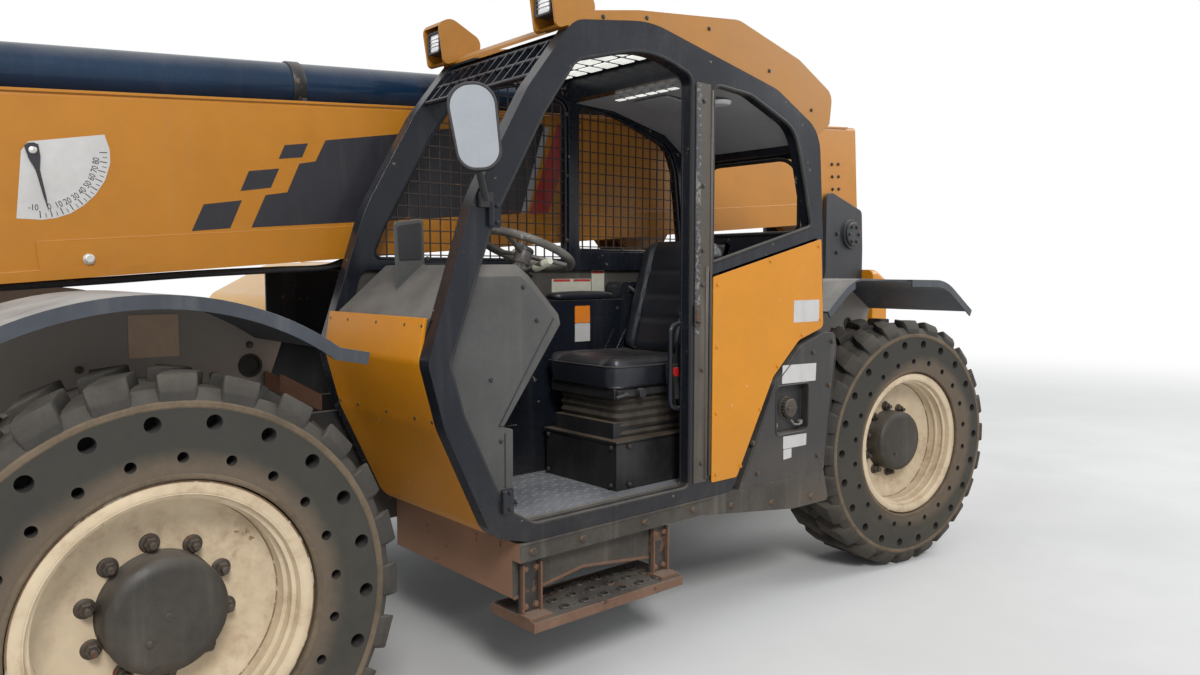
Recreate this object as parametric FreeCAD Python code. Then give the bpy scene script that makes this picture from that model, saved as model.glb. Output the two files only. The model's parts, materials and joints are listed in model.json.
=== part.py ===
import FreeCAD, Part
import math
import os

# Telehandler with a cab on the left, an engine pod on the right and a three-stage boom between them.
# Millimetres. +X is forward, +Y is the machine's left, +Z is up. It is laid out from the middle of the
# wheelbase, with the axles at a fixed height, and moved at the end so that its origin lies on the
# ground under the centre of the whole machine's box.

# Running gear
WHEELBASE = 3690.0
AXLE_Z = 650.0
TYRE_RADIUS = 650.0
TYRE_WIDTH = 375.0
TYRE_SHOULDER = 45.0
SIDEWALL_DROP = 63.0
TYRE_SEAT_GAP = 6.0
KINGPIN_Y = 900.0
WHEEL_OFFSET = 154.5
REAR_STEER_AT_REST = -9.0
RIM_FLANGE_RADIUS = 371.0
RIM_SEAT_RADIUS = 345.0
RIM_WALL = 12.0
RIM_FLANGE_WIDTH = 14.0
RIM_RECESS = 20.0
RIM_WEB = 16.0
HUB_RADIUS = 155.0
HUB_PROUD = 100.0
SPINDLE_RADIUS = 90.0
SPINDLE_LENGTH = 190.0
BEARING_GAP = 0.4
AXLE_RADIUS = 95.0
DIFF_RADIUS = 185.0
DIFF_HALF = 150.0
YOKE_ROOT = 30.0
YOKE_GAP_HALF = 115.0
YOKE_ARM = 45.0
KNUCKLE_RADIUS = 75.0
STEER_ARM_LENGTH = 185.0
STEER_ROD_RADIUS = 22.0
STEER_ROD_GAP = 0.8
STEER_LIMIT = 35.0

# Boom, in its own frame: u runs along it from the pivot, w stands up from it
PIVOT_BEHIND_AXLE = 795.0
PIVOT_Z = 1798.0
PIVOT_PIN = 45.0
BOOM_SLOPE = 4.47
BOOM_Y = 28.0
OUTER_WIDTH = 430.0
OUTER_BOTTOM = 85.0
OUTER_TOP = 700.0
OUTER_WALL = 14.0
OUTER_CORNER = 24.0
OUTER_REAR = -150.0
OUTER_FRONT = 5100.0
STAGE_GAP = 26.0
PAD_GAP = 0.3
MIDDLE_WALL = 12.0
INNER_WALL = 10.0
STAGE_STEP = 150.0
STAGE_BEHIND = 200.0
PAD_LENGTH = 150.0
PAD_HALF = 150.0
FLANGE_HEIGHT = 32.0
FLANGE_PROUD = 14.0
DOUBLER_HEIGHT = 125.0
DOUBLER_PROUD = 6.0
DOUBLER_END = 504.0
COLLAR_LENGTH = 70.0
COLLAR_PROUD = 18.0
STRIP_START = 430.0
CYLINDER_W = 765.0
CYLINDER_RADIUS = 62.0
EXTENSION_ROD_RADIUS = 35.0
STAGE_STROKE = 4300.0
LIFT_RANGE = 75.0

# Boom head and fork carriage
TILT_PIN_AHEAD = 559.0
TILT_PIN_W = -906.0
TILT_PIN_RADIUS = 35.0
TILT_LEVER = 320.0
TILT_LEVER_BACK = 8.0
TILT_BARREL_DX = -650.0
TILT_BARREL_DZ = 800.0
TILT_BARREL_RADIUS = 62.0
TILT_ROD_RADIUS = 32.0
TILT_STROKE_OUT = 491.0
TILT_STROKE_BACK = 70.0
TILT_BACK = 14.0
TILT_DUMP = 100.0
HEAD_PLATE = 20.0
CARRIAGE_WIDTH = 1200.0
CARRIAGE_AHEAD = 170.0
RAIL_THICKNESS = 40.0
FORK_LENGTH = 1220.0
FORK_WIDTH = 130.0
FORK_THICKNESS = 50.0
FORK_TIP = 12.0
FORK_TAPER = 700.0
FORK_SPACING = 720.0
FORK_BELOW_PIN = 320.0

# Lift cylinder
LIFT_BASE_AHEAD = 440.0
LIFT_BASE_Z = 860.0
LIFT_PIN_RADIUS = 45.0
LIFT_EYE_U = 1750.0
LIFT_EYE_W = -20.0
LIFT_EYE_BORE = 40.0
LIFT_BARREL_RADIUS = 92.0
LIFT_ROD_RADIUS = 55.0
LIFT_STROKE = 1070.0
GLAND_GAP = 12.0
EYE_WALL = 22.0

# Chassis
FRAME_PLATE = 30.0
FRAME_GAP = 10.0
FRAME_AHEAD = 455.0
FRAME_BEHIND = 947.0
FRAME_TOP = 1000.0
FRAME_BOTTOM = 520.0
AXLE_HEADROOM = 220.0
LIGHTENING_RADIUS = 90.0
TIE_DOWN_RADIUS = 30.0
TIE_DOWN_PLATE = 30.0
TIE_DOWN_OUT = 45.0
TIE_DOWN_FRONT_Z = 815.0
TIE_DOWN_REAR_Z = 790.0
TOWER_TOP = 2078.0
TOWER_BOSS = 95.0
COUNTERWEIGHT_HALF = 340.0
COUNTERWEIGHT_LENGTH = 205.0
COUNTERWEIGHT_TOP = 1566.0

# Cab
CAB_LEFT = 1164.0
CAB_RIGHT = 335.0
CAB_TUBE = 60.0
SEAT_Y = 790.0
CAB_FLOOR_BOTTOM = 640.0
CAB_FLOOR_TOP = 668.0
SHEET = 12.0
PANEL_SHEET = 6.0
DASH_GAP = 30.0
DASH_CHAMFER = 42.0
MESH_PITCH = 50.0
MESH_WIRE = 5.0
SKYLIGHT_BARS = 6
SKYLIGHT_BAR = 24.0
GRILLE_BARS = 11
GRILLE_PITCH = 62.0
GRILLE_DEPTH = 22.0
GRILLE_ROD = 10.0
LINER_SLOTS = 6
LINER_SLOT_PITCH = 65.0
LINER_SLOT_START = 656.0
LINER_SLOT_HALF = 24.0
ROOF_SHEET = 12.0
LAMP_WIDTH = 130.0
LAMP_WALL = 10.0
STEERING_WHEEL_RADIUS = 190.0
STEERING_WHEEL_X = 400.0
STEERING_WHEEL_Z = 1640.0
STEERING_WHEEL_LEAN = 22.0
STEERING_RIM = 16.0
STEP_OUT = 1213.0
STEP_DEPTH = 260.0
STEP_HOLE = 17.0
STEP_ROWS = 3
STEP_COLUMNS = 7
STEP_ROW_PITCH = 75.0
STEP_COLUMN_PITCH = 95.0
STEP_FRONT = 681.0
STEP_REAR = -59.0
HANGER_WIDTH = 91.0
STEP_BOTTOM = 306.0
STEP_TOP = 330.0

# Engine pod
POD_OUTER = -1164.0
POD_INNER = -335.0
POD_REAR = -1050.0
POD_FRONT = 1000.0
POD_BOTTOM = 560.0
POD_SPLIT = 1040.0
POD_TOP = 1600.0
HOOD_GAP = 24.0
HINGE_DROP = 15.0
HINGE_PIN = 8.0
HINGE_BARREL = 16.0
HOOD_RANGE = 55.0
LOUVRE_ROWS = 7
LOUVRE_PITCH = 40.0
LOUVRE_HEIGHT = 14.0

# Fenders
FENDER_INNER = 480.0
FENDER_SHEET = 10.0
FENDER_LIP = 38.0
FENDER_ROOM = 206.0

FRONT_X = WHEELBASE / 2
REAR_X = -WHEELBASE / 2
WHEEL_Y = KINGPIN_Y + WHEEL_OFFSET
YOKE_INNER_Y = KINGPIN_Y - 140
BOOM_HALF = OUTER_WIDTH / 2
FRAME_LEFT = BOOM_Y + BOOM_HALF + FRAME_GAP
FRAME_RIGHT = BOOM_Y - BOOM_HALF - FRAME_GAP
FRAME_FRONT = FRONT_X + FRAME_AHEAD
FRAME_REAR = REAR_X - FRAME_BEHIND
FRAME_OVER_AXLE = AXLE_Z + AXLE_HEADROOM
TIE_DOWN_FRONT_X = FRAME_FRONT + 45
TIE_DOWN_REAR_X = FRAME_REAR + 92
PIVOT_X = REAR_X - PIVOT_BEHIND_AXLE
LIFT_BASE_X = PIVOT_X + LIFT_BASE_AHEAD
CAB_IN_LEFT = CAB_LEFT - CAB_TUBE
CAB_IN_RIGHT = CAB_RIGHT + CAB_TUBE

# Boom stages: each slides inside the one before it
OUTER_INSIDE_HALF = BOOM_HALF - OUTER_WALL
OUTER_INSIDE_LOW = OUTER_BOTTOM + OUTER_WALL
OUTER_INSIDE_HIGH = OUTER_TOP - OUTER_WALL
MIDDLE_HALF = OUTER_INSIDE_HALF - STAGE_GAP
MIDDLE_LOW = OUTER_INSIDE_LOW + STAGE_GAP
MIDDLE_HIGH = OUTER_INSIDE_HIGH - STAGE_GAP
INNER_HALF = MIDDLE_HALF - MIDDLE_WALL - STAGE_GAP
INNER_LOW = MIDDLE_LOW + MIDDLE_WALL + STAGE_GAP
INNER_HIGH = MIDDLE_HIGH - MIDDLE_WALL - STAGE_GAP
MIDDLE_REAR = OUTER_REAR + STAGE_BEHIND
MIDDLE_FRONT = OUTER_FRONT + STAGE_STEP
INNER_REAR = MIDDLE_REAR + STAGE_STEP
INNER_FRONT = MIDDLE_FRONT + STAGE_STEP

UP = FreeCAD.Vector(0, 0, 1)
ACROSS = FreeCAD.Vector(0, 1, 0)
CENTRE = FreeCAD.Vector(0, 0, 0)

nodes = {}


def at(x, y, z):
    """A point or direction."""
    return FreeCAD.Vector(x, y, z)


def block(x0, x1, y0, y1, z0, z1):
    """A box between two corners."""
    return Part.makeBox(x1 - x0, y1 - y0, z1 - z0, at(x0, y0, z0))


def bar(start, end, radius):
    """A round bar from one point to another."""
    run = end.sub(start)
    return Part.makeCylinder(radius, run.Length, start, run)


def pin_across(x, z, y0, y1, radius):
    """A round bar across the machine between two values of y."""
    return bar(at(x, y0, z), at(x, y1, z), radius)


def fuse(shapes):
    """One clean solid from shapes that meet."""
    first, rest = shapes[0], shapes[1:]
    whole = first.fuse(rest) if rest else first
    return whole.removeSplitter()


def keep(name, *shapes):
    """Store the solids of one node."""
    nodes[name] = [solid for shape in shapes for solid in shape.Solids]


def closed_line(corners, place):
    """A closed wire through (a, b, radius) corners, each rounded by its own radius."""
    count = len(corners)
    flat = [FreeCAD.Vector(a, b, 0) for a, b, radius in corners]
    starts, ends, middles = [], [], []
    for index, (a, b, radius) in enumerate(corners):
        corner = flat[index]
        if radius <= 0:
            starts.append(corner)
            ends.append(corner)
            middles.append(None)
            continue
        before = flat[index - 1].sub(corner)
        after = flat[(index + 1) % count].sub(corner)
        before.normalize()
        after.normalize()
        half = before.getAngle(after) / 2
        reach = radius / math.tan(half)
        into = before.add(after)
        into.normalize()
        starts.append(corner.add(FreeCAD.Vector(before).multiply(reach)))
        ends.append(corner.add(FreeCAD.Vector(after).multiply(reach)))
        middles.append(corner.add(into.multiply(radius / math.sin(half) - radius)))
    edges = []
    for index in range(count):
        if middles[index] is not None:
            arc = Part.Arc(place(starts[index]), place(middles[index]), place(ends[index]))
            edges.append(arc.toShape())
        run_start, run_end = ends[index], starts[(index + 1) % count]
        if run_start.distanceToPoint(run_end) > 1e-6:
            edges.append(Part.LineSegment(place(run_start), place(run_end)).toShape())
    return Part.Wire(edges)


def side_plate(corners, y0, y1):
    """A plate seen from the side: (x, z, radius) corners, between two values of y."""
    wire = closed_line(corners, lambda p: at(p.x, y0, p.y))
    return Part.Face(wire).extrude(at(0, y1 - y0, 0))


def cross_plate(corners, x0, x1):
    """A plate seen from the front: (y, z, radius) corners, between two values of x."""
    wire = closed_line(corners, lambda p: at(x0, p.x, p.y))
    return Part.Face(wire).extrude(at(x1 - x0, 0, 0))


def level_plate(corners, z0, z1):
    """A plate seen from above: (x, y, radius) corners, between two values of z."""
    wire = closed_line(corners, lambda p: at(p.x, p.y, z0))
    return Part.Face(wire).extrude(at(0, 0, z1 - z0))


def turned(profile):
    """A solid turned about the Y axis from (y, radius) points."""
    points = [at(radius, y, 0) for y, radius in profile]
    wire = Part.makePolygon(points + [points[0]])
    return Part.Face(wire).revolve(CENTRE, ACROSS, 360)


def mirrored(shape):
    """The same shape on the machine's other side."""
    return shape.mirror(CENTRE, ACROSS)


def moved(shape, x, y, z):
    """A copy of a shape, moved."""
    copy = shape.copy()
    copy.translate(at(x, y, z))
    return copy


def on_boom(shape):
    """A shape drawn in the boom's frame, set at the boom's slope on its pivot."""
    copy = shape.copy()
    copy.rotate(CENTRE, ACROSS, BOOM_SLOPE)
    copy.translate(at(PIVOT_X, 0, PIVOT_Z))
    return copy


def boom_point(u, w):
    """Where a point of the boom's frame lies, as x and z."""
    slope = math.radians(BOOM_SLOPE)
    x = PIVOT_X + u * math.cos(slope) + w * math.sin(slope)
    z = PIVOT_Z - u * math.sin(slope) + w * math.cos(slope)
    return x, z


def to_boom(x, z):
    """The boom's own coordinates of a point of the machine."""
    slope = math.radians(BOOM_SLOPE)
    dx, dz = x - PIVOT_X, z - PIVOT_Z
    return dx * math.cos(slope) - dz * math.sin(slope), dx * math.sin(slope) + dz * math.cos(slope)


TILT_PIN_X, TILT_PIN_Z = boom_point(INNER_FRONT + TILT_PIN_AHEAD, TILT_PIN_W)
FORK_CLEARANCE = TILT_PIN_Z - FORK_BELOW_PIN


# Wheels: one tyre and one rim with its hub, turned about their own middle

def make_tyre():
    """Solid tyre with bevelled shoulders, seated on the rim between its flanges."""
    half = TYRE_WIDTH / 2
    pocket = half - RIM_RECESS - RIM_FLANGE_WIDTH
    shoulder = TYRE_RADIUS - SIDEWALL_DROP
    bead = RIM_FLANGE_RADIUS + TYRE_SEAT_GAP
    return turned([
        (-half, shoulder), (-half + TYRE_SHOULDER, TYRE_RADIUS), (half - TYRE_SHOULDER, TYRE_RADIUS),
        (half, shoulder), (half, bead), (pocket, bead), (pocket, RIM_SEAT_RADIUS),
        (-pocket, RIM_SEAT_RADIUS), (-pocket, bead), (-half, bead)])


def make_rim():
    """Deep rim with a web and a domed planetary hub, bored for the spindle."""
    half = TYRE_WIDTH / 2
    pocket = half - RIM_RECESS - RIM_FLANGE_WIDTH
    face = half - RIM_RECESS
    inside = RIM_SEAT_RADIUS - RIM_WALL
    bore = SPINDLE_RADIUS + BEARING_GAP
    depth = SPINDLE_LENGTH - WHEEL_OFFSET + BEARING_GAP
    hub_end = RIM_WEB + HUB_PROUD
    web_out = inside - 83
    return turned([
        (face, RIM_FLANGE_RADIUS), (pocket, RIM_FLANGE_RADIUS), (pocket, RIM_SEAT_RADIUS),
        (-pocket, RIM_SEAT_RADIUS), (-pocket, RIM_FLANGE_RADIUS), (-face, RIM_FLANGE_RADIUS),
        (-face, inside), (30, inside), (0, web_out), (0, HUB_RADIUS), (-50, HUB_RADIUS), (-50, bore),
        (depth, bore), (depth, 0), (hub_end, 0), (hub_end, 90), (hub_end - 14, HUB_RADIUS - 8),
        (RIM_WEB + 4, HUB_RADIUS), (RIM_WEB, HUB_RADIUS), (RIM_WEB, web_out - 5), (46, inside - 24),
        (90, inside - 14), (face, inside)])


def make_knuckle(arm_side):
    """Trunnion between the yoke's arms, spindle out to the hub and the steering arm."""
    height = YOKE_GAP_HALF - 0.5
    trunnion = bar(at(0, 0, -height), at(0, 0, height), KNUCKLE_RADIUS)
    spindle = bar(CENTRE, at(0, SPINDLE_LENGTH, 0), SPINDLE_RADIUS)
    reach = arm_side * STEER_ARM_LENGTH
    arm = level_plate([(0, -45, 0), (reach, -38, 30), (reach + arm_side * 40, 0, 20), (reach, 38, 30),
                       (0, 45, 0)], -60, -32)
    return fuse([trunnion, spindle, arm])


STEERED = [
    # name, axle x, side, rest angle, side of the steering arm
    ("front_left", FRONT_X, 1, 0.0, -1),
    ("front_right", FRONT_X, -1, 0.0, -1),
    ("rear_left", REAR_X, 1, REAR_STEER_AT_REST, 1),
    ("rear_right", REAR_X, -1, REAR_STEER_AT_REST, 1),
]


def place_on_kingpin(shape, axle_x, side, rest_angle):
    """A left-hand shape drawn about the kingpin, set on one corner of the machine."""
    copy = shape.copy() if side > 0 else mirrored(shape)
    copy.rotate(CENTRE, UP, rest_angle)
    copy.translate(at(axle_x, side * KINGPIN_Y, AXLE_Z))
    return copy


def make_running_gear():
    """Four knuckles, rims and tyres."""
    tyre = moved(make_tyre(), 0, WHEEL_OFFSET, 0)
    rim = moved(make_rim(), 0, WHEEL_OFFSET, 0)
    for name, axle_x, side, rest_angle, arm_side in STEERED:
        keep("tyre_" + name, place_on_kingpin(tyre, axle_x, side, rest_angle))
        keep("rim_" + name, place_on_kingpin(rim, axle_x, side, rest_angle))
        keep("knuckle_" + name, place_on_kingpin(make_knuckle(arm_side), axle_x, side, rest_angle))


def make_yoke():
    """The C-shaped end of an axle on the left, about the axle's centre."""
    reach = KINGPIN_Y + KNUCKLE_RADIUS
    root_in, root_out = YOKE_INNER_Y - YOKE_ROOT, YOKE_INNER_Y + YOKE_ROOT
    arm = [(-90, root_in, 20), (90, root_in, 20), (80, reach, 70), (-80, reach, 70)]
    root = block(-70, 70, root_in, root_out, -YOKE_GAP_HALF, YOKE_GAP_HALF)
    upper = level_plate(arm, YOKE_GAP_HALF, YOKE_GAP_HALF + YOKE_ARM)
    lower = level_plate(arm, -YOKE_GAP_HALF - YOKE_ARM, -YOKE_GAP_HALF)
    return fuse([root, upper, lower])


def make_axle(place, axle_x, rod_side, rest_angle):
    """Beam, differential, yokes, saddle under the frame, steering cylinder and its rod."""
    beam = bar(at(0, -YOKE_INNER_Y, 0), at(0, YOKE_INNER_Y, 0), AXLE_RADIUS)
    diff = bar(at(0, -DIFF_HALF, 0), at(0, DIFF_HALF, 0), DIFF_RADIUS)
    cones = [Part.makeCone(DIFF_RADIUS, AXLE_RADIUS, 170, at(0, side * DIFF_HALF, 0), at(0, side, 0))
             for side in (1, -1)]
    saddle = block(-120, 120, FRAME_RIGHT - FRAME_PLATE, FRAME_LEFT + FRAME_PLATE, 60,
                   FRAME_OVER_AXLE - AXLE_Z)
    yoke = make_yoke()
    rod_x = rod_side * STEER_ARM_LENGTH
    bore = bar(at(rod_x, -400, 0), at(rod_x, 400, 0), STEER_ROD_RADIUS + STEER_ROD_GAP)
    barrel = bar(at(rod_x, -330, 0), at(rod_x, 330, 0), 48)
    lugs = [block(min(0, rod_x), max(0, rod_x), side * 250 - 20, side * 250 + 20, -30, 30)
            for side in (1, -1)]
    axle = fuse([beam, diff, saddle, yoke, mirrored(yoke), barrel] + cones + lugs).cut(bore)
    keep(place + "_axle", moved(axle, axle_x, 0, AXLE_Z))
    shift = rod_side * STEER_ARM_LENGTH * math.sin(math.radians(rest_angle))
    end = KINGPIN_Y - 20
    rod = bar(at(rod_x, -end, 0), at(rod_x, end, 0), STEER_ROD_RADIUS)
    eyes = [bar(at(rod_x, side * KINGPIN_Y, -30), at(rod_x, side * KINGPIN_Y, 26), 32)
            for side in (1, -1)]
    keep(place + "_steering_rod", moved(fuse([rod] + eyes), axle_x, shift, AXLE_Z))


def make_chassis():
    """Two side plates arched over the axles, with tie-down eyes, and the members between them."""
    wide = 330
    ramp = 260
    outline = [
        (FRAME_FRONT, FRAME_TOP, 60), (FRAME_FRONT, FRAME_TOP - 240, 60), (FRONT_X + wide, FRAME_OVER_AXLE, 60),
        (FRONT_X - wide, FRAME_OVER_AXLE, 120), (FRONT_X - wide - ramp, FRAME_BOTTOM, 90),
        (REAR_X + wide + ramp, FRAME_BOTTOM, 90), (REAR_X + wide, FRAME_OVER_AXLE, 120),
        (REAR_X - wide, FRAME_OVER_AXLE, 60), (REAR_X - wide - 150, FRAME_TOP - 300, 60),
        (FRAME_REAR, FRAME_TOP - 300, 30), (FRAME_REAR, FRAME_TOP, 0)]
    holes = [pin_across(x, (FRAME_BOTTOM + FRAME_TOP) / 2, FRAME_RIGHT - 100, FRAME_LEFT + 100,
                        LIGHTENING_RADIUS) for x in (-500, 0, 500)]
    holes.append(pin_across(TIE_DOWN_REAR_X, TIE_DOWN_REAR_Z, FRAME_RIGHT - 100, FRAME_LEFT + 100,
                            TIE_DOWN_RADIUS))
    plates = []
    for side, inner in ((1, FRAME_LEFT), (-1, FRAME_RIGHT)):
        outer = inner + side * FRAME_PLATE
        far = outer + side * 2 * TIE_DOWN_OUT
        plate = side_plate(outline, min(inner, outer), max(inner, outer))
        eye = level_plate([(FRAME_FRONT - 90, outer, 0), (FRAME_FRONT - 90, far, 30),
                           (FRAME_FRONT + 95, far, 45), (FRAME_FRONT + 95, inner, 10),
                           (FRAME_FRONT - 20, inner, 0), (FRAME_FRONT - 20, outer, 0)],
                          TIE_DOWN_FRONT_Z, TIE_DOWN_FRONT_Z + TIE_DOWN_PLATE)
        middle = at(TIE_DOWN_FRONT_X, outer + side * TIE_DOWN_OUT, TIE_DOWN_FRONT_Z - 50)
        plate = fuse([plate, eye]).cut(bar(middle, middle.add(at(0, 0, 150)), TIE_DOWN_RADIUS))
        for hole in holes:
            plate = plate.cut(hole)
        plates.append(plate)
    keep("chassis_frame", *plates)
    belly = block(REAR_X + 700, FRONT_X - 700, FRAME_RIGHT, FRAME_LEFT, FRAME_BOTTOM, FRAME_BOTTOM + 20)
    nose = block(FRAME_FRONT - 90, FRAME_FRONT - 60, FRAME_RIGHT, FRAME_LEFT, FRAME_TOP - 210, FRAME_TOP - 10)
    tail = block(FRAME_REAR, FRAME_REAR + 30, FRAME_RIGHT, FRAME_LEFT, FRAME_TOP - 300, FRAME_TOP)
    ties = [pin_across(x, z, FRAME_RIGHT, FRAME_LEFT, 60)
            for x, z in ((REAR_X + 845, 700), (FRONT_X - 945, 760), (FRONT_X - 195, 935))]
    pin = pin_across(LIFT_BASE_X, LIFT_BASE_Z, FRAME_RIGHT, FRAME_LEFT, LIFT_PIN_RADIUS - BEARING_GAP)
    keep("chassis_members", belly, nose, tail, pin, *ties)


def make_tower():
    """Two plates that carry the boom's pivot pin, with bosses, a tie and a rear plate."""
    outline = [
        (FRAME_REAR, FRAME_TOP, 0), (FRAME_REAR + 892, FRAME_TOP, 0), (PIVOT_X + 270, 1500, 200),
        (PIVOT_X + 270, TOWER_TOP, 60), (PIVOT_X - 136, TOWER_TOP - 122, 40), (FRAME_REAR, 1700, 0)]
    plates = [side_plate(outline, FRAME_LEFT, FRAME_LEFT + FRAME_PLATE),
              side_plate(outline, FRAME_RIGHT - FRAME_PLATE, FRAME_RIGHT)]
    bosses = [pin_across(PIVOT_X, PIVOT_Z, FRAME_LEFT, FRAME_LEFT + FRAME_PLATE + 18, TOWER_BOSS),
              pin_across(PIVOT_X, PIVOT_Z, FRAME_RIGHT - FRAME_PLATE - 18, FRAME_RIGHT, TOWER_BOSS)]
    tie = pin_across(PIVOT_X + 80, 1250, FRAME_RIGHT, FRAME_LEFT, 70)
    back = block(FRAME_REAR, FRAME_REAR + 25, FRAME_RIGHT, FRAME_LEFT, FRAME_TOP, COUNTERWEIGHT_TOP - 6)
    pin = pin_across(PIVOT_X, PIVOT_Z, FRAME_RIGHT - FRAME_PLATE - 25, FRAME_LEFT + FRAME_PLATE + 25,
                     PIVOT_PIN - BEARING_GAP)
    keep("boom_tower", fuse(plates + bosses + [tie, back, pin]))


def make_counterweight():
    """Cast block behind the frame, rounded at its top and rear."""
    rear = FRAME_REAR - COUNTERWEIGHT_LENGTH
    outline = [(FRAME_REAR, COUNTERWEIGHT_TOP, 0), (FRAME_REAR, 640, 0), (rear, 700, 60),
               (rear, COUNTERWEIGHT_TOP - 70, 60), (FRAME_REAR - 70, COUNTERWEIGHT_TOP, 90)]
    whole = side_plate(outline, BOOM_Y - COUNTERWEIGHT_HALF, BOOM_Y + COUNTERWEIGHT_HALF)
    corners = [edge for edge in whole.Edges
               if all(v.X < rear + 1 for v in edge.Vertexes)
               and abs(edge.Vertexes[0].Y - edge.Vertexes[-1].Y) < 1]
    keep("counterweight", whole.makeFillet(45, corners))


# Boom stages

def box_stage(u0, u1, half, w0, w1, wall, corner):
    """A square tube along u, with its upper corners rounded."""
    outside = cross_plate([(BOOM_Y - half, w0, 0), (BOOM_Y + half, w0, 0), (BOOM_Y + half, w1, corner),
                           (BOOM_Y - half, w1, corner)], u0, u1)
    inner = half - wall
    inside = cross_plate([(BOOM_Y - inner, w0 + wall, 0), (BOOM_Y + inner, w0 + wall, 0),
                          (BOOM_Y + inner, w1 - wall, max(corner - wall, 0)),
                          (BOOM_Y - inner, w1 - wall, max(corner - wall, 0))], u0 - 1, u1 + 1)
    return outside.cut(inside)


def pads(u0, u1, half, w0, w1, thickness, outward):
    """Four wear pads on the faces of a stage: on its outside, or on the inside of the stage round it."""
    depth = thickness if outward else -thickness
    inset = half * 0.6
    middle = (w0 + w1) / 2
    rows = []
    for side in (1, -1):
        y_face = BOOM_Y + side * half
        y_far = y_face + side * depth
        rows.append(block(u0, u1, min(y_face, y_far), max(y_face, y_far), middle - PAD_HALF, middle + PAD_HALF))
        w_face = w1 if side > 0 else w0
        w_far = w_face + side * depth
        rows.append(block(u0, u1, BOOM_Y - inset, BOOM_Y + inset, min(w_face, w_far), max(w_face, w_far)))
    return rows


def side_strip(u0, u1, w0, w1, proud):
    """A strip on each side of the outer stage, that far proud of it."""
    left = block(u0, u1, BOOM_Y + BOOM_HALF, BOOM_Y + BOOM_HALF + proud, w0, w1)
    right = block(u0, u1, BOOM_Y - BOOM_HALF - proud, BOOM_Y - BOOM_HALF, w0, w1)
    return [left, right]


def make_outer_boom():
    """Outer stage with its flange strips, doublers, collar, pivot lugs and lift eye, and the barrel on top."""
    stage = box_stage(OUTER_REAR, OUTER_FRONT, BOOM_HALF, OUTER_BOTTOM, OUTER_TOP, OUTER_WALL, OUTER_CORNER)
    strips = side_strip(STRIP_START, OUTER_FRONT, OUTER_BOTTOM, OUTER_BOTTOM + FLANGE_HEIGHT, FLANGE_PROUD)
    strips += side_strip(STRIP_START, OUTER_FRONT - DOUBLER_END, OUTER_BOTTOM + FLANGE_HEIGHT,
                         OUTER_BOTTOM + DOUBLER_HEIGHT, DOUBLER_PROUD)
    collar = box_stage(OUTER_FRONT - COLLAR_LENGTH, OUTER_FRONT, BOOM_HALF + COLLAR_PROUD,
                       OUTER_BOTTOM - COLLAR_PROUD, OUTER_TOP + COLLAR_PROUD, OUTER_WALL + COLLAR_PROUD,
                       OUTER_CORNER)
    tail_plate = block(OUTER_REAR, OUTER_REAR + SHEET, BOOM_Y - BOOM_HALF + 2, BOOM_Y + BOOM_HALF - 2,
                       OUTER_BOTTOM + 2, OUTER_TOP - OUTER_CORNER)
    window = cross_plate([(BOOM_Y - 120, 200, 40), (BOOM_Y + 120, 200, 40), (BOOM_Y + 120, 580, 40),
                          (BOOM_Y - 120, 580, 40)], OUTER_REAR - 1, OUTER_REAR + SHEET + 1)
    front_pads = pads(OUTER_FRONT - PAD_LENGTH, OUTER_FRONT, OUTER_INSIDE_HALF, OUTER_INSIDE_LOW,
                      OUTER_INSIDE_HIGH, STAGE_GAP - PAD_GAP, False)
    lug = [(-120, OUTER_BOTTOM + 5, 0), (-60, -50, 55), (60, -50, 55), (260, OUTER_BOTTOM + 5, 0)]
    lugs = [side_plate(lug, BOOM_Y + centre - 25, BOOM_Y + centre + 25) for centre in (-150, 150)]
    pin_bore = pin_across(0, 0, BOOM_Y - BOOM_HALF, BOOM_Y + BOOM_HALF, PIVOT_PIN)
    eye = [(LIFT_EYE_U - 190, OUTER_BOTTOM + 5, 0), (LIFT_EYE_U - 55, LIFT_EYE_W - 55, 50),
           (LIFT_EYE_U + 55, LIFT_EYE_W - 55, 50), (LIFT_EYE_U + 190, OUTER_BOTTOM + 5, 0)]
    eye_bore = pin_across(LIFT_EYE_U, LIFT_EYE_W, BOOM_Y - 200, BOOM_Y + 200, LIFT_EYE_BORE)
    eye_lugs = [side_plate(eye, BOOM_Y + centre - 15, BOOM_Y + centre + 15) for centre in (-90, 90)]
    boom = fuse([stage, collar, tail_plate] + strips + front_pads + lugs + eye_lugs)
    for hole in (window, pin_bore, eye_bore):
        boom = boom.cut(hole)
    keep("outer_boom", on_boom(boom))
    barrel_start, barrel_end = 250.0, OUTER_FRONT - 150
    barrel = bar(at(barrel_start, BOOM_Y, CYLINDER_W), at(barrel_end, BOOM_Y, CYLINDER_W), CYLINDER_RADIUS)
    gland = bar(at(barrel_end - 90, BOOM_Y, CYLINDER_W), at(barrel_end, BOOM_Y, CYLINDER_W),
                CYLINDER_RADIUS + 3)
    bore = bar(at(barrel_start - 1, BOOM_Y, CYLINDER_W), at(barrel_end + 1, BOOM_Y, CYLINDER_W),
               EXTENSION_ROD_RADIUS + BEARING_GAP)
    step = (barrel_end - barrel_start - 160) / 3
    saddles = [block(u, u + 60, BOOM_Y - 80, BOOM_Y + 80, OUTER_TOP, CYLINDER_W - 45)
               for u in (barrel_start + 50 + step * index for index in range(4))]
    keep("extension_barrel", on_boom(fuse([barrel, gland] + saddles).cut(bore)))


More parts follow.
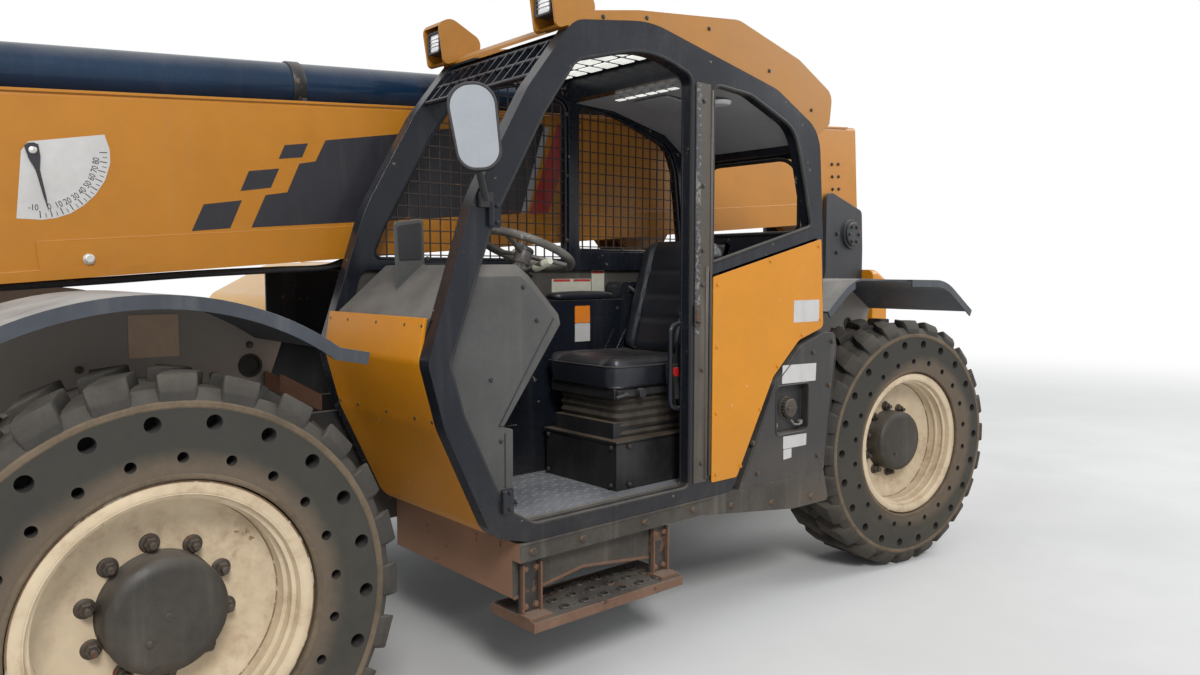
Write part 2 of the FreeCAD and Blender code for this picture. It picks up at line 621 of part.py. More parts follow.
def make_middle_boom():
    """Middle stage with wear pads at both ends, a front collar and the bracket of the extension rod."""
    stage = box_stage(MIDDLE_REAR, MIDDLE_FRONT, MIDDLE_HALF, MIDDLE_LOW, MIDDLE_HIGH, MIDDLE_WALL, 0)
    collar = box_stage(MIDDLE_FRONT - 50, MIDDLE_FRONT, MIDDLE_HALF + 16, MIDDLE_LOW - 16, MIDDLE_HIGH + 16,
                       MIDDLE_WALL + 16, 0)
    rear_pads = pads(MIDDLE_REAR, MIDDLE_REAR + PAD_LENGTH, MIDDLE_HALF, MIDDLE_LOW, MIDDLE_HIGH,
                     STAGE_GAP - PAD_GAP, True)
    front_pads = pads(MIDDLE_FRONT - PAD_LENGTH, MIDDLE_FRONT, MIDDLE_HALF - MIDDLE_WALL,
                      MIDDLE_LOW + MIDDLE_WALL, MIDDLE_HIGH - MIDDLE_WALL, STAGE_GAP - PAD_GAP, False)
    bracket = block(MIDDLE_FRONT - 110, MIDDLE_FRONT - 20, BOOM_Y - 90, BOOM_Y + 90, MIDDLE_HIGH,
                    CYLINDER_W + 45)
    rod = bar(at(450, BOOM_Y, CYLINDER_W), at(MIDDLE_FRONT - 60, BOOM_Y, CYLINDER_W), EXTENSION_ROD_RADIUS)
    keep("middle_boom", on_boom(fuse([stage, collar, bracket] + rear_pads + front_pads)))
    keep("extension_rod", on_boom(rod.cut(bracket)))


def make_inner_boom():
    """Inner stage with wear pads at its rear end."""
    stage = box_stage(INNER_REAR, INNER_FRONT, INNER_HALF, INNER_LOW, INNER_HIGH, INNER_WALL, 0)
    rear_pads = pads(INNER_REAR, INNER_REAR + PAD_LENGTH, INNER_HALF, INNER_LOW, INNER_HIGH,
                     STAGE_GAP - PAD_GAP, True)
    keep("inner_boom", on_boom(fuse([stage] + rear_pads)))


def make_boom_head():
    """Goose-neck of two side plates and a back plate, with the pins of the carriage and its cylinder."""
    pin_u, pin_w = to_boom(TILT_PIN_X, TILT_PIN_Z)
    base_u, base_w = to_boom(TILT_PIN_X + TILT_BARREL_DX, TILT_PIN_Z + TILT_BARREL_DZ)
    throat = MIDDLE_FRONT + 20
    front = INNER_FRONT
    outline = [
        (front, INNER_LOW, 0), (front, INNER_HIGH, 0), (front + 150, INNER_HIGH, 90),
        (front + 380, INNER_LOW - 100, 320), (pin_u + 95, pin_w + 40, 90), (pin_u + 60, pin_w - 95, 60),
        (pin_u - 60, pin_w - 95, 60), (base_u + 210, base_w - 200, 160), (base_u - 40, base_w - 90, 60),
        (base_u - 90, base_w + 40, 60), (throat, base_w + 130, 60), (throat, INNER_LOW, 0)]
    half = INNER_HALF
    whole = side_plate(outline, BOOM_Y - half, BOOM_Y + half)
    pocket = [
        (front - 1, INNER_LOW + 12, 0), (front - 1, INNER_HIGH - HEAD_PLATE, 0),
        (front + 130, INNER_HIGH - HEAD_PLATE, 80), (front + 350, INNER_LOW - 100, 300),
        (front + 370, INNER_LOW - 420, 0), (pin_u + 300, INNER_LOW - 420, 0), (pin_u + 300, pin_w - 200, 0),
        (base_u - 200, pin_w - 200, 0), (base_u - 200, INNER_LOW - HEAD_PLATE, 0),
        (front - 1, INNER_LOW - HEAD_PLATE, 0)]
    space = side_plate(pocket, BOOM_Y - half + HEAD_PLATE, BOOM_Y + half - HEAD_PLATE)
    bosses = []
    for u, w, radius in ((pin_u, pin_w, 75), (base_u, base_w, 62)):
        bosses.append(pin_across(u, w, BOOM_Y + half - HEAD_PLATE, BOOM_Y + half + 12, radius))
        bosses.append(pin_across(u, w, BOOM_Y - half - 12, BOOM_Y - half + HEAD_PLATE, radius))
    head = fuse([whole.cut(space)] + bosses)
    for u, w in ((pin_u, pin_w), (base_u, base_w)):
        head = head.cut(pin_across(u, w, BOOM_Y - half - 20, BOOM_Y + half + 20, TILT_PIN_RADIUS))
    base_pin = pin_across(base_u, base_w, BOOM_Y - half - 12, BOOM_Y + half + 12, TILT_PIN_RADIUS)
    keep("boom_head", on_boom(head.fuse(base_pin)))


def make_carriage():
    """Fork carriage: two cheeks on the lower pin, two rails, four posts and the fork shaft; and the forks."""
    back = math.radians(TILT_LEVER_BACK)
    eye_x = TILT_PIN_X - TILT_LEVER * math.sin(back)
    eye_z = TILT_PIN_Z + TILT_LEVER * math.cos(back)
    bar_x = TILT_PIN_X + CARRIAGE_AHEAD
    low_z, top_z = TILT_PIN_Z - 60, TILT_PIN_Z + 420
    outline = [(TILT_PIN_X - 55, low_z, 50), (bar_x, low_z, 0), (bar_x, top_z, 0), (bar_x - 60, top_z, 20),
               (eye_x + 10, eye_z + 60, 40), (eye_x - 55, eye_z + 30, 40)]
    inner = INNER_HALF - HEAD_PLATE - 5
    cheeks = [side_plate(outline, BOOM_Y + inner - 26, BOOM_Y + inner),
              side_plate(outline, BOOM_Y - inner, BOOM_Y - inner + 26)]
    pin = pin_across(TILT_PIN_X, TILT_PIN_Z, BOOM_Y - INNER_HALF - 20, BOOM_Y + INNER_HALF + 20,
                     TILT_PIN_RADIUS - BEARING_GAP)
    half = CARRIAGE_WIDTH / 2
    rails = [block(bar_x, bar_x + RAIL_THICKNESS, BOOM_Y - half, BOOM_Y + half, z, z + 90)
             for z in (low_z, top_z - 40)]
    posts = [block(bar_x, bar_x + 30, BOOM_Y + y - 40, BOOM_Y + y + 40, low_z, top_z + 50)
             for y in (-half + 60, -100, 100, half - 60)]
    keep("fork_carriage", fuse(cheeks + [pin] + rails + posts))
    heel_x = bar_x + RAIL_THICKNESS
    floor = FORK_CLEARANCE
    fork = [(heel_x, top_z + 50, 8), (heel_x, floor, 30), (heel_x + FORK_LENGTH, floor, 0),
            (heel_x + FORK_LENGTH, floor + FORK_TIP, 0),
            (heel_x + FORK_LENGTH - FORK_TAPER, floor + FORK_THICKNESS, 0),
            (heel_x + FORK_THICKNESS, floor + FORK_THICKNESS, 20), (heel_x + FORK_THICKNESS, top_z + 50, 8)]
    forks = []
    for side in (1, -1):
        centre = BOOM_Y + side * FORK_SPACING / 2
        forks.append(side_plate(fork, centre - FORK_WIDTH / 2, centre + FORK_WIDTH / 2))
    keep("forks", *forks)


def make_cylinder(name, base, eye, barrel_radius, rod_radius, half_width, base_bore, out, back):
    """A barrel on its base pin and a rod to its eye, on one line: the rod goes out and back that far."""
    line = eye.sub(base)
    length = line.Length
    line.normalize()
    across = at(0, half_width, 0)
    eye_radius = rod_radius + EYE_WALL
    barrel_end = length - eye_radius - back - GLAND_GAP
    rod_start = barrel_end - out - GLAND_GAP

    def ahead(distance):
        """A point on the cylinder's line."""
        return base.add(FreeCAD.Vector(line).multiply(distance))

    barrel = fuse([bar(base.sub(across), base.add(across), barrel_radius),
                   bar(ahead(barrel_radius * 0.6), ahead(barrel_end), barrel_radius),
                   bar(ahead(barrel_end - barrel_radius), ahead(barrel_end), barrel_radius + 4)])
    barrel = barrel.cut(bar(ahead(rod_start - back - 5), ahead(length), rod_radius + BEARING_GAP))
    barrel = barrel.cut(bar(base.sub(across), base.add(across), base_bore))
    rod = fuse([bar(ahead(rod_start), ahead(length - 20), rod_radius),
                bar(eye.sub(across), eye.add(across), eye_radius)])
    keep(name + "_barrel", barrel)
    keep(name + "_rod", rod)


def make_cylinders():
    """The lift cylinder under the boom and the tilt cylinder in the boom's head."""
    eye_x, eye_z = boom_point(LIFT_EYE_U, LIFT_EYE_W)
    make_cylinder("lift", at(LIFT_BASE_X, BOOM_Y, LIFT_BASE_Z), at(eye_x, BOOM_Y, eye_z), LIFT_BARREL_RADIUS,
                  LIFT_ROD_RADIUS, 62, LIFT_PIN_RADIUS, LIFT_STROKE, 0)
    back = math.radians(TILT_LEVER_BACK)
    base = at(TILT_PIN_X + TILT_BARREL_DX, BOOM_Y, TILT_PIN_Z + TILT_BARREL_DZ)
    eye = at(TILT_PIN_X - TILT_LEVER * math.sin(back), BOOM_Y, TILT_PIN_Z + TILT_LEVER * math.cos(back))
    make_cylinder("tilt", base, eye, TILT_BARREL_RADIUS, TILT_ROD_RADIUS, 55, TILT_PIN_RADIUS + BEARING_GAP,
                  TILT_STROKE_OUT, TILT_STROKE_BACK)


# Cab

# Outer edge of the cab's side, from the front corner of the roof round by the floor: x, z, radius
CAB_SIDE = [
    (455, 2440, 120), (660, 2180, 300), (880, 1800, 600), (1060, 1262, 60), (1000, 1040, 200), (820, 650, 110),
    (660, 606, 40), (-405, 606, 0), (-445, 640, 20), (-690, 1080, 80), (-880, 1236, 80), (-1072, 1290, 20),
    (-1058, 1741, 0), (-1020, 2200, 160), (-700, 2350, 300), (80, 2500, 500)]
DOOR_OPENING = [
    (440, 2300, 60), (585, 2105, 300), (800, 1730, 500), (975, 1255, 50), (925, 1080, 150), (765, 745, 90),
    (640, 668, 60), (-155, 668, 30), (-155, 2330, 50), (80, 2400, 500)]
SIDE_WINDOW = [
    (-277, 1584, 0), (-277, 2322, 40), (-520, 2310, 200), (-830, 2200, 160), (-880, 2090, 200),
    (-975, 1755, 20)]
LOWER_OPENING = [
    (-277, 668, 20), (-277, 1541, 0), (-1010, 1710, 0), (-1020, 1340, 0), (-850, 1290, 80), (-640, 1110, 80),
    (-390, 668, 0)]
RIGHT_FRONT_WINDOW = [
    (440, 2300, 60), (585, 2105, 300), (800, 1730, 300), (860, 1600, 30), (-150, 1600, 30), (-150, 2330, 50),
    (80, 2400, 500)]
RIGHT_REAR_WINDOW = [
    (-210, 1650, 20), (-210, 2338, 40), (-500, 2300, 200), (-830, 2190, 160), (-880, 2060, 200),
    (-930, 1650, 20)]
RIGHT_LOWER_OPENING = [
    (780, 690, 60), (-400, 690, 20), (-655, 1120, 80), (-860, 1290, 80), (-1010, 1340, 20), (-1000, 1560, 20),
    (900, 1560, 40), (990, 1262, 40), (900, 1000, 150)]
# The bulkhead behind the seat: it leans over the side tank, then stands up to the roof
BULKHEAD = [
    (-395, 668, 0), (-410, 668, 0), (-665, 1092, 80), (-865, 1256, 80), (-1052, 1308, 20), (-1046, 2150, 0),
    (-1030, 2150, 0), (-1036, 1320, 20), (-856, 1270, 80), (-652, 1102, 80)]
NOSE_PANEL = [
    (1035, 1405, 0), (1060, 1262, 60), (1000, 1040, 200), (820, 650, 110), (660, 606, 40), (600, 606, 0),
    (600, 606 + SHEET, 0), (655, 606 + SHEET, 30), (810, 658, 98), (988, 1045, 190), (1047, 1262, 50),
    (1023, 1405, 0)]
SIDE_PANEL = [
    (-285, 1532, 10), (-1040, 1706, 10), (-1068, 1292, 30), (-880, 1240, 80), (-692, 1084, 80), (-448, 668, 20),
    (-285, 668, 10)]
REAR_WINDOW = [
    (CAB_IN_RIGHT + 30, 1740, 40), (CAB_IN_LEFT - 30, 1740, 40), (CAB_IN_LEFT - 30, 2095, 120),
    (CAB_IN_RIGHT + 30, 2095, 120)]
CAB_MEMBERS = [
    # x0, x1, z0, z1 of the members that run across the cab
    (400, 460, 2330, 2390), (-190, -130, 2335, 2445), (-1020, -960, 1640, 1700), (-1005, -945, 2110, 2170)]
HEADLINER = [(-936, 2141, 0), (-780, 2245, 0), (-430, 2325, 0), (-190, 2335, 0)]
GRILLE_RODS = [(600, 2235), (540, 2305), (480, 2375)]
GRILLE_SLAT = [(488, 2382, 0), (608, 2242, 0)]
SKYLIGHT = [(-120, 2458, 0), (100, 2462, 0), (410, 2421, 0)]
ROOF_COVER = [
    (139, 2530, 40), (455, 2470, 20), (455, 2430, 0), (80, 2480, 500), (-700, 2330, 280), (-1010, 2180, 60),
    (-1095, 2240, 20), (-1114, 2381, 60), (-854, 2501, 150), (-437, 2599, 150)]
LAMP_HOOD = [(535, 2395, 20), (560, 2560, 40), (500, 2590, 60), (350, 2520, 40), (370, 2455, 20)]
LAMP_HOLLOW = [
    (600, 2384, 0), (600, 2536, 0), (560, 2548, 0), (498, 2577, 30), (440, 2550, 10), (440, 2442, 10)]
DASHBOARD = [
    (1010, 1395, 0), (796, 1579, 0), (617, 1580, 0), (567, 1544, 0), (424, 1395, 0), (566, 1200, 60),
    (706, 1008, 0), (666, 995, 0), (668, 706, 0), (800, 760, 0), (970, 1100, 100), (1020, 1262, 40)]
DASH_PLATE = [(905, 1480, 0), (912, 1735, 15), (790, 1752, 15), (785, 1575, 0)]
CONSOLE = [(-385, 668, 0), (340, 668, 0), (340, 1200, 60), (240, 1425, 60), (-385, 1425, 20)]
SEAT_BASE = [
    # x0, x1, half width, z0, z1 from the floor up
    (-385, 120, 230, CAB_FLOOR_TOP, 860), (-393, 128, 238, 860, 872), (-330, 100, 190, 872, 940),
    (-300, 70, 165, 940, 1040), (-345, 110, 205, 1040, 1080)]
SEAT_CUSHION = [(140, 1080, 20), (140, 1210, 50), (-380, 1190, 30), (-380, 1080, 20)]
SEAT_BACKREST = [(-300, 1194, 0), (-375, 1190.5, 0), (-560, 1690, 40), (-450, 1700, 50)]
SIDE_TANK = [
    (-1084, 1268, 20), (-1173, 1262, 30), (-1190, 1197, 20), (-1101, 606, 0), (-470, 606, 0), (-715, 1050, 80),
    (-895, 1210, 80)]
TANK_RECESS = [(-963, 814, 20), (-728, 814, 20), (-728, 1032, 20), (-963, 1032, 20)]
SIDE_RAIL = [(706, 606, 0), (706, 538, 0), (-223, 538, 60), (-864, 453, 60), (-1145, 447, 20), (-1097, 606, 0)]
SKIRT = [(706, 538, 0), (706, 400, 0), (380, 448, 20), (6, 404, 20), (6, 538, 0)]
MIRROR = [(1038, 2128, 70), (878, 2140, 70), (852, 1868, 60), (988, 1862, 60)]


def strip(corners, depth):
    """The closed outline between a line of corners, in the order of +x, and one that far below it."""
    below = []
    last = len(corners) - 1
    for index, (a, b, radius) in enumerate(corners):
        here = FreeCAD.Vector(a, b, 0)
        runs = []
        for first in (max(index - 1, 0), min(index, last - 1)):
            start, end = corners[first], corners[first + 1]
            run = FreeCAD.Vector(end[0] - start[0], end[1] - start[1], 0)
            run.normalize()
            runs.append(FreeCAD.Vector(run.y, -run.x, 0))
        middle = runs[0].add(runs[1])
        middle.normalize()
        point = here.add(middle.multiply(depth / middle.dot(runs[0])))
        below.append((point.x, point.y, max(radius - depth, 0) if radius > 0 else 0))
    return corners + below[::-1]


def largest(shape):
    """The largest solid of a shape, without slivers that a cut left."""
    return max(shape.Solids, key=lambda solid: solid.Volume)


def make_cab_frame():
    """Left side frame with the members across the cab, and the right side frame on its own."""
    left = side_plate(CAB_SIDE, CAB_IN_LEFT, CAB_LEFT)
    for opening in (DOOR_OPENING, SIDE_WINDOW, LOWER_OPENING):
        left = left.cut(side_plate(opening, CAB_IN_LEFT - 1, CAB_LEFT + 1))
    right = side_plate(CAB_SIDE, CAB_RIGHT, CAB_IN_RIGHT)
    for opening in (RIGHT_FRONT_WINDOW, RIGHT_REAR_WINDOW, RIGHT_LOWER_OPENING):
        right = right.cut(side_plate(opening, CAB_RIGHT - 1, CAB_IN_RIGHT + 1))
    members = [block(x0, x1, CAB_IN_RIGHT, CAB_IN_LEFT, z0, z1) for x0, x1, z0, z1 in CAB_MEMBERS]
    keep("cab_frame", fuse([left] + members))
    keep("cab_right_frame", right)


def make_cab_shell():
    """Floor, nose, right wall, left side panel, bulkhead and headliner of the cab."""
    keep("cab_floor", block(-395, 640, CAB_IN_RIGHT, CAB_IN_LEFT, CAB_FLOOR_BOTTOM, CAB_FLOOR_TOP))
    keep("cab_nose", side_plate(NOSE_PANEL, CAB_IN_RIGHT, CAB_IN_LEFT))
    keep("cab_right_wall", side_plate(RIGHT_LOWER_OPENING, CAB_RIGHT + 20, CAB_RIGHT + 40))
    keep("cab_side_panel", side_plate(SIDE_PANEL, CAB_LEFT, CAB_LEFT + PANEL_SHEET))
    bulkhead = side_plate(BULKHEAD, CAB_IN_RIGHT, CAB_IN_LEFT)
    keep("cab_rear_wall", bulkhead.cut(cross_plate(REAR_WINDOW, -1070, -1020)))
    headliner = side_plate(strip(HEADLINER, -15), CAB_IN_RIGHT, CAB_IN_LEFT)
    for index in range(LINER_SLOTS):
        y = LINER_SLOT_START + LINER_SLOT_PITCH * index
        slot = block(-250, -220, y - LINER_SLOT_HALF, y + LINER_SLOT_HALF, 2300, 2370)
        headliner = headliner.cut(slot)
    keep("cab_roof", headliner)


def make_roof_parts():
    """Moulded roof covers, two lamp hoods, the sloping roof guard and the skylight's bars."""
    frame = side_plate(CAB_SIDE, CAB_RIGHT - 1, CAB_LEFT + 1)
    skin = moved(side_plate(CAB_SIDE, CAB_RIGHT, CAB_LEFT), 0, 0, ROOF_SHEET).cut(frame)
    rear = skin.common(block(-1000, -100, CAB_RIGHT, CAB_LEFT, 2000, 2700))
    lip = skin.common(block(380, 480, CAB_RIGHT, CAB_LEFT, 2390, 2700))
    sides = [side_plate(ROOF_COVER, CAB_IN_LEFT, CAB_LEFT), side_plate(ROOF_COVER, CAB_RIGHT, CAB_IN_RIGHT)]
    covers = largest(fuse([rear, lip] + sides).cut(frame))
    keep("roof_covers", covers)
    lamps = []
    for y in (CAB_LEFT - LAMP_WIDTH, CAB_RIGHT - 35):
        hood = side_plate(LAMP_HOOD, y, y + LAMP_WIDTH)
        hollow = side_plate(LAMP_HOLLOW, y + LAMP_WALL, y + LAMP_WIDTH - LAMP_WALL)
        lamp = block(435, 500, y + 25, y + LAMP_WIDTH - 25, 2455, 2545)
        lamps.append(largest(fuse([hood.cut(hollow), lamp]).cut(frame).cut(covers)))
    keep("work_lights", *lamps)
    middle = (CAB_IN_LEFT + CAB_IN_RIGHT) / 2
    bars = [pin_across(x, z, CAB_IN_RIGHT, CAB_IN_LEFT, GRILLE_ROD) for x, z in GRILLE_RODS]
    slats = []
    for index in range(GRILLE_BARS):
        y = middle + (index - (GRILLE_BARS - 1) / 2) * GRILLE_PITCH
        slats.append(side_plate(strip(GRILLE_SLAT, GRILLE_DEPTH), y - 3, y + 3))
    rails = [block(400, 430, CAB_IN_RIGHT, CAB_IN_LEFT, 2390, 2420),
             block(120, 145, CAB_IN_RIGHT, CAB_IN_LEFT, 2428, 2456),
             block(-130, -108, CAB_IN_RIGHT, CAB_IN_LEFT, 2428, 2456)]
    pitch = (CAB_IN_LEFT - CAB_IN_RIGHT) / (SKYLIGHT_BARS + 1)
    for index in range(SKYLIGHT_BARS):
        y = CAB_IN_RIGHT + (index + 1) * pitch
        rails.append(side_plate(strip(SKYLIGHT, 30), y - SKYLIGHT_BAR / 2, y + SKYLIGHT_BAR / 2))
    keep("roof_grille", fuse(bars + slats), fuse(rails))


def make_cab_inside():
    """Dashboard with its plate, steering wheel, seat and side console."""
    left = CAB_IN_LEFT - DASH_GAP
    body = side_plate(DASHBOARD, CAB_IN_RIGHT, left)
    edges = [edge for edge in body.Edges
             if all(abs(v.Y - left) < 1 and v.Z > 1390 for v in edge.Vertexes)
             and max(v.X for v in edge.Vertexes) < 1005]
    dashboard = fuse([body.makeChamfer(DASH_CHAMFER, edges), side_plate(DASH_PLATE, 676, 684)])
    keep("dashboard", dashboard)
    rim = STEERING_WHEEL_RADIUS
    wheel = Part.makeTorus(rim, STEERING_RIM, CENTRE, UP)
    spokes = [bar(at(0, 0, -20), at((rim - 8) * math.cos(turn), (rim - 8) * math.sin(turn), -4), 9)
              for turn in (0.5, 2.6, 4.71)]
    hub = bar(at(0, 0, -60), at(0, 0, -6), 34)
    column = bar(at(0, 0, -230), at(0, 0, -60), 28)
    grip_x, grip_y = rim * math.cos(-2.05), rim * math.sin(-2.05)
    grip = bar(at(grip_x, grip_y, 0), at(grip_x, grip_y, 72), 20)
    stalk = [bar(at(0, 20, -95), at(30, 150, -80), 7), bar(at(30, 150, -80), at(40, 195, -75), 11)]
    steering = fuse([wheel, hub, column, grip] + spokes + stalk)
    steering.rotate(CENTRE, ACROSS, -STEERING_WHEEL_LEAN)
    steering = moved(steering, STEERING_WHEEL_X, SEAT_Y, STEERING_WHEEL_Z)
    keep("steering_wheel", largest(steering.cut(dashboard)))
    keep("seat_base", fuse([block(x0, x1, SEAT_Y - half, SEAT_Y + half, z0, z1)
                            for x0, x1, half, z0, z1 in SEAT_BASE]))
    keep("seat_cushion", side_plate(SEAT_CUSHION, SEAT_Y - 240, SEAT_Y + 240))
    keep("seat_backrest", side_plate(SEAT_BACKREST, SEAT_Y - 225, SEAT_Y + 225))
    box = side_plate(CONSOLE, CAB_IN_RIGHT, CAB_IN_RIGHT + 125)
    lever_y = CAB_IN_RIGHT + 75
    lever = bar(at(150, lever_y, 1400), at(175, lever_y, 1540), 11)
    knob = bar(at(172, lever_y, 1525), at(184, lever_y, 1592), 24)
    keep("side_console", fuse([box, lever, knob]))


def make_guards():
    """Wire mesh in the right-hand windows: upright wires with level wires laid on them."""
    guards = []
    near = CAB_RIGHT + 25
    for opening in (RIGHT_FRONT_WINDOW, RIGHT_REAR_WINDOW):
        x0, x1 = min(x for x, z, r in opening), max(x for x, z, r in opening)
        z0, z1 = min(z for x, z, r in opening), max(z for x, z, r in opening)
        across, up = int((x1 - x0) / MESH_PITCH), int((z1 - z0) / MESH_PITCH)
        wires = []
        for index in range(across + 1):
            x = x0 + 20 + index * MESH_PITCH
            wires.append(block(x, x + MESH_WIRE, near, near + MESH_WIRE, z0, z1))
        for index in range(up + 1):
            z = z0 + 20 + index * MESH_PITCH
            wires.append(block(x0, x1, near + MESH_WIRE, near + 2 * MESH_WIRE, z, z + MESH_WIRE))
        guards.append(largest(fuse(wires).common(side_plate(opening, near, near + 2 * MESH_WIRE))))
    keep("mesh_guards", *guards)


def make_left_side():
    """Rail and skirt under the cab, the entry step, the side tank and the mirror."""
    rail = side_plate(SIDE_RAIL, CAB_LEFT - 90, CAB_LEFT)
    beams = [block(x - 60, x + 60, FRAME_LEFT + FRAME_PLATE, CAB_LEFT - 90, 540, 606)
             for x in (560, -100, -700)]
    skirt_face = block(694, 706, FRAME_LEFT + FRAME_PLATE, CAB_LEFT - 48, 400, 606)
    skirt_side = side_plate(SKIRT, CAB_LEFT - 60, CAB_LEFT - 48)
    keep("side_rail", fuse([rail, skirt_face, skirt_side] + beams))
    inner = STEP_OUT - STEP_DEPTH
    step = level_plate([(STEP_FRONT, STEP_OUT, 15), (STEP_REAR, STEP_OUT, 15), (STEP_REAR, inner, 15),
                        (STEP_FRONT, inner, 15)],
                       STEP_BOTTOM, STEP_TOP)
    for row in range(STEP_ROWS):
        for column in range(STEP_COLUMNS):
            x = (STEP_FRONT + STEP_REAR) / 2 + (column - (STEP_COLUMNS - 1) / 2) * STEP_COLUMN_PITCH
            y = STEP_OUT - STEP_DEPTH / 2 + (row - (STEP_ROWS - 1) / 2) * STEP_ROW_PITCH
            step = step.cut(bar(at(x, y, STEP_BOTTOM - 1), at(x, y, STEP_TOP + 1), STEP_HOLE))
    hangers = [block(x, x + HANGER_WIDTH, CAB_LEFT - 48, CAB_LEFT - 36, STEP_TOP, 538)
               for x in (STEP_FRONT - HANGER_WIDTH, STEP_REAR)]
    keep("entry_step", fuse([step] + hangers))
    tank = side_plate(SIDE_TANK, 560, CAB_LEFT)
    cap = pin_across(-845, 926, CAB_LEFT - 42, CAB_LEFT - 8, 44)
    keep("side_tank", fuse([tank.cut(side_plate(TANK_RECESS, CAB_LEFT - 40, CAB_LEFT + 1)), cap]))
    foot = block(815, 865, CAB_LEFT, CAB_LEFT + 16, 1765, 1815)
    arm = bar(at(840, CAB_LEFT + 8, 1790), at(955, CAB_LEFT + 95, 1990), 12)
    arm = fuse([foot, arm]).cut(block(700, 1000, CAB_LEFT - 60, CAB_LEFT, 1700, 1900))
    glass = side_plate(MIRROR, 0, 30)
    glass.rotate(at(950, 0, 2000), UP, -33)
    keep("mirror", fuse([arm, moved(glass, 0, CAB_LEFT + 97, 0)]))


def make_engine_side():
    """Engine pod on the right: open-topped housing, a plain engine block and the hinged hood."""
    inside = FRAME_RIGHT - FRAME_PLATE
    floor = block(POD_REAR, POD_FRONT, POD_OUTER, inside, POD_BOTTOM, POD_BOTTOM + 15)
    outer = block(POD_REAR, POD_FRONT, POD_OUTER, POD_OUTER + SHEET, POD_BOTTOM, POD_SPLIT)
    rear = block(POD_REAR, POD_REAR + SHEET, POD_OUTER, POD_INNER, POD_BOTTOM, POD_SPLIT)
    front = block(POD_FRONT - SHEET, POD_FRONT, POD_OUTER, POD_INNER, POD_BOTTOM, POD_SPLIT)
    inner = block(POD_REAR, POD_FRONT, POD_INNER - SHEET, POD_INNER, POD_BOTTOM, POD_TOP - 40)
    hinge_z = POD_TOP - HINGE_DROP
    lugs, knuckles, pins = [], [], []
    for x in (POD_REAR + 350, POD_FRONT - 550):
        pins.append(bar(at(x - 60, POD_INNER, hinge_z), at(x + 60, POD_INNER, hinge_z), HINGE_PIN))
        for side in (1, -1):
            near, far = x + side * 44, x + side * 60
            lugs.append(bar(at(near, POD_INNER, hinge_z), at(far, POD_INNER, hinge_z), HINGE_BARREL))
            lugs.append(block(min(near, far), max(near, far), POD_INNER - SHEET, POD_INNER, POD_TOP - 50,
                              hinge_z))
        knuckle = bar(at(x - 42, POD_INNER, hinge_z), at(x + 42, POD_INNER, hinge_z), HINGE_BARREL)
        strap = block(x - 42, x + 42, POD_INNER - HOOD_GAP - 30, POD_INNER, POD_TOP - SHEET, POD_TOP)
        bore = bar(at(x - 43, POD_INNER, hinge_z), at(x + 43, POD_INNER, hinge_z), HINGE_PIN + BEARING_GAP)
        knuckles.append(fuse([knuckle, strap]).cut(bore))
    keep("engine_housing", fuse([floor, outer, rear, front, inner] + lugs + pins))
    keep("engine_block", block(-520, 430, -980, -480, POD_BOTTOM + 15, 1330))
    outline = [(POD_REAR, POD_SPLIT + 6, 0), (POD_FRONT, POD_SPLIT + 6, 0), (POD_FRONT - 10, 1430, 80),
               (POD_FRONT - 330, POD_TOP, 200), (POD_REAR + 20, POD_TOP, 80)]
    core = [(POD_REAR + SHEET, POD_SPLIT, 0), (POD_FRONT - SHEET, POD_SPLIT, 0),
            (POD_FRONT - 10 - SHEET, 1424, 70), (POD_FRONT - 334, POD_TOP - SHEET, 190),
            (POD_REAR + 20 + SHEET, POD_TOP - SHEET, 70)]
    inside_edge = POD_INNER - HOOD_GAP
    hood = side_plate(outline, POD_OUTER, inside_edge)
    hood = hood.cut(side_plate(core, POD_OUTER + SHEET, inside_edge + 1))
    for row in range(LOUVRE_ROWS):
        z = POD_SPLIT + 90 + LOUVRE_PITCH * row
        for x in (POD_REAR + 200, POD_FRONT - 750):
            hood = hood.cut(block(x, x + 500, POD_OUTER - 1, POD_OUTER + SHEET + 1, z, z + LOUVRE_HEIGHT))
    keep("engine_hood", fuse([hood] + knuckles))


FENDERS = [
    # axle x, then the sheet's line from the axle's centre: along, up and corner radius as shares of the arch
    (FRONT_X, [(-0.687, 0.7745, 0), (-0.578, 0.797, 0), (0.009, 1.224, 0.993), (0.597, 0.797, 0)]),
    (REAR_X, [(-0.835, 0.792, 0), (-0.473, 0.999, 0.467), (0.602, 1.016, 0.35), (0.856, 0.834, 0)]),
]
BROKEN_EDGE = [
    (-1340, 1175, 0), (-1345, 1156, 0), (-1500, 1150, 40), (-1600, 1120, 40), (-1660, 1085, 20),
    (-1760, 1075, 30), (-1850, 1090, 20), (-1890, 1130, 0), (-1880, 1175, 0)]


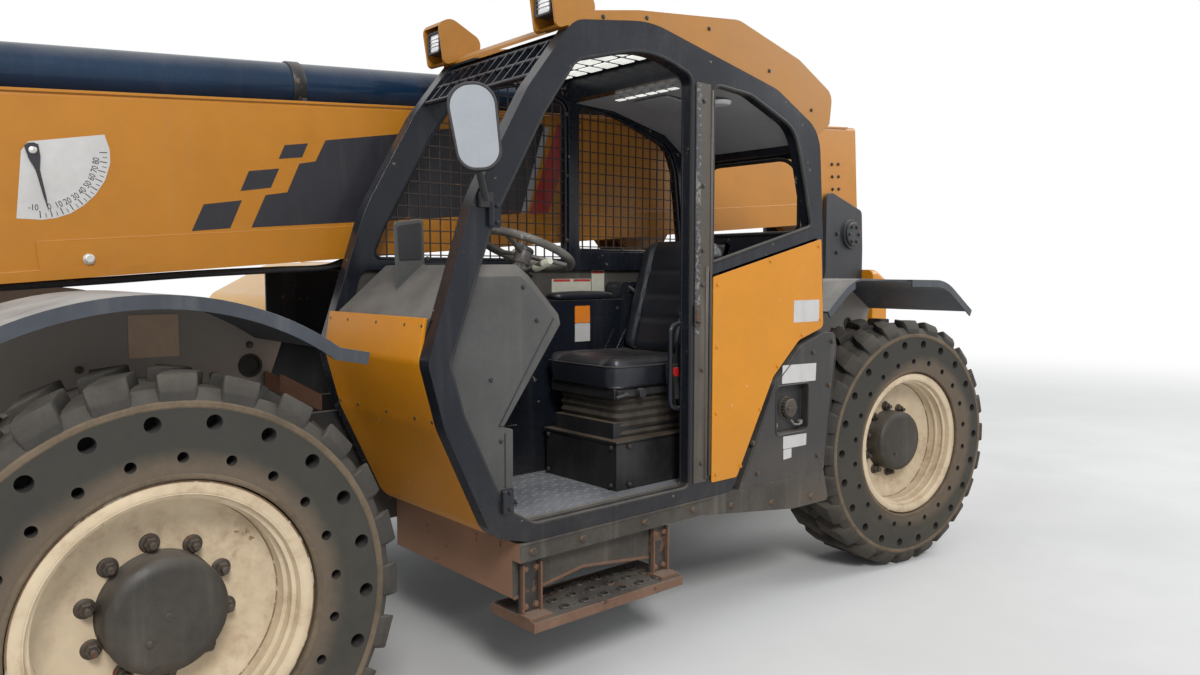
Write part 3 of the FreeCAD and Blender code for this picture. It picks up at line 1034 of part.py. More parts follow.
def make_fenders():
    """Four arched fenders: sheet, outer lip, inner wall and the shelf that holds it to the frame."""
    arch = TYRE_RADIUS + FENDER_ROOM
    wall_y = FENDER_INNER + FENDER_SHEET
    fenders = []
    for axle_x, shares in FENDERS:
        line = [(axle_x + along * arch, AXLE_Z + up * arch, radius * arch) for along, up, radius in shares]
        sheet = side_plate(strip(line, FENDER_SHEET), FENDER_INNER, CAB_LEFT)
        lip = side_plate(strip(line, FENDER_LIP), CAB_LEFT - 8, CAB_LEFT)
        low = [(line[-1][0] - 60, 1150, 40), (axle_x + 200, 1130, 0), (axle_x + 200, 960, 0),
               (axle_x - 200, 960, 0), (axle_x - 200, 1130, 0), (line[0][0] + 60, 1150, 40)]
        wall = side_plate(line + low, FENDER_INNER, wall_y)
        wall = wall.cut(pin_across(axle_x - 471, AXLE_Z + 577, FENDER_INNER - 1, wall_y + 1, 37))
        for side, edge in ((1, FRAME_LEFT + FRAME_PLATE), (-1, FRAME_PLATE - FRAME_RIGHT)):
            shelf = block(axle_x - 200, axle_x + 200, edge, wall_y, 960, 972)
            piece = fuse([sheet, lip, wall, shelf])
            if side > 0 and axle_x < 0:
                piece = largest(piece.cut(level_plate(BROKEN_EDGE, 1250, 1700)))
            fenders.append(piece if side > 0 else mirrored(piece))
    keep("fenders", *fenders)


make_running_gear()
make_axle("front", FRONT_X, -1, 0.0)
make_axle("rear", REAR_X, 1, REAR_STEER_AT_REST)
make_chassis()
make_tower()
make_counterweight()
make_outer_boom()
make_middle_boom()
make_inner_boom()
make_boom_head()
make_carriage()
make_cylinders()
make_cab_frame()
make_cab_shell()
make_roof_parts()
make_cab_inside()
make_guards()
make_left_side()
make_engine_side()
make_fenders()

whole = Part.makeCompound([solid for solids in nodes.values() for solid in solids])
box = whole.BoundBox
SHIFT = at(-(box.XMin + box.XMax) / 2, -(box.YMin + box.YMax) / 2, -box.ZMin)
print("shift", SHIFT, "size", box.XLength, box.YLength, box.ZLength)

os.makedirs("parts", exist_ok=True)
for name, solids in nodes.items():
    shape = solids[0].copy() if len(solids) == 1 else Part.makeCompound(solids).copy()
    shape.translate(SHIFT)
    shape.exportStep("parts/" + name + ".step")
    print(name, len(solids), [solid.isValid() for solid in solids])
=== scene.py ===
"""Telehandler with a cab on the left, an engine pod on the right and a three-stage boom.

Every piece is laid out in millimetres from the middle of the wheelbase on the ground, with +X forward and
+Y to the machine's left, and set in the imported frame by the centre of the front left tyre.
"""
from __future__ import annotations

import json
import logging
import math
from dataclasses import dataclass, field
from enum import Enum
from typing import Callable, Iterable, Sequence, Union

import bmesh
import bpy
from mathutils import Matrix, Vector, noise

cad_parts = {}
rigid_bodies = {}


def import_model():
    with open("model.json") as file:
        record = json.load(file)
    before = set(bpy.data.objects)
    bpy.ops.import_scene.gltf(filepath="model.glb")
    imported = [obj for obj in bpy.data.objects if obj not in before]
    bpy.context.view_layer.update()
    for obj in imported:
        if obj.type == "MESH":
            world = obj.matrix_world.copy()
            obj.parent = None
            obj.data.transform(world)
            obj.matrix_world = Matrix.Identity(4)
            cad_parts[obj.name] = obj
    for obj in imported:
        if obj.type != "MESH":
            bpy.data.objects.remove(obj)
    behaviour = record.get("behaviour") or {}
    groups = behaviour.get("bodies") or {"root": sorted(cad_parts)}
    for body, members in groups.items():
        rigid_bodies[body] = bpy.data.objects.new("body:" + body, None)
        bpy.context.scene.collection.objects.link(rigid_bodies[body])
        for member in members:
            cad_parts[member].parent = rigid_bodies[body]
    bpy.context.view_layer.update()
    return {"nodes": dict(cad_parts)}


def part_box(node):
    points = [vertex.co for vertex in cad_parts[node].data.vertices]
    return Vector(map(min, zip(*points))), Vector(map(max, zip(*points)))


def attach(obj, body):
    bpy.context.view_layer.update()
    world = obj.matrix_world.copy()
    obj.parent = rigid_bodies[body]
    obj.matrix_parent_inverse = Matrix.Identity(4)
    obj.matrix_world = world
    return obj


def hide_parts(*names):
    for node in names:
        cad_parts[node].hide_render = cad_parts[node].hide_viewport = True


for leftover in list(bpy.data.objects):
    bpy.data.objects.remove(leftover)
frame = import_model()

LOG = logging.getLogger("telehandler")
Colour = tuple[float, float, float]
Point = tuple[float, float, float]
Flat = tuple[float, float]

FORWARD: Point = (1, 0, 0)
LEFTWARD: Point = (0, 1, 0)
RIGHTWARD: Point = (0, -1, 0)
UPWARD: Point = (0, 0, 1)
ORIGIN: Point = (0, 0, 0)

# Sizes of the layout, in millimetres
MM = 0.001
AXLE_X = 1845.0
AXLE_Z = 650.0
KINGPIN_Y = 900.0
WHEEL_OFFSET = 154.5
REAR_STEER_AT_REST = -9.0
CAB_LEFT = 1164.0
CAB_RIGHT = 335.0
CAB_TUBE = 60.0
SEAT_Y = 790.0
BOOM_Y = 28.0
BOOM_HALF = 215.0
BOOM_SLOPE = math.radians(4.47)
PIVOT = (-2640.0, 1798.0)
POD_OUTER = -1164.0
FRAME_LEFT = 283.0
FRAME_RIGHT = -227.0
POD_HOOD_EDGE = -359.0
POD_FRONT_X = 994.0
CAB_INNER_LEFT = CAB_LEFT - CAB_TUBE
CAB_INNER_RIGHT = CAB_RIGHT + CAB_TUBE
BOOM_LEFT = BOOM_Y + BOOM_HALF
BOOM_RIGHT = BOOM_Y - BOOM_HALF
BOOM_UP: Point = (math.sin(BOOM_SLOPE), 0.0, math.cos(BOOM_SLOPE))
MERGE_DISTANCE = 0.02


def find_datum() -> Vector:
    """The layout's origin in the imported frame, in metres.

    Returns:
        The offset to add to a point of the layout.
    """
    low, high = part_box("tyre_front_left")
    return (low + high) / 2 - Vector((AXLE_X, KINGPIN_Y + WHEEL_OFFSET, AXLE_Z)) * MM


DATUM = find_datum()


def place(point: Sequence[float]) -> Vector:
    """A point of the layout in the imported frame, in metres."""
    return Vector(point) * MM + DATUM


def on_boom(u: float, w: float, y: float) -> Vector:
    """A point of the boom, given along it, above it and across the machine, in the layout."""
    x = PIVOT[0] + u * math.cos(BOOM_SLOPE) + w * math.sin(BOOM_SLOPE)
    z = PIVOT[1] - u * math.sin(BOOM_SLOPE) + w * math.cos(BOOM_SLOPE)
    return Vector((x, y, z))


def along_boom(points: Sequence[Point]) -> list[Vector]:
    """Points of the boom in the layout."""
    return [on_boom(u, w, y) for u, w, y in points]


# Shader graph

Value = Union[float, "Wire"]


class Wire:
    """A number socket that takes part in arithmetic, where each operation adds its Math node."""

    def __init__(self, graph: "Graph", socket: bpy.types.NodeSocket) -> None:
        """Hold a socket and the graph it belongs to."""
        self.graph = graph
        self.socket = socket

    def _math(self, operation: str, first: Value, second: Value) -> "Wire":
        """Add one Math node.

        Args:
            operation: Blender's name of the operation.
            first: The first operand.
            second: The second operand.

        Returns:
            The result.
        """
        node = self.graph.node("ShaderNodeMath", {"operation": operation}, {0: first, 1: second})
        return Wire(self.graph, node.outputs[0])

    def __add__(self, other: Value) -> "Wire":
        """Sum."""
        return self._math("ADD", self, other)

    def __radd__(self, other: Value) -> "Wire":
        """Sum, reflected."""
        return self._math("ADD", other, self)

    def __sub__(self, other: Value) -> "Wire":
        """Difference."""
        return self._math("SUBTRACT", self, other)

    def __rsub__(self, other: Value) -> "Wire":
        """Difference, reflected."""
        return self._math("SUBTRACT", other, self)

    def __mul__(self, other: Value) -> "Wire":
        """Product."""
        return self._math("MULTIPLY", self, other)

    def __abs__(self) -> "Wire":
        """Size without sign."""
        return self._math("ABSOLUTE", self, 0.0)

    def __rmul__(self, other: Value) -> "Wire":
        """Product, reflected."""
        return self._math("MULTIPLY", other, self)

    def between(self, low: float, high: float) -> "Wire":
        """A smooth mask.

        Args:
            low: Where the mask is 0.
            high: Where the mask is 1.

        Returns:
            The mask, from 0 to 1.
        """
        node = self.graph.node("ShaderNodeMapRange", {"interpolation_type": "SMOOTHSTEP", "clamp": True},
                               {0: self, 1: low, 2: high, 3: 0.0, 4: 1.0})
        return Wire(self.graph, node.outputs[0])


class Graph:
    """The node tree of one material, with its Principled shader."""

    def __init__(self, name: str) -> None:
        """Make the material and its shader."""
        self.material = bpy.data.materials.new(name)
        self.material.use_nodes = True
        self.tree = self.material.node_tree
        self.shader = self.tree.nodes["Principled BSDF"]
        self.coordinates = self.node("ShaderNodeTexCoord", {}, {})

    @classmethod
    def over(cls, tree: bpy.types.NodeTree) -> "Graph":
        """A graph over an empty tree, such as the world's."""
        graph = cls.__new__(cls)
        graph.tree = tree
        return graph

    def node(self, kind: str, settings: dict[str, object],
             inputs: dict[Union[int, str], object]) -> bpy.types.Node:
        """Add any node: its settings first, then its inputs.

        Args:
            kind: The node's type.
            settings: Attribute values.
            inputs: Values, wires or sockets by input name or index.

        Returns:
            The new node.
        """
        made = self.tree.nodes.new(kind)
        for key, value in settings.items():
            setattr(made, key, value)
        for key, value in inputs.items():
            self._give(made.inputs[key], value)
        return made

    def _give(self, socket: bpy.types.NodeSocket, value: object) -> None:
        """Link something to an input, or set the input's own value.

        Args:
            socket: The input.
            value: A wire, a socket, a colour or a plain value.
        """
        if isinstance(value, Wire):
            value = value.socket
        if isinstance(value, bpy.types.NodeSocket):
            self.tree.links.new(value, socket)
        elif isinstance(value, tuple) and len(value) == 3 and socket.type == "RGBA":
            socket.default_value = (*value, 1.0)
        else:
            socket.default_value = value

    def noise(self, scale: float, detail: float = 4.0, stretch: Point = (1.0, 1.0, 1.0)) -> Wire:
        """Noise over the surface.

        Args:
            scale: Features a metre.
            detail: Octaves.
            stretch: Factors on the coordinates, for streaks.

        Returns:
            The noise, from 0 to 1.
        """
        mapped = self.node("ShaderNodeMapping", {}, {"Vector": self.coordinates.outputs["Object"],
                                                     "Scale": stretch})
        node = self.node("ShaderNodeTexNoise", {}, {"Vector": mapped.outputs[0], "Scale": scale,
                                                    "Detail": detail, "Roughness": 0.6})
        return Wire(self, node.outputs[0])

    def axis(self, output: str, index: int) -> Wire:
        """One number of a coordinate output: the height of a point, or how far a face looks up."""
        split = self.node("ShaderNodeSeparateXYZ", {}, {0: self.coordinates.outputs[output]})
        return Wire(self, split.outputs[index])

    def mix(self, mask: Value, first: object, second: object) -> bpy.types.NodeSocket:
        """Mix two colours.

        Args:
            mask: 0 for the first colour, 1 for the second.
            first: A colour or a colour socket.
            second: A colour or a colour socket.

        Returns:
            The mixed colour's socket.
        """
        node = self.node("ShaderNodeMix", {"data_type": "RGBA"}, {0: mask, 6: first, 7: second})
        return node.outputs[2]

    def feed(self, name: str, value: object) -> None:
        """Set or link one input of the shader."""
        self._give(self.shader.inputs[name], value)

    def bump(self, height: Wire, distance: float) -> None:
        """Feed the shader's normal from a height of that many metres."""
        node = self.node("ShaderNodeBump", {}, {"Strength": 1.0, "Distance": distance, "Height": height})
        self.feed("Normal", node.outputs[0])


def shade(colour: Colour, factor: float) -> Colour:
    """A colour made darker or lighter."""
    return tuple(min(1.0, part * factor) for part in colour)


BLACK: Colour = (0.0, 0.0, 0.0)
WHITE: Colour = (1.0, 1.0, 1.0)
EARTH: Colour = (0.20, 0.155, 0.11)
BEAD_DUST: Colour = (0.125, 0.092, 0.062)
RED_EARTH: Colour = (0.31, 0.165, 0.098)
PALE_DUST: Colour = (0.34, 0.31, 0.27)
# Pale colour for the inner fender walls: partly dust, partly painted bounce light on walls that stay in shade
FENDER_WALL_BOUNCE_AND_DUST: Colour = (0.40, 0.35, 0.295)
STAIN: Colour = (0.30, 0.19, 0.11)
RUST: Colour = (0.16, 0.055, 0.02)

# Numbers that every finish shares
STREAK_SCALE = 16.0
STREAK_STRETCH: Point = (1.0, 1.0, 0.07)
STAIN_SCALE = 6.0
GROUND_LEVEL = 0.1
UPWARD_FACES = (0.25, 0.95)
FORWARD_FACES = (0.5, 0.9)
SIDEWARD_FACES = (0.4, 0.9)
WALL_REACH_SQUARED = (0.9, 0.4)
BEAD_RADIUS_SQUARED = (0.25, 0.195)
COAT_ROUGHNESS = 0.12


@dataclass(frozen=True)
class Finish:
    """One finish of the machine: a base coat with blotches, dust, dirt near the ground, chips and streaks."""

    name: str
    colour: Colour
    roughness: float = 0.5
    metallic: float = 0.0
    coat: float = 0.0
    specular: float = 0.5
    mottle: float = 0.12
    mottle_scale: float = 4.0
    dust: float = 0.3
    dust_colour: Colour = PALE_DUST
    dirt: float = 0.25
    dirt_top: float = 1.3
    dirt_colour: Colour = EARTH
    front_dirt: float = 0.0
    chips: float = 0.0
    chip_colour: Colour = RUST
    chip_scale: float = 24.0
    streaks: float = 0.1
    grain: float = 0.0004
    grain_scale: float = 220.0
    stain: float = 0.0
    stain_colour: Colour = STAIN
    wall_dust: float = 0.0
    bead_dust: float = 0.0
    # Emission that makes a part glow although it is no lamp: painted light
    glow: float = 0.0

    def material(self) -> bpy.types.Material:
        """Build the node material.

        Returns:
            The material.
        """
        graph = Graph(self.name)
        blotch = graph.noise(self.mottle_scale, 5.0)
        fine = graph.noise(self.mottle_scale * 9.0, 3.0)
        tone = (blotch * 0.7 + fine * 0.3).between(0.3, 0.7)
        colour = graph.mix(tone, shade(self.colour, 1 - self.mottle), shade(self.colour, 1 + self.mottle))
        streak = graph.noise(STREAK_SCALE, 3.0, STREAK_STRETCH).between(0.5, 0.8)
        colour = graph.mix(streak * self.streaks, colour, shade(self.dust_colour, 0.6))
        level = graph.axis("Normal", 2).between(*UPWARD_FACES)
        settled = level * (blotch.between(0.25, 0.65) * 0.6 + 0.4) * self.dust
        low = 1 - graph.axis("Object", 2).between(GROUND_LEVEL, self.dirt_top)
        caked = low * (blotch.between(0.3, 0.7) * 0.6 + fine.between(0.3, 0.8) * 0.25 + 0.15) * self.dirt
        colour = graph.mix(settled, colour, self.dust_colour)
        colour = graph.mix(caked, colour, self.dirt_colour)
        if self.stain > 0:
            patch = graph.noise(STAIN_SCALE, 6.0).between(0.42, 0.66) * fine.between(0.2, 0.8) * self.stain
            colour = graph.mix(patch, colour, self.stain_colour)
        # Sideways-facing walls near the machine's middle are lightened: partly dust, partly painted bounce
        # light
        if self.wall_dust > 0:
            across, out = graph.axis("Normal", 1), graph.axis("Object", 1)
            inner = (out * out).between(*WALL_REACH_SQUARED)
            wall = (across * across).between(*SIDEWARD_FACES)
            colour = graph.mix(wall * inner * (blotch * 0.5 + 0.7) * self.wall_dust, colour, FENDER_WALL_BOUNCE_AND_DUST)
        if self.bead_dust > 0:
            along = abs(graph.axis("Object", 0) - DATUM.x) - AXLE_X * MM
            up = graph.axis("Object", 2) - (DATUM.z + AXLE_Z * MM)
            ring = (along * along + up * up + blotch * 0.07).between(*BEAD_RADIUS_SQUARED)
            colour = graph.mix(ring * (fine * 0.5 + 0.6) * self.bead_dust, colour, BEAD_DUST)
        if self.front_dirt > 0:
            facing = graph.axis("Normal", 0).between(*FORWARD_FACES) * (blotch * 0.4 + 0.7) * self.front_dirt
            colour = graph.mix(facing, colour, RED_EARTH)
        rough = (settled + caked) * 0.35 + (self.roughness - 0.06) + tone * 0.12
        height = graph.noise(self.grain_scale, 2.0) * 0.6 + fine * 0.4
        if self.chips > 0:
            chip = graph.noise(self.chip_scale, 8.0) + graph.noise(self.chip_scale * 0.2, 2.0) * 0.35
            bare = chip.between(0.90 - self.chips * 0.3, 0.94 - self.chips * 0.3)
            colour = graph.mix(bare, colour, self.chip_colour)
            rough = rough + bare * 0.25
            height = height - bare * 0.5
        graph.feed("Base Color", colour)
        graph.feed("Roughness", rough)
        graph.feed("Metallic", self.metallic)
        graph.feed("Specular IOR Level", self.specular)
        graph.feed("Coat Weight", self.coat)
        graph.feed("Coat Roughness", COAT_ROUGHNESS)
        # Painted light: the surface's own colour glows
        if self.glow > 0:
            graph.feed("Emission Color", colour)
            graph.feed("Emission Strength", self.glow)
        graph.bump(height, self.grain)
        return graph.material


BOOM_PAINT = Finish("boom_paint", (0.40, 0.156, 0.010), 0.42, coat=0.05, specular=0.35, dust=0.22, dirt=0.0,
                    streaks=0.06, mottle=0.08, mottle_scale=1.6)
CAB_PAINT = Finish("cab_paint", (0.54, 0.205, 0.005), 0.36, coat=0.08, specular=0.3, dust=0.2, dirt=0.3,
                   dirt_top=1.0, chips=0.08, chip_colour=(0.50, 0.44, 0.36), streaks=0.05, mottle=0.06,
                   mottle_scale=2.2)
# The cab's yellow paint made darker for the roof covers and lamp hoods: painted shade, as these face the key
# light
PAINTED_SHADE_ROOF = Finish("painted_shade_roof", (0.31, 0.128, 0.014), 0.42, coat=0.05, specular=0.35, dust=0.2, dirt=0.0,
                    streaks=0.08, mottle=0.08, mottle_scale=2.2)
BRIGHT_PAINT = Finish("bright_paint", (0.72, 0.36, 0.02), 0.34, coat=0.3, dust=0.12, dirt=0.1, streaks=0.06,
                      mottle=0.06)
BLACK_PAINT = Finish("black_paint", (0.015, 0.015, 0.017), 0.42, specular=0.35, dirt=0.45, chips=0.2,
                     chip_colour=(0.11, 0.075, 0.05), streaks=0.12, mottle=0.25)
CAB_BLACK = Finish("cab_black", (0.008, 0.010, 0.015), 0.24, coat=0.1, specular=0.25, dust=0.16, dirt=0.3,
                   dirt_top=1.0, chips=0.13, chip_colour=(0.20, 0.15, 0.11), streaks=0.05, mottle=0.2)
TOWER_BLACK = Finish("tower_black", (0.022, 0.023, 0.026), 0.5, specular=0.35, chips=0.15, streaks=0.2)
# Black paint with a bluish tint: partly the tube's paint, partly a painted reflection of the sky on its gloss
PAINTED_SKY_TINT_TUBE = Finish("painted_sky_tint_tube", (0.006, 0.022, 0.052), 0.24, coat=0.1, specular=0.25, dust=0.25, dirt=0.0,
                    streaks=0.05)
PILLAR_BROWN = Finish("pillar_brown", (0.055, 0.045, 0.034), 0.45, specular=0.4, dust=0.2, dirt=0.3, chips=0.25,
                      chip_colour=(0.02, 0.018, 0.017), streaks=0.3, mottle=0.2)
PILLAR_WORN = Finish("pillar_worn", (0.032, 0.032, 0.034), 0.5, dust=0.2, chips=0.62, chip_scale=80.0,
                     chip_colour=(0.17, 0.165, 0.16), streaks=0.2, mottle=0.3)
RUSTY_BLACK = Finish("rusty_black", (0.034, 0.031, 0.027), 0.6, specular=0.35, dust=0.3, dirt=0.35, chips=0.2,
                     chip_scale=14.0, chip_colour=(0.12, 0.07, 0.04), streaks=0.3, mottle=0.25, front_dirt=0.9)
FENDER_PLASTIC = Finish("fender_plastic", (0.036, 0.042, 0.052), 0.5, specular=0.45, dust=0.9, dirt=0.3,
                        wall_dust=0.6,
                        dirt_top=1.4, dust_colour=(0.36, 0.345, 0.32), streaks=0.15, mottle=0.2, grain=0.0006)
WALL_PLASTIC = Finish("wall_plastic", (0.052, 0.046, 0.039), 0.6, specular=0.35, dust=0.3, dirt=0.3,
                      streaks=0.25, mottle=0.25, grain=0.0006)
TYRE_RUBBER = Finish("tyre_rubber", (0.036, 0.034, 0.028), 0.75, bead_dust=0.9, specular=0.3, dust=0.3,
                     dirt=0.15, dirt_top=1.2, mottle=0.12, mottle_scale=5.0, streaks=0.0, grain=0.0006,
                     grain_scale=120.0)
BAND_RUBBER = Finish("band_rubber", (0.115, 0.086, 0.057), 0.85, specular=0.25, dust=0.3, dirt=0.2,
                     dirt_top=1.2, mottle=0.3, mottle_scale=7.0, streaks=0.0, grain=0.001, grain_scale=120.0,
                     dust_colour=(0.16, 0.13, 0.10))
TREAD_RUBBER = Finish("tread_rubber", (0.040, 0.036, 0.031), 0.8, specular=0.3, dust=0.35, dirt=0.35,
                      dirt_top=1.0, mottle=0.3, mottle_scale=9.0, streaks=0.0, grain=0.0012, grain_scale=120.0,
                      dirt_colour=(0.12, 0.095, 0.07), dust_colour=(0.17, 0.15, 0.125))
# Near-black rubber for the insides of the apertures: painted shade in the holes
HOLE_PAINTED_SHADE = Finish("hole_painted_shade", (0.012, 0.011, 0.011), 0.9, dust=0.1, dirt=0.1, streaks=0.0)
RIM_PAINT = Finish("rim_paint", (0.60, 0.485, 0.33), 0.48, dust=0.15, dirt=0.3, dirt_top=1.0, chips=0.1,
                   stain=0.75, chip_scale=20.0, chip_colour=(0.30, 0.17, 0.09), streaks=0.12, mottle=0.1,
                   dust_colour=(0.38, 0.29, 0.2), dirt_colour=(0.36, 0.27, 0.18))
RIM_RUST = Finish("rim_rust", (0.22, 0.135, 0.075), 0.6, dust=0.2, dirt=0.3, chips=0.5, chip_scale=16.0,
                  chip_colour=(0.50, 0.42, 0.31), mottle=0.3)
HUB_PAINT = Finish("hub_paint", (0.024, 0.022, 0.019), 0.5, specular=0.35, dust=0.35, dirt=0.3, chips=0.2,
                   chip_scale=11.0, chip_colour=(0.05, 0.042, 0.034), streaks=0.2)
NUT_STEEL = Finish("nut_steel", (0.055, 0.045, 0.036), 0.5, metallic=0.4, chips=0.4, chip_scale=60.0)
ZINC = Finish("zinc_plate", (0.55, 0.54, 0.50), 0.35, metallic=0.8, dust=0.2, mottle=0.2, mottle_scale=20.0)
DASH_PLASTIC = Finish("dash_plastic", (0.066, 0.066, 0.064), 0.66, specular=0.3, dust=0.55, dirt=0.15,
                      streaks=0.3, mottle=0.16, mottle_scale=5.0, grain=0.0008, grain_scale=340.0,
                      dust_colour=(0.22, 0.20, 0.175))
LINER_PLASTIC = Finish("liner_plastic", (0.26, 0.26, 0.27), 0.75, dust=0.1, dirt=0.0, streaks=0.05, mottle=0.1,
                       grain=0.0005, grain_scale=400.0)
BLACK_PLASTIC = Finish("black_plastic", (0.020, 0.020, 0.022), 0.5, specular=0.35, dust=0.25, dirt=0.2,
                       streaks=0.08, grain_scale=500.0)
TANK_PLASTIC = Finish("tank_plastic", (0.026, 0.024, 0.023), 0.45, specular=0.4, dust=0.3, dirt=0.4,
                      dirt_top=1.1, streaks=0.15, mottle=0.2, grain_scale=400.0)
SEAT_VINYL = Finish("seat_vinyl", (0.010, 0.012, 0.017), 0.33, specular=0.45, dust=0.25, dirt=0.1, streaks=0.0,
                    mottle=0.2, grain=0.0005, grain_scale=420.0, dust_colour=(0.13, 0.11, 0.09))
SEAT_PAN = Finish("seat_pan", (0.013, 0.013, 0.015), 0.38, specular=0.35, dust=0.6, dirt=0.1, mottle=0.3,
                  dust_colour=(0.20, 0.15, 0.10))
FLOOR_PLATE = Finish("floor_plate", (0.17, 0.18, 0.20), 0.6, metallic=0.3, dust=0.6, dirt=0.3, dirt_top=0.9,
                     mottle=0.25, dust_colour=(0.27, 0.27, 0.28))
FORK_STEEL = Finish("fork_steel", (0.055, 0.050, 0.048), 0.5, metallic=0.6, dirt=0.4, chips=0.4,
                    chip_scale=12.0, mottle=0.3)
CHROME_ROD = Finish("chrome_rod", (0.62, 0.62, 0.63), 0.16, metallic=1.0, dust=0.12, dirt=0.1, streaks=0.0,
                    mottle=0.05, grain=0.00005)
CAST_IRON = Finish("cast_iron", (0.07, 0.068, 0.065), 0.62, metallic=0.4, grain=0.0012, grain_scale=150.0)
MESH_WIRE = Finish("mesh_wire", (0.030, 0.021, 0.016), 0.6, metallic=0.2, dirt=0.0, chips=0.4, chip_scale=18.0,
                   streaks=0.0)
DECAL_BLACK = Finish("decal_black", (0.020, 0.020, 0.025), 0.42, specular=0.35, dust=0.1, dirt=0.0)
DECAL_GREY = Finish("decal_grey", (0.27, 0.27, 0.285), 0.45, dust=0.1, dirt=0.0, mottle=0.05)
DECAL_RED = Finish("decal_red", (0.36, 0.030, 0.026), 0.42, dust=0.1, dirt=0.0, mottle=0.08)
DECAL_WHITE = Finish("decal_white", (0.48, 0.47, 0.455), 0.5, dust=0.15, dirt=0.15, streaks=0.15, mottle=0.08)
DECAL_BEIGE = Finish("decal_beige", (0.44, 0.43, 0.35), 0.55, dust=0.1, dirt=0.1, streaks=0.15, mottle=0.1)
PLATE_TAN = Finish("plate_tan", (0.42, 0.30, 0.21), 0.5, metallic=0.3, dust=0.1, dirt=0.1, mottle=0.1)
MIRROR_GLASS = Finish("mirror_glass", (0.42, 0.45, 0.48), 0.06, metallic=1.0, dust=0.1, dirt=0.1, mottle=0.04,
                      mottle_scale=9.0, grain=0.00004)
LAMP_LENS = Finish("lamp_lens", (0.72, 0.73, 0.74), 0.12, coat=0.6, dust=0.15, dirt=0.0, mottle=0.04,
                   grain=0.0006, grain_scale=160.0)
# Glowing panes of the roof: painted light standing for the sky seen between the bars
PAINTED_SKYLIGHT = Finish("painted_skylight", (0.80, 0.80, 0.76), 0.3, dust=0.2, dirt=0.0, mottle=0.15, glow=0.85)
RUBBER_SEAL = Finish("rubber_seal", (0.013, 0.013, 0.013), 0.6, specular=0.35, dirt=0.35, dirt_top=1.0)
BELLOWS = Finish("bellows_rubber", (0.026, 0.022, 0.018), 0.7, specular=0.3, dust=0.5, dirt=0.2, streaks=0.0,
                 mottle=0.4, mottle_scale=12.0, dust_colour=(0.13, 0.10, 0.07))
WHEEL_GRIP = Finish("wheel_grip", (0.075, 0.068, 0.060), 0.42, specular=0.4, dust=0.3, mottle=0.4,
                    mottle_scale=14.0, chips=0.4, chip_scale=30.0, chip_colour=(0.22, 0.20, 0.18))
HOSE_RUBBER = Finish("hose_rubber", (0.017, 0.017, 0.018), 0.6, specular=0.35, dust=0.4, streaks=0.0)
RUSTY_STEEL = Finish("rusty_steel", (0.13, 0.062, 0.034), 0.7, dust=0.2, chips=0.3, mottle=0.25,
                     chip_scale=14.0, chip_colour=(0.05, 0.03, 0.022), grain=0.0008)
STEP_BLACK = Finish("step_black", (0.017, 0.016, 0.017), 0.45, specular=0.4, dust=0.25, chips=0.45,
                    chip_scale=26.0, chip_colour=(0.10, 0.06, 0.038), mottle=0.3)
AMBER = Finish("amber_plastic", (0.70, 0.20, 0.015), 0.2, coat=0.5, dust=0.2, dirt=0.1, mottle=0.04)
RED_PLASTIC = Finish("red_plastic", (0.42, 0.012, 0.012), 0.3, coat=0.4, dust=0.2, dirt=0.1, mottle=0.05)
PANEL_GREY = Finish("panel_grey", (0.20, 0.19, 0.175), 0.5, metallic=0.5, mottle=0.15)


class Wardrobe:
    """The materials made so far, one for each finish."""

    made: dict[str, bpy.types.Material] = {}

    @classmethod
    def get(cls, finish: Finish) -> bpy.types.Material:
        """The material of a finish, made the first time it is asked for."""
        if finish.name not in cls.made:
            cls.made[finish.name] = finish.material()
        return cls.made[finish.name]


# Mesh making

def rounded(corners: Sequence[Point], steps: int = 8, closed: bool = True) -> list[Flat]:
    """A line through rounded corners.

    Args:
        corners: First and second coordinate and radius of each corner.
        steps: Points on each rounding.
        closed: Whether the last corner joins the first.

    Returns:
        The points of the line.
    """
    points: list[Flat] = []
    count = len(corners)
    for index, (a, b, radius) in enumerate(corners):
        here = Vector((a, b))
        if radius <= 0 or (not closed and index in (0, count - 1)):
            points.append((a, b))
            continue
        before = (Vector(corners[index - 1][:2]) - here).normalized()
        after = (Vector(corners[(index + 1) % count][:2]) - here).normalized()
        half = before.angle(after) / 2
        centre = here + (before + after).normalized() * (radius / math.sin(half))
        start = here + before * (radius / math.tan(half)) - centre
        end = here + after * (radius / math.tan(half)) - centre
        turn = start.angle_signed(end)
        for step in range(steps + 1):
            angle = -turn * step / steps
            cosine, sine = math.cos(angle), math.sin(angle)
            points.append((centre.x + start.x * cosine - start.y * sine, centre.y + start.x * sine + start.y
                           * cosine))
    return points


def rectangle(a0: float, b0: float, a1: float, b1: float, radius: float, steps: int = 8) -> list[Flat]:
    """A rectangle with rounded corners."""
    return rounded([(a0, b0, radius), (a1, b0, radius), (a1, b1, radius), (a0, b1, radius)], steps)


def scaled(outline: Sequence[Flat], centre: Flat, first: float, second: float) -> list[Flat]:
    """An outline drawn in towards a centre, by one share for each coordinate."""
    return [(centre[0] + (a - centre[0]) * first, centre[1] + (b - centre[1]) * second) for a, b in outline]


def circle(count: int, radius: float, shift: float = 0.0) -> list[Flat]:
    """Points spaced evenly round a circle, turned by a share of their spacing."""
    turns = [2 * math.pi * (index + shift) / count for index in range(count)]
    return [(radius * math.cos(turn), radius * math.sin(turn)) for turn in turns]


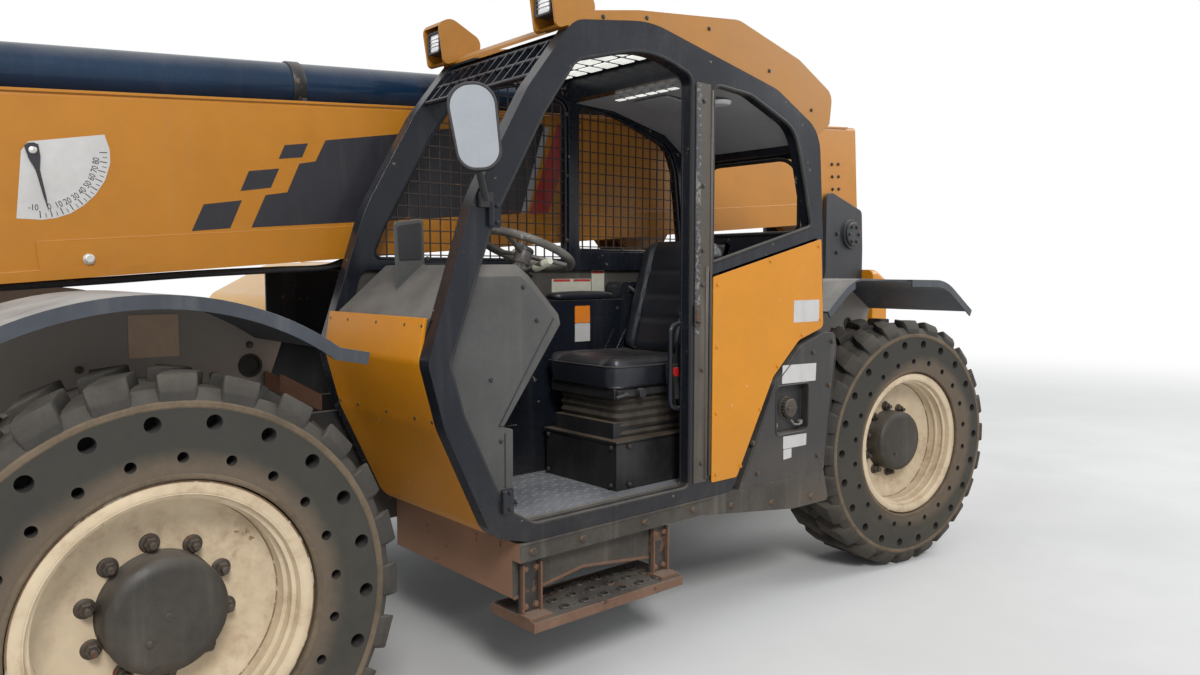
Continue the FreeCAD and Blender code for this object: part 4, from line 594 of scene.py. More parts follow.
def smoothed(line: Sequence[Point], steps: int = 8) -> list[Point]:
    """A smooth line through points.

    Args:
        line: The points.
        steps: Points for each span.

    Returns:
        The points of the line.
    """
    points = [Vector(p) for p in line]
    made: list[Point] = []
    for index in range(len(points) - 1):
        p0, p1 = points[max(index - 1, 0)], points[index]
        p2, p3 = points[index + 1], points[min(index + 2, len(points) - 1)]
        for step in range(steps):
            t = step / steps
            made.append(tuple(0.5 * (2 * p1 + (p2 - p0) * t + (2 * p0 - 5 * p1 + 4 * p2 - p3) * t * t
                                     + (3 * p1 - p0 - 3 * p2 + p3) * t ** 3)))
    made.append(tuple(points[-1]))
    return made


class Plane(Enum):
    """The plane that an outline is drawn in, and so the direction that it is pushed along."""

    SIDE = "xz"
    FRONT = "yz"
    TOP = "xy"


@dataclass
class Form:
    """A mesh being made, in the layout's millimetres."""

    mesh: bmesh.types.BMesh = field(default_factory=bmesh.new)
    turn: Matrix = field(default_factory=lambda: Matrix.Identity(4))

    def vertex(self, point: Sequence[float]) -> bmesh.types.BMVert:
        """Add one vertex, turned into place."""
        return self.mesh.verts.new(self.turn @ Vector(point))

    def loop(self, first: Sequence[bmesh.types.BMVert], second: Sequence[bmesh.types.BMVert],
             closed: bool = True) -> None:
        """Join two rows of vertices with four-sided faces.

        Args:
            first: One row.
            second: The next row, of the same length.
            closed: Whether the rows run right round.
        """
        count = len(first)
        for index in range(count if closed else count - 1):
            following = (index + 1) % count
            self.mesh.faces.new((first[index], first[following], second[following], second[index]))

    def skin(self, rows: Sequence[Sequence[bmesh.types.BMVert]]) -> None:
        """Join rows of vertices one after another and close both ends.

        Args:
            rows: The rows, all of the same length.
        """
        for first, second in zip(rows, rows[1:]):
            self.loop(first, second)
        self.mesh.faces.new(rows[0])
        self.mesh.faces.new(rows[-1])

    def boom_slab(self, outline: Sequence[Flat], near: float, far: float) -> None:
        """Push an outline, given along and above the boom, from one distance across to another."""
        self.skin([[self.vertex(on_boom(u, w, y)) for u, w in outline] for y in (near, far)])

    def slab(self, outline: Sequence[Flat], start: float, end: float, plane: Plane = Plane.SIDE) -> None:
        """Push an outline into a plate.

        Args:
            outline: The outline's points.
            start: Where the plate starts, across the plane.
            end: Where it ends.
            plane: The plane of the outline.
        """
        order = {Plane.SIDE: lambda a, b, c: (a, c, b), Plane.FRONT: lambda a, b, c: (c, a, b),
                 Plane.TOP: lambda a, b, c: (a, b, c)}[plane]
        near = [self.vertex(order(a, b, start)) for a, b in outline]
        far = [self.vertex(order(a, b, end)) for a, b in outline]
        self.loop(near, far)
        self.mesh.faces.new(near)
        self.mesh.faces.new(far[::-1])

    def block(self, low: Point, high: Point) -> None:
        """Add a block between two corners."""
        outline = [(low[0], low[1]), (high[0], low[1]), (high[0], high[1]), (low[0], high[1])]
        self.slab(outline, low[2], high[2], Plane.TOP)

    def lathe(self, profile: Sequence[Flat], centre: Point, axis: Point, steps: int = 48,
              closed: bool = True) -> None:
        """Turn a profile about a line.

        Args:
            profile: Distance along the axis and radius of each point.
            centre: Where the axis starts.
            axis: The axis' direction.
            steps: Steps round.
            closed: Whether the profile's last point joins its first.
        """
        spin = Vector(axis).to_track_quat("Z", "Y").to_matrix()
        rows = []
        for along, radius in profile:
            if radius < 1e-6:
                rows.append([self.vertex(Vector(centre) + spin @ Vector((0, 0, along)))] * steps)
                continue
            rows.append([self.vertex(Vector(centre) + spin @ Vector((
                radius * math.cos(2 * math.pi * k / steps), radius * math.sin(2 * math.pi * k / steps), along)))
                for k in range(steps)])
        pairs = list(zip(rows, rows[1:] + rows[:1])) if closed else list(zip(rows, rows[1:]))
        for first, second in pairs:
            for k in range(steps):
                n = (k + 1) % steps
                corners = list(dict.fromkeys((first[k], first[n], second[n], second[k])))
                if len(corners) > 2:
                    self.mesh.faces.new(corners)

    def rod(self, start: Point, end: Point, radius: float, steps: int = 24, soft: float = 1.5) -> None:
        """Add a round bar with softened ends.

        Args:
            start: One end's centre.
            end: The other end's centre.
            radius: The bar's radius.
            steps: Steps round.
            soft: The chamfer at each end.
        """
        run = Vector(end) - Vector(start)
        soft = min(soft, radius * 0.5, run.length * 0.3)
        self.lathe([(0, 0), (0, radius - soft), (soft, radius), (run.length - soft, radius),
                    (run.length, radius - soft), (run.length, 0)], start, run, steps, closed=False)

    def bolt(self, centre: Point, axis: Point, across: float = 19.0, height: float = 9.0) -> None:
        """Add a hexagon head on its washer.

        Args:
            centre: Where the washer meets the surface.
            axis: The direction that the head stands in.
            across: The head's width.
            height: The head's height.
        """
        washer, radius = across * 0.66, across * 0.56
        self.lathe([(-1, 0), (-1, washer), (1.6, washer), (2.2, washer - 0.8), (2.2, 0)], centre, axis, 20,
                   False)
        start = Vector(centre) + Vector(axis).normalized() * 2.0
        self.lathe([(0, 0), (0, radius), (height * 0.85, radius), (height, radius * 0.82), (height, 0)],
                   start, axis, 6, False)

    def side_bolts(self, y: float, spots: Iterable[Flat], across: float, height: float, side: int = 1) -> None:
        """Add bolts to an upright face that looks to one side of the machine.

        Args:
            y: The face's distance across.
            spots: Where the bolts are, along and up.
            across: The heads' width.
            height: The heads' height.
            side: 1 for a face that looks left, -1 for right.
        """
        for x, z in spots:
            self.bolt((x, y, z), (0, side, 0), across, height)

    def bead(self, line: Sequence[Flat], y: float, radius: float, steps: int) -> None:
        """Run a closed round bead along an outline on an upright face."""
        self.pipe([(x, y, z) for x, z in line], radius, steps, closed=True)

    def pipe(self, points: Sequence[Sequence[float]], radius: float, steps: int = 14,
             closed: bool = False) -> None:
        """Add a round pipe along points.

        Args:
            points: The pipe's line.
            radius: The pipe's radius.
            steps: Steps round.
            closed: Whether the line runs right round.
        """
        line = [Vector(p) for p in points]
        count = len(line)
        rows = []
        side = None
        for index, here in enumerate(line):
            before = line[index - 1] if closed or index else here
            after = line[(index + 1) % count] if closed or index < count - 1 else here
            run = (after - before).normalized()
            if side is None:
                side = run.orthogonal().normalized()
            side = (side - run * side.dot(run)).normalized()
            across = run.cross(side)
            rows.append([self.vertex(here + radius * (side * math.cos(2 * math.pi * k / steps)
                                                      + across * math.sin(2 * math.pi * k / steps)))
                         for k in range(steps)])
        for first, second in zip(rows, rows[1:]):
            self.loop(first, second)
        if closed:
            self.loop(rows[-1], rows[0])
        else:
            self.mesh.faces.new(rows[0][::-1])
            self.mesh.faces.new(rows[-1])

    def clean(self) -> None:
        """Merge doubled vertices and turn every face outward."""
        bmesh.ops.remove_doubles(self.mesh, verts=self.mesh.verts, dist=MERGE_DISTANCE)
        bmesh.ops.recalc_face_normals(self.mesh, faces=self.mesh.faces)

    def shown(self, name: str) -> bpy.types.Object:
        """Put the mesh in the scene as it is.

        Args:
            name: The object's name.

        Returns:
            The object.
        """
        data = bpy.data.meshes.new(name)
        self.mesh.to_mesh(data)
        self.mesh.free()
        made = bpy.data.objects.new(name, data)
        bpy.context.scene.collection.objects.link(made)
        return made

    def piece(self, name: str, finish: Union[Finish, Sequence[Finish]], body: str, bevel: float = 0.0,
              stands_for: Sequence[str] = (), smooth: float = 35.0) -> bpy.types.Object:
        """Turn the mesh into a dressed object that rides on a body.

        Args:
            name: The piece's name.
            finish: Its finish, or one for each material index.
            body: The body it rides on.
            bevel: The width of its softened edges, in millimetres.
            stands_for: CAD nodes that it replaces.
            smooth: Edges sharper than this angle, in degrees, stay sharp.

        Returns:
            The object.
        """
        self.clean()
        limit = math.radians(smooth)
        for face in self.mesh.faces:
            face.smooth = True
        for edge in self.mesh.edges:
            edge.smooth = len(edge.link_faces) == 2 and edge.calc_face_angle(0.0) < limit
        for vertex in self.mesh.verts:
            vertex.co = vertex.co * MM + DATUM
        made = self.shown(name)
        for one in ([finish] if isinstance(finish, Finish) else finish):
            made.data.materials.append(Wardrobe.get(one))
        if bevel > 0:
            soften(made, bevel)
        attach(made, body)
        if stands_for:
            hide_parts(*stands_for)
        LOG.info("piece %s: %d faces on %s", name, len(made.data.polygons), body)
        return made


def soften(target: bpy.types.Object, width: float, angle: float = 35.0, segments: int = 2) -> None:
    """Round the sharp edges of an object with modifiers.

    Args:
        target: The object.
        width: The rounding's width, in millimetres.
        angle: Edges sharper than this are rounded, in degrees.
        segments: Faces across the rounding.
    """
    bevel = target.modifiers.new("soft_edges", "BEVEL")
    bevel.width = width * MM
    bevel.segments = segments
    bevel.limit_method = "ANGLE"
    bevel.angle_limit = math.radians(angle)
    bevel.miter_outer = "MITER_ARC"
    bevel.harden_normals = True


def subdivide(target: bpy.types.Object) -> None:
    """Smooth a padded piece by one subdivision."""
    skin = target.modifiers.new("soft_skin", "SUBSURF")
    skin.levels = skin.render_levels = 1


# CAD pieces: finishes and softened edges

@dataclass(frozen=True)
class Dress:
    """How one CAD node is finished."""

    node: str
    finish: Finish
    edge: float = 1.5


CORNER_NAMES = ("front_left", "front_right", "rear_left", "rear_right")
DRESSES: tuple[Dress, ...] = (
    Dress("chassis_frame", BLACK_PAINT, 2.5), Dress("chassis_members", BLACK_PAINT, 2.5),
    Dress("front_axle", BLACK_PAINT, 4.0), Dress("rear_axle", BLACK_PAINT, 4.0),
    Dress("front_steering_rod", CHROME_ROD, 1.0), Dress("rear_steering_rod", CHROME_ROD, 1.0),
    Dress("boom_tower", TOWER_BLACK, 3.0), Dress("counterweight", CAB_PAINT, 6.0),
    Dress("outer_boom", BOOM_PAINT, 3.0), Dress("extension_barrel", BLACK_PAINT, 2.0),
    Dress("middle_boom", BOOM_PAINT, 2.0), Dress("extension_rod", CHROME_ROD, 1.0),
    Dress("inner_boom", BOOM_PAINT, 2.0), Dress("boom_head", BOOM_PAINT, 3.0),
    Dress("fork_carriage", BLACK_PAINT, 3.0), Dress("forks", FORK_STEEL, 3.0),
    Dress("lift_barrel", BLACK_PAINT, 2.5), Dress("lift_rod", CHROME_ROD, 1.5),
    Dress("tilt_barrel", BLACK_PAINT, 2.5), Dress("tilt_rod", CHROME_ROD, 1.5),
    Dress("cab_frame", CAB_BLACK, 14.0), Dress("cab_right_frame", CAB_BLACK, 14.0),
    Dress("cab_floor", FLOOR_PLATE, 1.0), Dress("cab_nose", CAB_PAINT, 2.5),
    Dress("cab_right_wall", WALL_PLASTIC, 2.0), Dress("cab_side_panel", CAB_PAINT, 1.5),
    Dress("cab_rear_wall", CAB_BLACK, 1.5), Dress("cab_roof", LINER_PLASTIC, 1.5),
    # Roof covers and lamp hoods take the darker copy of the cab paint: painted shade
    Dress("roof_covers", PAINTED_SHADE_ROOF, 6.0), Dress("work_lights", PAINTED_SHADE_ROOF, 4.0),
    Dress("roof_grille", CAB_BLACK, 1.0), Dress("dashboard", DASH_PLASTIC, 7.0),
    Dress("steering_wheel", WHEEL_GRIP, 1.0), Dress("seat_base", SEAT_PAN, 5.0),
    Dress("side_console", CAB_BLACK, 8.0), Dress("mesh_guards", MESH_WIRE, 0.0),
    Dress("side_rail", RUSTY_BLACK, 4.0), Dress("entry_step", STEP_BLACK, 1.5),
    Dress("side_tank", TANK_PLASTIC, 9.0), Dress("mirror", BLACK_PLASTIC, 5.0),
    Dress("engine_housing", BLACK_PAINT, 2.0), Dress("engine_block", CAST_IRON, 12.0),
    Dress("engine_hood", BRIGHT_PAINT, 3.0), Dress("fenders", FENDER_PLASTIC, 2.5),
    *(Dress("rim_" + name, RIM_PAINT, 2.0) for name in CORNER_NAMES),
    *(Dress("knuckle_" + name, BLACK_PAINT, 3.0) for name in CORNER_NAMES),
    *(Dress("tyre_" + name, TYRE_RUBBER, 0.0) for name in CORNER_NAMES),
    Dress("seat_cushion", SEAT_VINYL, 0.0), Dress("seat_backrest", SEAT_VINYL, 0.0),
)


@dataclass
class CadDress:
    """Finishes every CAD node and softens its edges."""

    weld_distance: float = 0.00002
    flat_angle: float = 0.3
    sharp_angle: float = 28.0
    wide_edge: float = 8.0

    def build(self) -> None:
        """Go through the table."""
        for dress in DRESSES:
            self.apply(dress)

    def apply(self, dress: Dress) -> None:
        """Finish one node.

        Args:
            dress: The node with its finish and edge width.
        """
        node = frame["nodes"][dress.node]
        node.data.materials.clear()
        node.data.materials.append(Wardrobe.get(dress.finish))
        if dress.edge > 0:
            weld = node.modifiers.new("joined", "WELD")
            weld.merge_threshold = self.weld_distance
            flat = node.modifiers.new("flat_faces", "DECIMATE")
            flat.decimate_type = "DISSOLVE"
            flat.angle_limit = math.radians(self.flat_angle)
            soften(node, dress.edge, self.sharp_angle, 4 if dress.edge > self.wide_edge else 2)
            even = node.modifiers.new("even_shading", "WEIGHTED_NORMAL")
            even.keep_sharp = False
        LOG.info("dressed %s in %s", dress.node, dress.finish.name)


# Wheels

@dataclass(frozen=True)
class Corner:
    """Where one wheel stands."""

    name: str
    axle_x: float
    side: int
    steer: float

    def matrix(self) -> Matrix:
        """From a wheel drawn about its own middle, with +Y outward, to the layout.

        Returns:
            The matrix; on the right it mirrors the wheel.
        """
        kingpin = Matrix.Translation((self.axle_x, self.side * KINGPIN_Y, AXLE_Z))
        turn = Matrix.Rotation(math.radians(self.steer), 4, "Z")
        mirror = Matrix.Diagonal((1.0, float(self.side), 1.0, 1.0))
        return kingpin @ turn @ mirror @ Matrix.Translation((0.0, WHEEL_OFFSET, 0.0))


CORNERS: tuple[Corner, ...] = (
    Corner("front_left", AXLE_X, 1, 0.0), Corner("front_right", AXLE_X, -1, 0.0),
    Corner("rear_left", -AXLE_X, 1, REAR_STEER_AT_REST), Corner("rear_right", -AXLE_X, -1, REAR_STEER_AT_REST),
)


@dataclass
class Wheels:
    """Solid tyres with aperture rings and staggered lugs, and the trim of the rims."""

    radius: float = 650.0
    base_radius: float = 611.0
    half: float = 187.5
    bead: float = 376.0
    lugs: int = 24
    holes: int = 22
    outer_ring: float = 525.0
    outer_hole: float = 21.0
    inner_ring: float = 433.0
    inner_hole: float = 14.5
    nuts: int = 10
    nut_ring: float = 180.0

    def build(self) -> None:
        """Make the four tyres and the trim of their rims."""
        tyre = self.make_tyre()
        for corner in CORNERS:
            self.set_tyre(tyre, corner)
            self.make_trim(corner)
            self.make_hub(corner)
        bpy.data.meshes.remove(tyre)

    def carcass(self) -> Form:
        """The tyre without lugs and holes.

        Returns:
            The form, drawn about the wheel's middle.
        """
        side = [(self.half - 5, self.bead), (self.half - 1, self.bead + 5), (self.half - 1, self.bead + 12),
                (self.half - 4, self.bead + 15), (self.half - 4, 560), (self.half - 1, 564),
                (self.half - 1, 574), (self.half - 5, 580), (self.half - 16, 596),
                (self.half - 36, self.base_radius)]
        profile = side + [(-a, r) for a, r in side[::-1]]
        form = Form()
        form.lathe(profile, ORIGIN, LEFTWARD, 132)
        return form

    def top(self, y: float) -> float:
        """How far out a lug reaches at a distance from the wheel's middle plane."""
        return self.radius - max(0.0, abs(y) - 148.0) ** 1.25 * 0.52

    def add_lug(self, form: Form, angle: float, side: int, chance: float) -> None:
        """Add one lug from the shoulder to the middle of the tread.

        Args:
            form: The form to add it to.
            angle: Where the lug is, in radians.
            side: Which shoulder it comes from.
            chance: A number from -1 to 1 that varies its wear.
        """
        stations = ((183, -4, 46), (168, 0, 50), (148, 4, 50), (100, 22, 45), (52, 52, 39), (16, 78, 33))
        wear = 1.5 + 1.5 * chance
        rows = []
        for y, along, half in stations:
            high = self.top(y) - wear
            low = self.base_radius - 10 if y < 170 else 566
            row = []
            for s, r in ((-half - 5, low), (-half, high), (half, high), (half + 5, low)):
                turn = angle + side * (along + s * side) / self.radius
                row.append(form.vertex((r * math.cos(turn), side * y, r * math.sin(turn))))
            rows.append(row)
        form.skin(rows)

    def cutters(self) -> Form:
        """The round bars that cut the apertures.

        Returns:
            The form with both rings of bars.
        """
        form = Form()
        for index in range(self.holes):
            for ring, size, shift in ((self.outer_ring, self.outer_hole, 0.0),
                                      (self.inner_ring, self.inner_hole, 0.5)):
                turn = 2 * math.pi * (index + shift) / self.holes
                x, z = ring * math.cos(turn), ring * math.sin(turn)
                for side in (1, -1):
                    form.lathe([(0, 0), (0, size * 0.93), (70, size), (90, size), (90, 0)],
                               (x, side * (self.half - 70), z), (0, side, 0), 20, closed=False)
        return form

    def make_tyre(self) -> bpy.types.Mesh:
        """Cut the apertures and add the lugs.

        Returns:
            The mesh in millimetres, about the wheel's middle.
        """
        drawn, bars, lugs = self.carcass(), self.cutters(), Form()
        drawn.clean()
        bars.clean()
        carcass, cutter = drawn.shown("tyre_carcass"), bars.shown("tyre_cutter")
        cut = carcass.modifiers.new("apertures", "BOOLEAN")
        cut.operation = "DIFFERENCE"
        cut.solver = "EXACT"
        cut.object = cutter
        body = self.baked(carcass)
        for index in range(self.lugs):
            for side, shift in ((1, 0.0), (-1, 0.5)):
                angle = 2 * math.pi * (index + shift) / self.lugs
                chance = noise.noise((math.cos(angle) * 3.1, side * 2.0, math.sin(angle) * 3.1)) * 2
                self.add_lug(lugs, angle, side, max(-1.0, min(1.0, chance)))
        lugs.clean()
        blocks = lugs.shown("tyre_lugs")
        bevel = blocks.modifiers.new("worn_edges", "BEVEL")
        bevel.width = 5.0
        bevel.segments = 2
        bevel.limit_method = "ANGLE"
        bevel.angle_limit = math.radians(30)
        tread = self.baked(blocks)
        whole = bmesh.new()
        whole.from_mesh(body)
        whole.from_mesh(tread)
        made = bpy.data.meshes.new("tyre")
        whole.to_mesh(made)
        whole.free()
        for leftover in (carcass, cutter, blocks):
            data = leftover.data
            bpy.data.objects.remove(leftover)
            bpy.data.meshes.remove(data)
        for mesh in (body, tread):
            bpy.data.meshes.remove(mesh)
        return made

    def baked(self, source: bpy.types.Object) -> bpy.types.Mesh:
        """A copy of an object's mesh after its modifiers."""
        return bpy.data.meshes.new_from_object(source.evaluated_get(bpy.context.evaluated_depsgraph_get()))

    def zone(self, face: bmesh.types.BMFace) -> int:
        """Which rubber a face shows: smooth side, dusty band, tread, or the inside of a hole, darkened as
        painted shade.

        Args:
            face: A face of the tyre, drawn about the wheel's middle.

        Returns:
            The material's index.
        """
        centre = face.calc_center_median()
        radius = math.hypot(centre.x, centre.z)
        flat = abs(face.normal.y) > 0.8
        # Aperture walls and floors take the darker rubber: painted shade
        if self.bead + 15 < radius < 556 and (not flat or abs(centre.y) < self.half - 20):
            return 3
        if radius <= self.bead + 15 or 556 < radius < 582:
            return 1
        return 2 if radius > 577 else 0

    def set_tyre(self, tyre: bpy.types.Mesh, corner: Corner) -> None:
        """Copy the tyre to one corner, with its own knocks.

        Args:
            tyre: The tyre's mesh.
            corner: The corner.
        """
        form = Form()
        form.mesh.from_mesh(tyre)
        matrix = corner.matrix() @ Matrix.Rotation(0.11 * (corner.axle_x / AXLE_X + corner.side), 4, "Y")
        for face in form.mesh.faces:
            face.material_index = self.zone(face)
        for vertex in form.mesh.verts:
            radius = math.hypot(vertex.co.x, vertex.co.z)
            if radius > 600:
                chip = noise.noise(vertex.co * 0.021 + Vector((corner.axle_x, corner.side * 50.0, 0)))
                vertex.co *= 1 - max(0.0, chip - 0.12) * 0.014
            vertex.co = matrix @ vertex.co
        form.piece("tread_" + corner.name, (TYRE_RUBBER, BAND_RUBBER, TREAD_RUBBER, HOLE_PAINTED_SHADE),
                   "wheel_" + corner.name, stands_for=["tyre_" + corner.name],
                   smooth=32)

    def make_trim(self, corner: Corner) -> None:
        """Add the side ring, the weld and the wheel nuts of one rim.

        Args:
            corner: The corner.
        """
        form = Form(turn=corner.matrix())
        rings = (
            [(150, 331), (158, 331), (169, 338), (172, 346), (172, 366), (169, 371), (164, 371), (164, 334)],
            [(126, 325), (133, 318), (140, 318), (144, 330)],
            [(84, 320), (90, 310), (98, 311), (102, 323)],
        )
        for ring in rings:
            form.lathe(ring, ORIGIN, LEFTWARD, 96)
        form.piece("rim_rings_" + corner.name, RIM_PAINT, "wheel_" + corner.name, bevel=1.5)
        form = Form(turn=corner.matrix())
        for ring in ([(158, 333.6), (166, 336.4), (167, 338.2), (160, 335)],
                     [(170.6, 366), (172.8, 367), (170, 371.6)], [(46, 313), (49, 307.5), (52, 308.5),
                (54, 313)], [(14.6, 233.5), (15.8, 234), (14.6, 234.5)]):
            form.lathe(ring, ORIGIN, LEFTWARD, 96)
        form.piece("rim_rust_" + corner.name, RIM_RUST, "wheel_" + corner.name)
        form = Form(turn=corner.matrix())
        for x, z in circle(self.nuts, self.nut_ring, 0.35):
            form.lathe([(0, 0), (0, 27), (5, 26), (8, 20), (8, 0)], (x, 15.5, z), LEFTWARD, 24, False)
            form.lathe([(0, 0), (0, 19.5), (17, 19.5), (20, 17), (20, 0)], (x, 23, z), LEFTWARD, 6, False)
            form.lathe([(0, 0), (0, 10.5), (15, 10.5), (17, 8.5), (17, 0)], (x, 43, z), LEFTWARD, 16, False)
        form.piece("wheel_nuts_" + corner.name, NUT_STEEL, "wheel_" + corner.name, bevel=1.0)

    def make_hub(self, corner: Corner) -> None:
        """Add the plain black cover of the planetary hub, with its plug.

        Args:
            corner: The corner.
        """
        form = Form(turn=corner.matrix())
        form.lathe([(15, 150), (15, 158.5), (22, 158.5), (25, 156.2), (100, 156.2), (107, 152), (117, 130),
                    (119.6, 120), (119.6, 12), (121, 10), (121, 0)], ORIGIN, LEFTWARD, 96, False)
        form.piece("hub_cover_" + corner.name, HUB_PAINT, "wheel_" + corner.name, bevel=1.2)
        form = Form(turn=corner.matrix())
        form.bolt((52, 119.6, -58), LEFTWARD, 15, 6)
        form.piece("hub_plug_" + corner.name, HUB_PAINT, "wheel_" + corner.name)


# Boom

@dataclass
class BoomGraphics:
    """Stepped band, slanted stripes and the angle dial on the boom's sides."""

    body: str = "boom"
    left: float = BOOM_LEFT
    right: float = BOOM_RIGHT
    proud: float = 0.7
    pivot: Flat = (4572.0, 504.0)
    dial_radius: float = 222.0
    dial_step: float = 0.89
    dial_zero: float = 8.3

    def build(self) -> None:
        """Make the graphics of both sides and the dial of the left side."""
        for side, face, out in (("left", self.left, self.proud), ("right", self.right, -self.proud)):
            self.sheet("band_" + side, DECAL_BLACK, self.black_shapes(), face, out)
            self.sheet("grey_stripe_" + side, DECAL_GREY, [[(2646, 236), (2611, 236), (2443, 633),
                    (2478, 633)]], face, out)
            self.sheet("red_stripe_" + side, DECAL_RED, [[(2602, 228), (2488, 226), (2281, 652), (2392, 651)]],
                       face, out)
        self.make_dial()
        self.make_needle()

    def black_shapes(self) -> list[list[Flat]]:
        """Outlines of the three small blocks and of the band."""
        return [[(4114, 223), (4062, 317), (3924, 328), (3978, 227)], [(3926, 362), (3887, 435), (3771, 444),
                (3811, 372)], [(3769, 480), (3741, 532), (3647, 540), (3677, 486)], [(3900, 226), (3834, 345),
                (3749, 354), (3690, 462), (3624, 471), (3574, 553), (3264, 583), (2784, 638), (2478, 650),
                (2478, 633), (2646, 236), (2660, 233)],]

    def sheet(self, name: str, finish: Finish, outlines: Sequence[Sequence[Flat]], face: float,
              depth: float) -> None:
        """Lay thin film on one side of the boom.

        Args:
            name: The piece's name.
            finish: Its finish.
            outlines: Outlines along and above the boom.
            face: The side's distance across.
            depth: The film's thickness, with its direction.
        """
        form = Form()
        for outline in outlines:
            form.boom_slab(outline, face - depth * 0.3, face + depth)
        form.piece(name, finish, self.body)

    def lean(self, angle: float) -> float:
        """How far from straight down a number of the dial stands, in radians."""
        return math.radians(angle * self.dial_step + self.dial_zero)

    def ray(self, angle: float, distance: float) -> Flat:
        """A point of the dial.

        Args:
            angle: The number that the dial shows there, in degrees.
            distance: How far from the dial's pivot.

        Returns:
            The point along and above the boom.
        """
        turn = self.lean(angle)
        return (self.pivot[0] - math.sin(turn) * distance, self.pivot[1] - math.cos(turn) * distance)

    def make_dial(self) -> None:
        """Lay the white dial with its marks and numbers."""
        outline = [(4603, 503), (4580, 532), (4357, 558), (4347, 510), (4350, 464), (4372, 407), (4407, 359),
                   (4445, 325), (4489, 299), (4531, 286), (4571, 282), (4641, 289)]
        self.sheet("dial_plate", DECAL_WHITE, [outline], self.left, self.proud)
        marks = []
        for angle in range(-10, 91, 5):
            outer = self.dial_radius - 6
            inner, half = outer - (23 if angle % 10 == 0 else 14), 0.45 if angle % 10 == 0 else 0.3
            marks.append([self.ray(angle - half, inner), self.ray(angle + half, inner),
                          self.ray(angle + half, outer), self.ray(angle - half, outer)])
        self.sheet("dial_marks", DECAL_BLACK, marks, self.left + self.proud, 0.3)
        for angle in range(-10, 81, 10):
            self.make_number(angle)

    def make_number(self, angle: int) -> None:
        """Write one number of the dial as a thin raised mesh, its top towards the dial's pin.

        Args:
            angle: The number.
        """
        curve = bpy.data.curves.new("number", "FONT")
        curve.body = str(angle)
        curve.size = 28.0
        curve.extrude = 0.15
        curve.align_x = "CENTER"
        curve.align_y = "CENTER"
        writing = bpy.data.objects.new("number", curve)
        mesh = bpy.data.meshes.new_from_object(writing)
        form = Form()
        form.mesh.from_mesh(mesh)
        shown = -16.0 if angle < 0 else angle
        u, w = self.ray(shown, 183)
        lean = self.lean(shown)
        for vertex in form.mesh.verts:
            a = vertex.co.x * 0.8 * math.cos(lean) - vertex.co.y * math.sin(lean)
            b = vertex.co.x * 0.8 * math.sin(lean) + vertex.co.y * math.cos(lean)
            vertex.co = on_boom(u - a, w + b, self.left + self.proud + 0.25 + vertex.co.z)
        bpy.data.objects.remove(writing)
        bpy.data.curves.remove(curve)
        bpy.data.meshes.remove(mesh)
        form.piece("dial_number_%s" % str(angle).replace("-", "minus_"), DECAL_BLACK, self.body)

    def make_needle(self) -> None:
        """Hang the weighted needle on its pin."""
        form = Form()
        u, w = self.pivot
        outline = [(u - 20, w + 16), (u - 8, w + 24), (u + 8, w + 24), (u + 20, w + 16), (u + 17, w - 22),
                   (u + 6, w - 62), (u + 3.5, w - 150), (u, w - 196), (u - 3.5, w - 150), (u - 6, w - 62),
                   (u - 17, w - 22)]
        swing = Matrix.Rotation(math.radians(-6.5), 2)
        outline = [Vector((u, w)) + swing @ (Vector(point) - Vector((u, w))) for point in outline]
        form.boom_slab(outline, self.left + 5.0, self.left + 8.0)
        form.piece("dial_needle", DECAL_BLACK, self.body, bevel=0.6)
        form = Form()
        form.lathe([(0, 0), (0, 10), (6, 10), (8, 12), (12, 12), (14, 9), (14, 0)], on_boom(u, w, self.left),
                   LEFTWARD, 24, False)
        form.piece("dial_pin", ZINC, self.body)


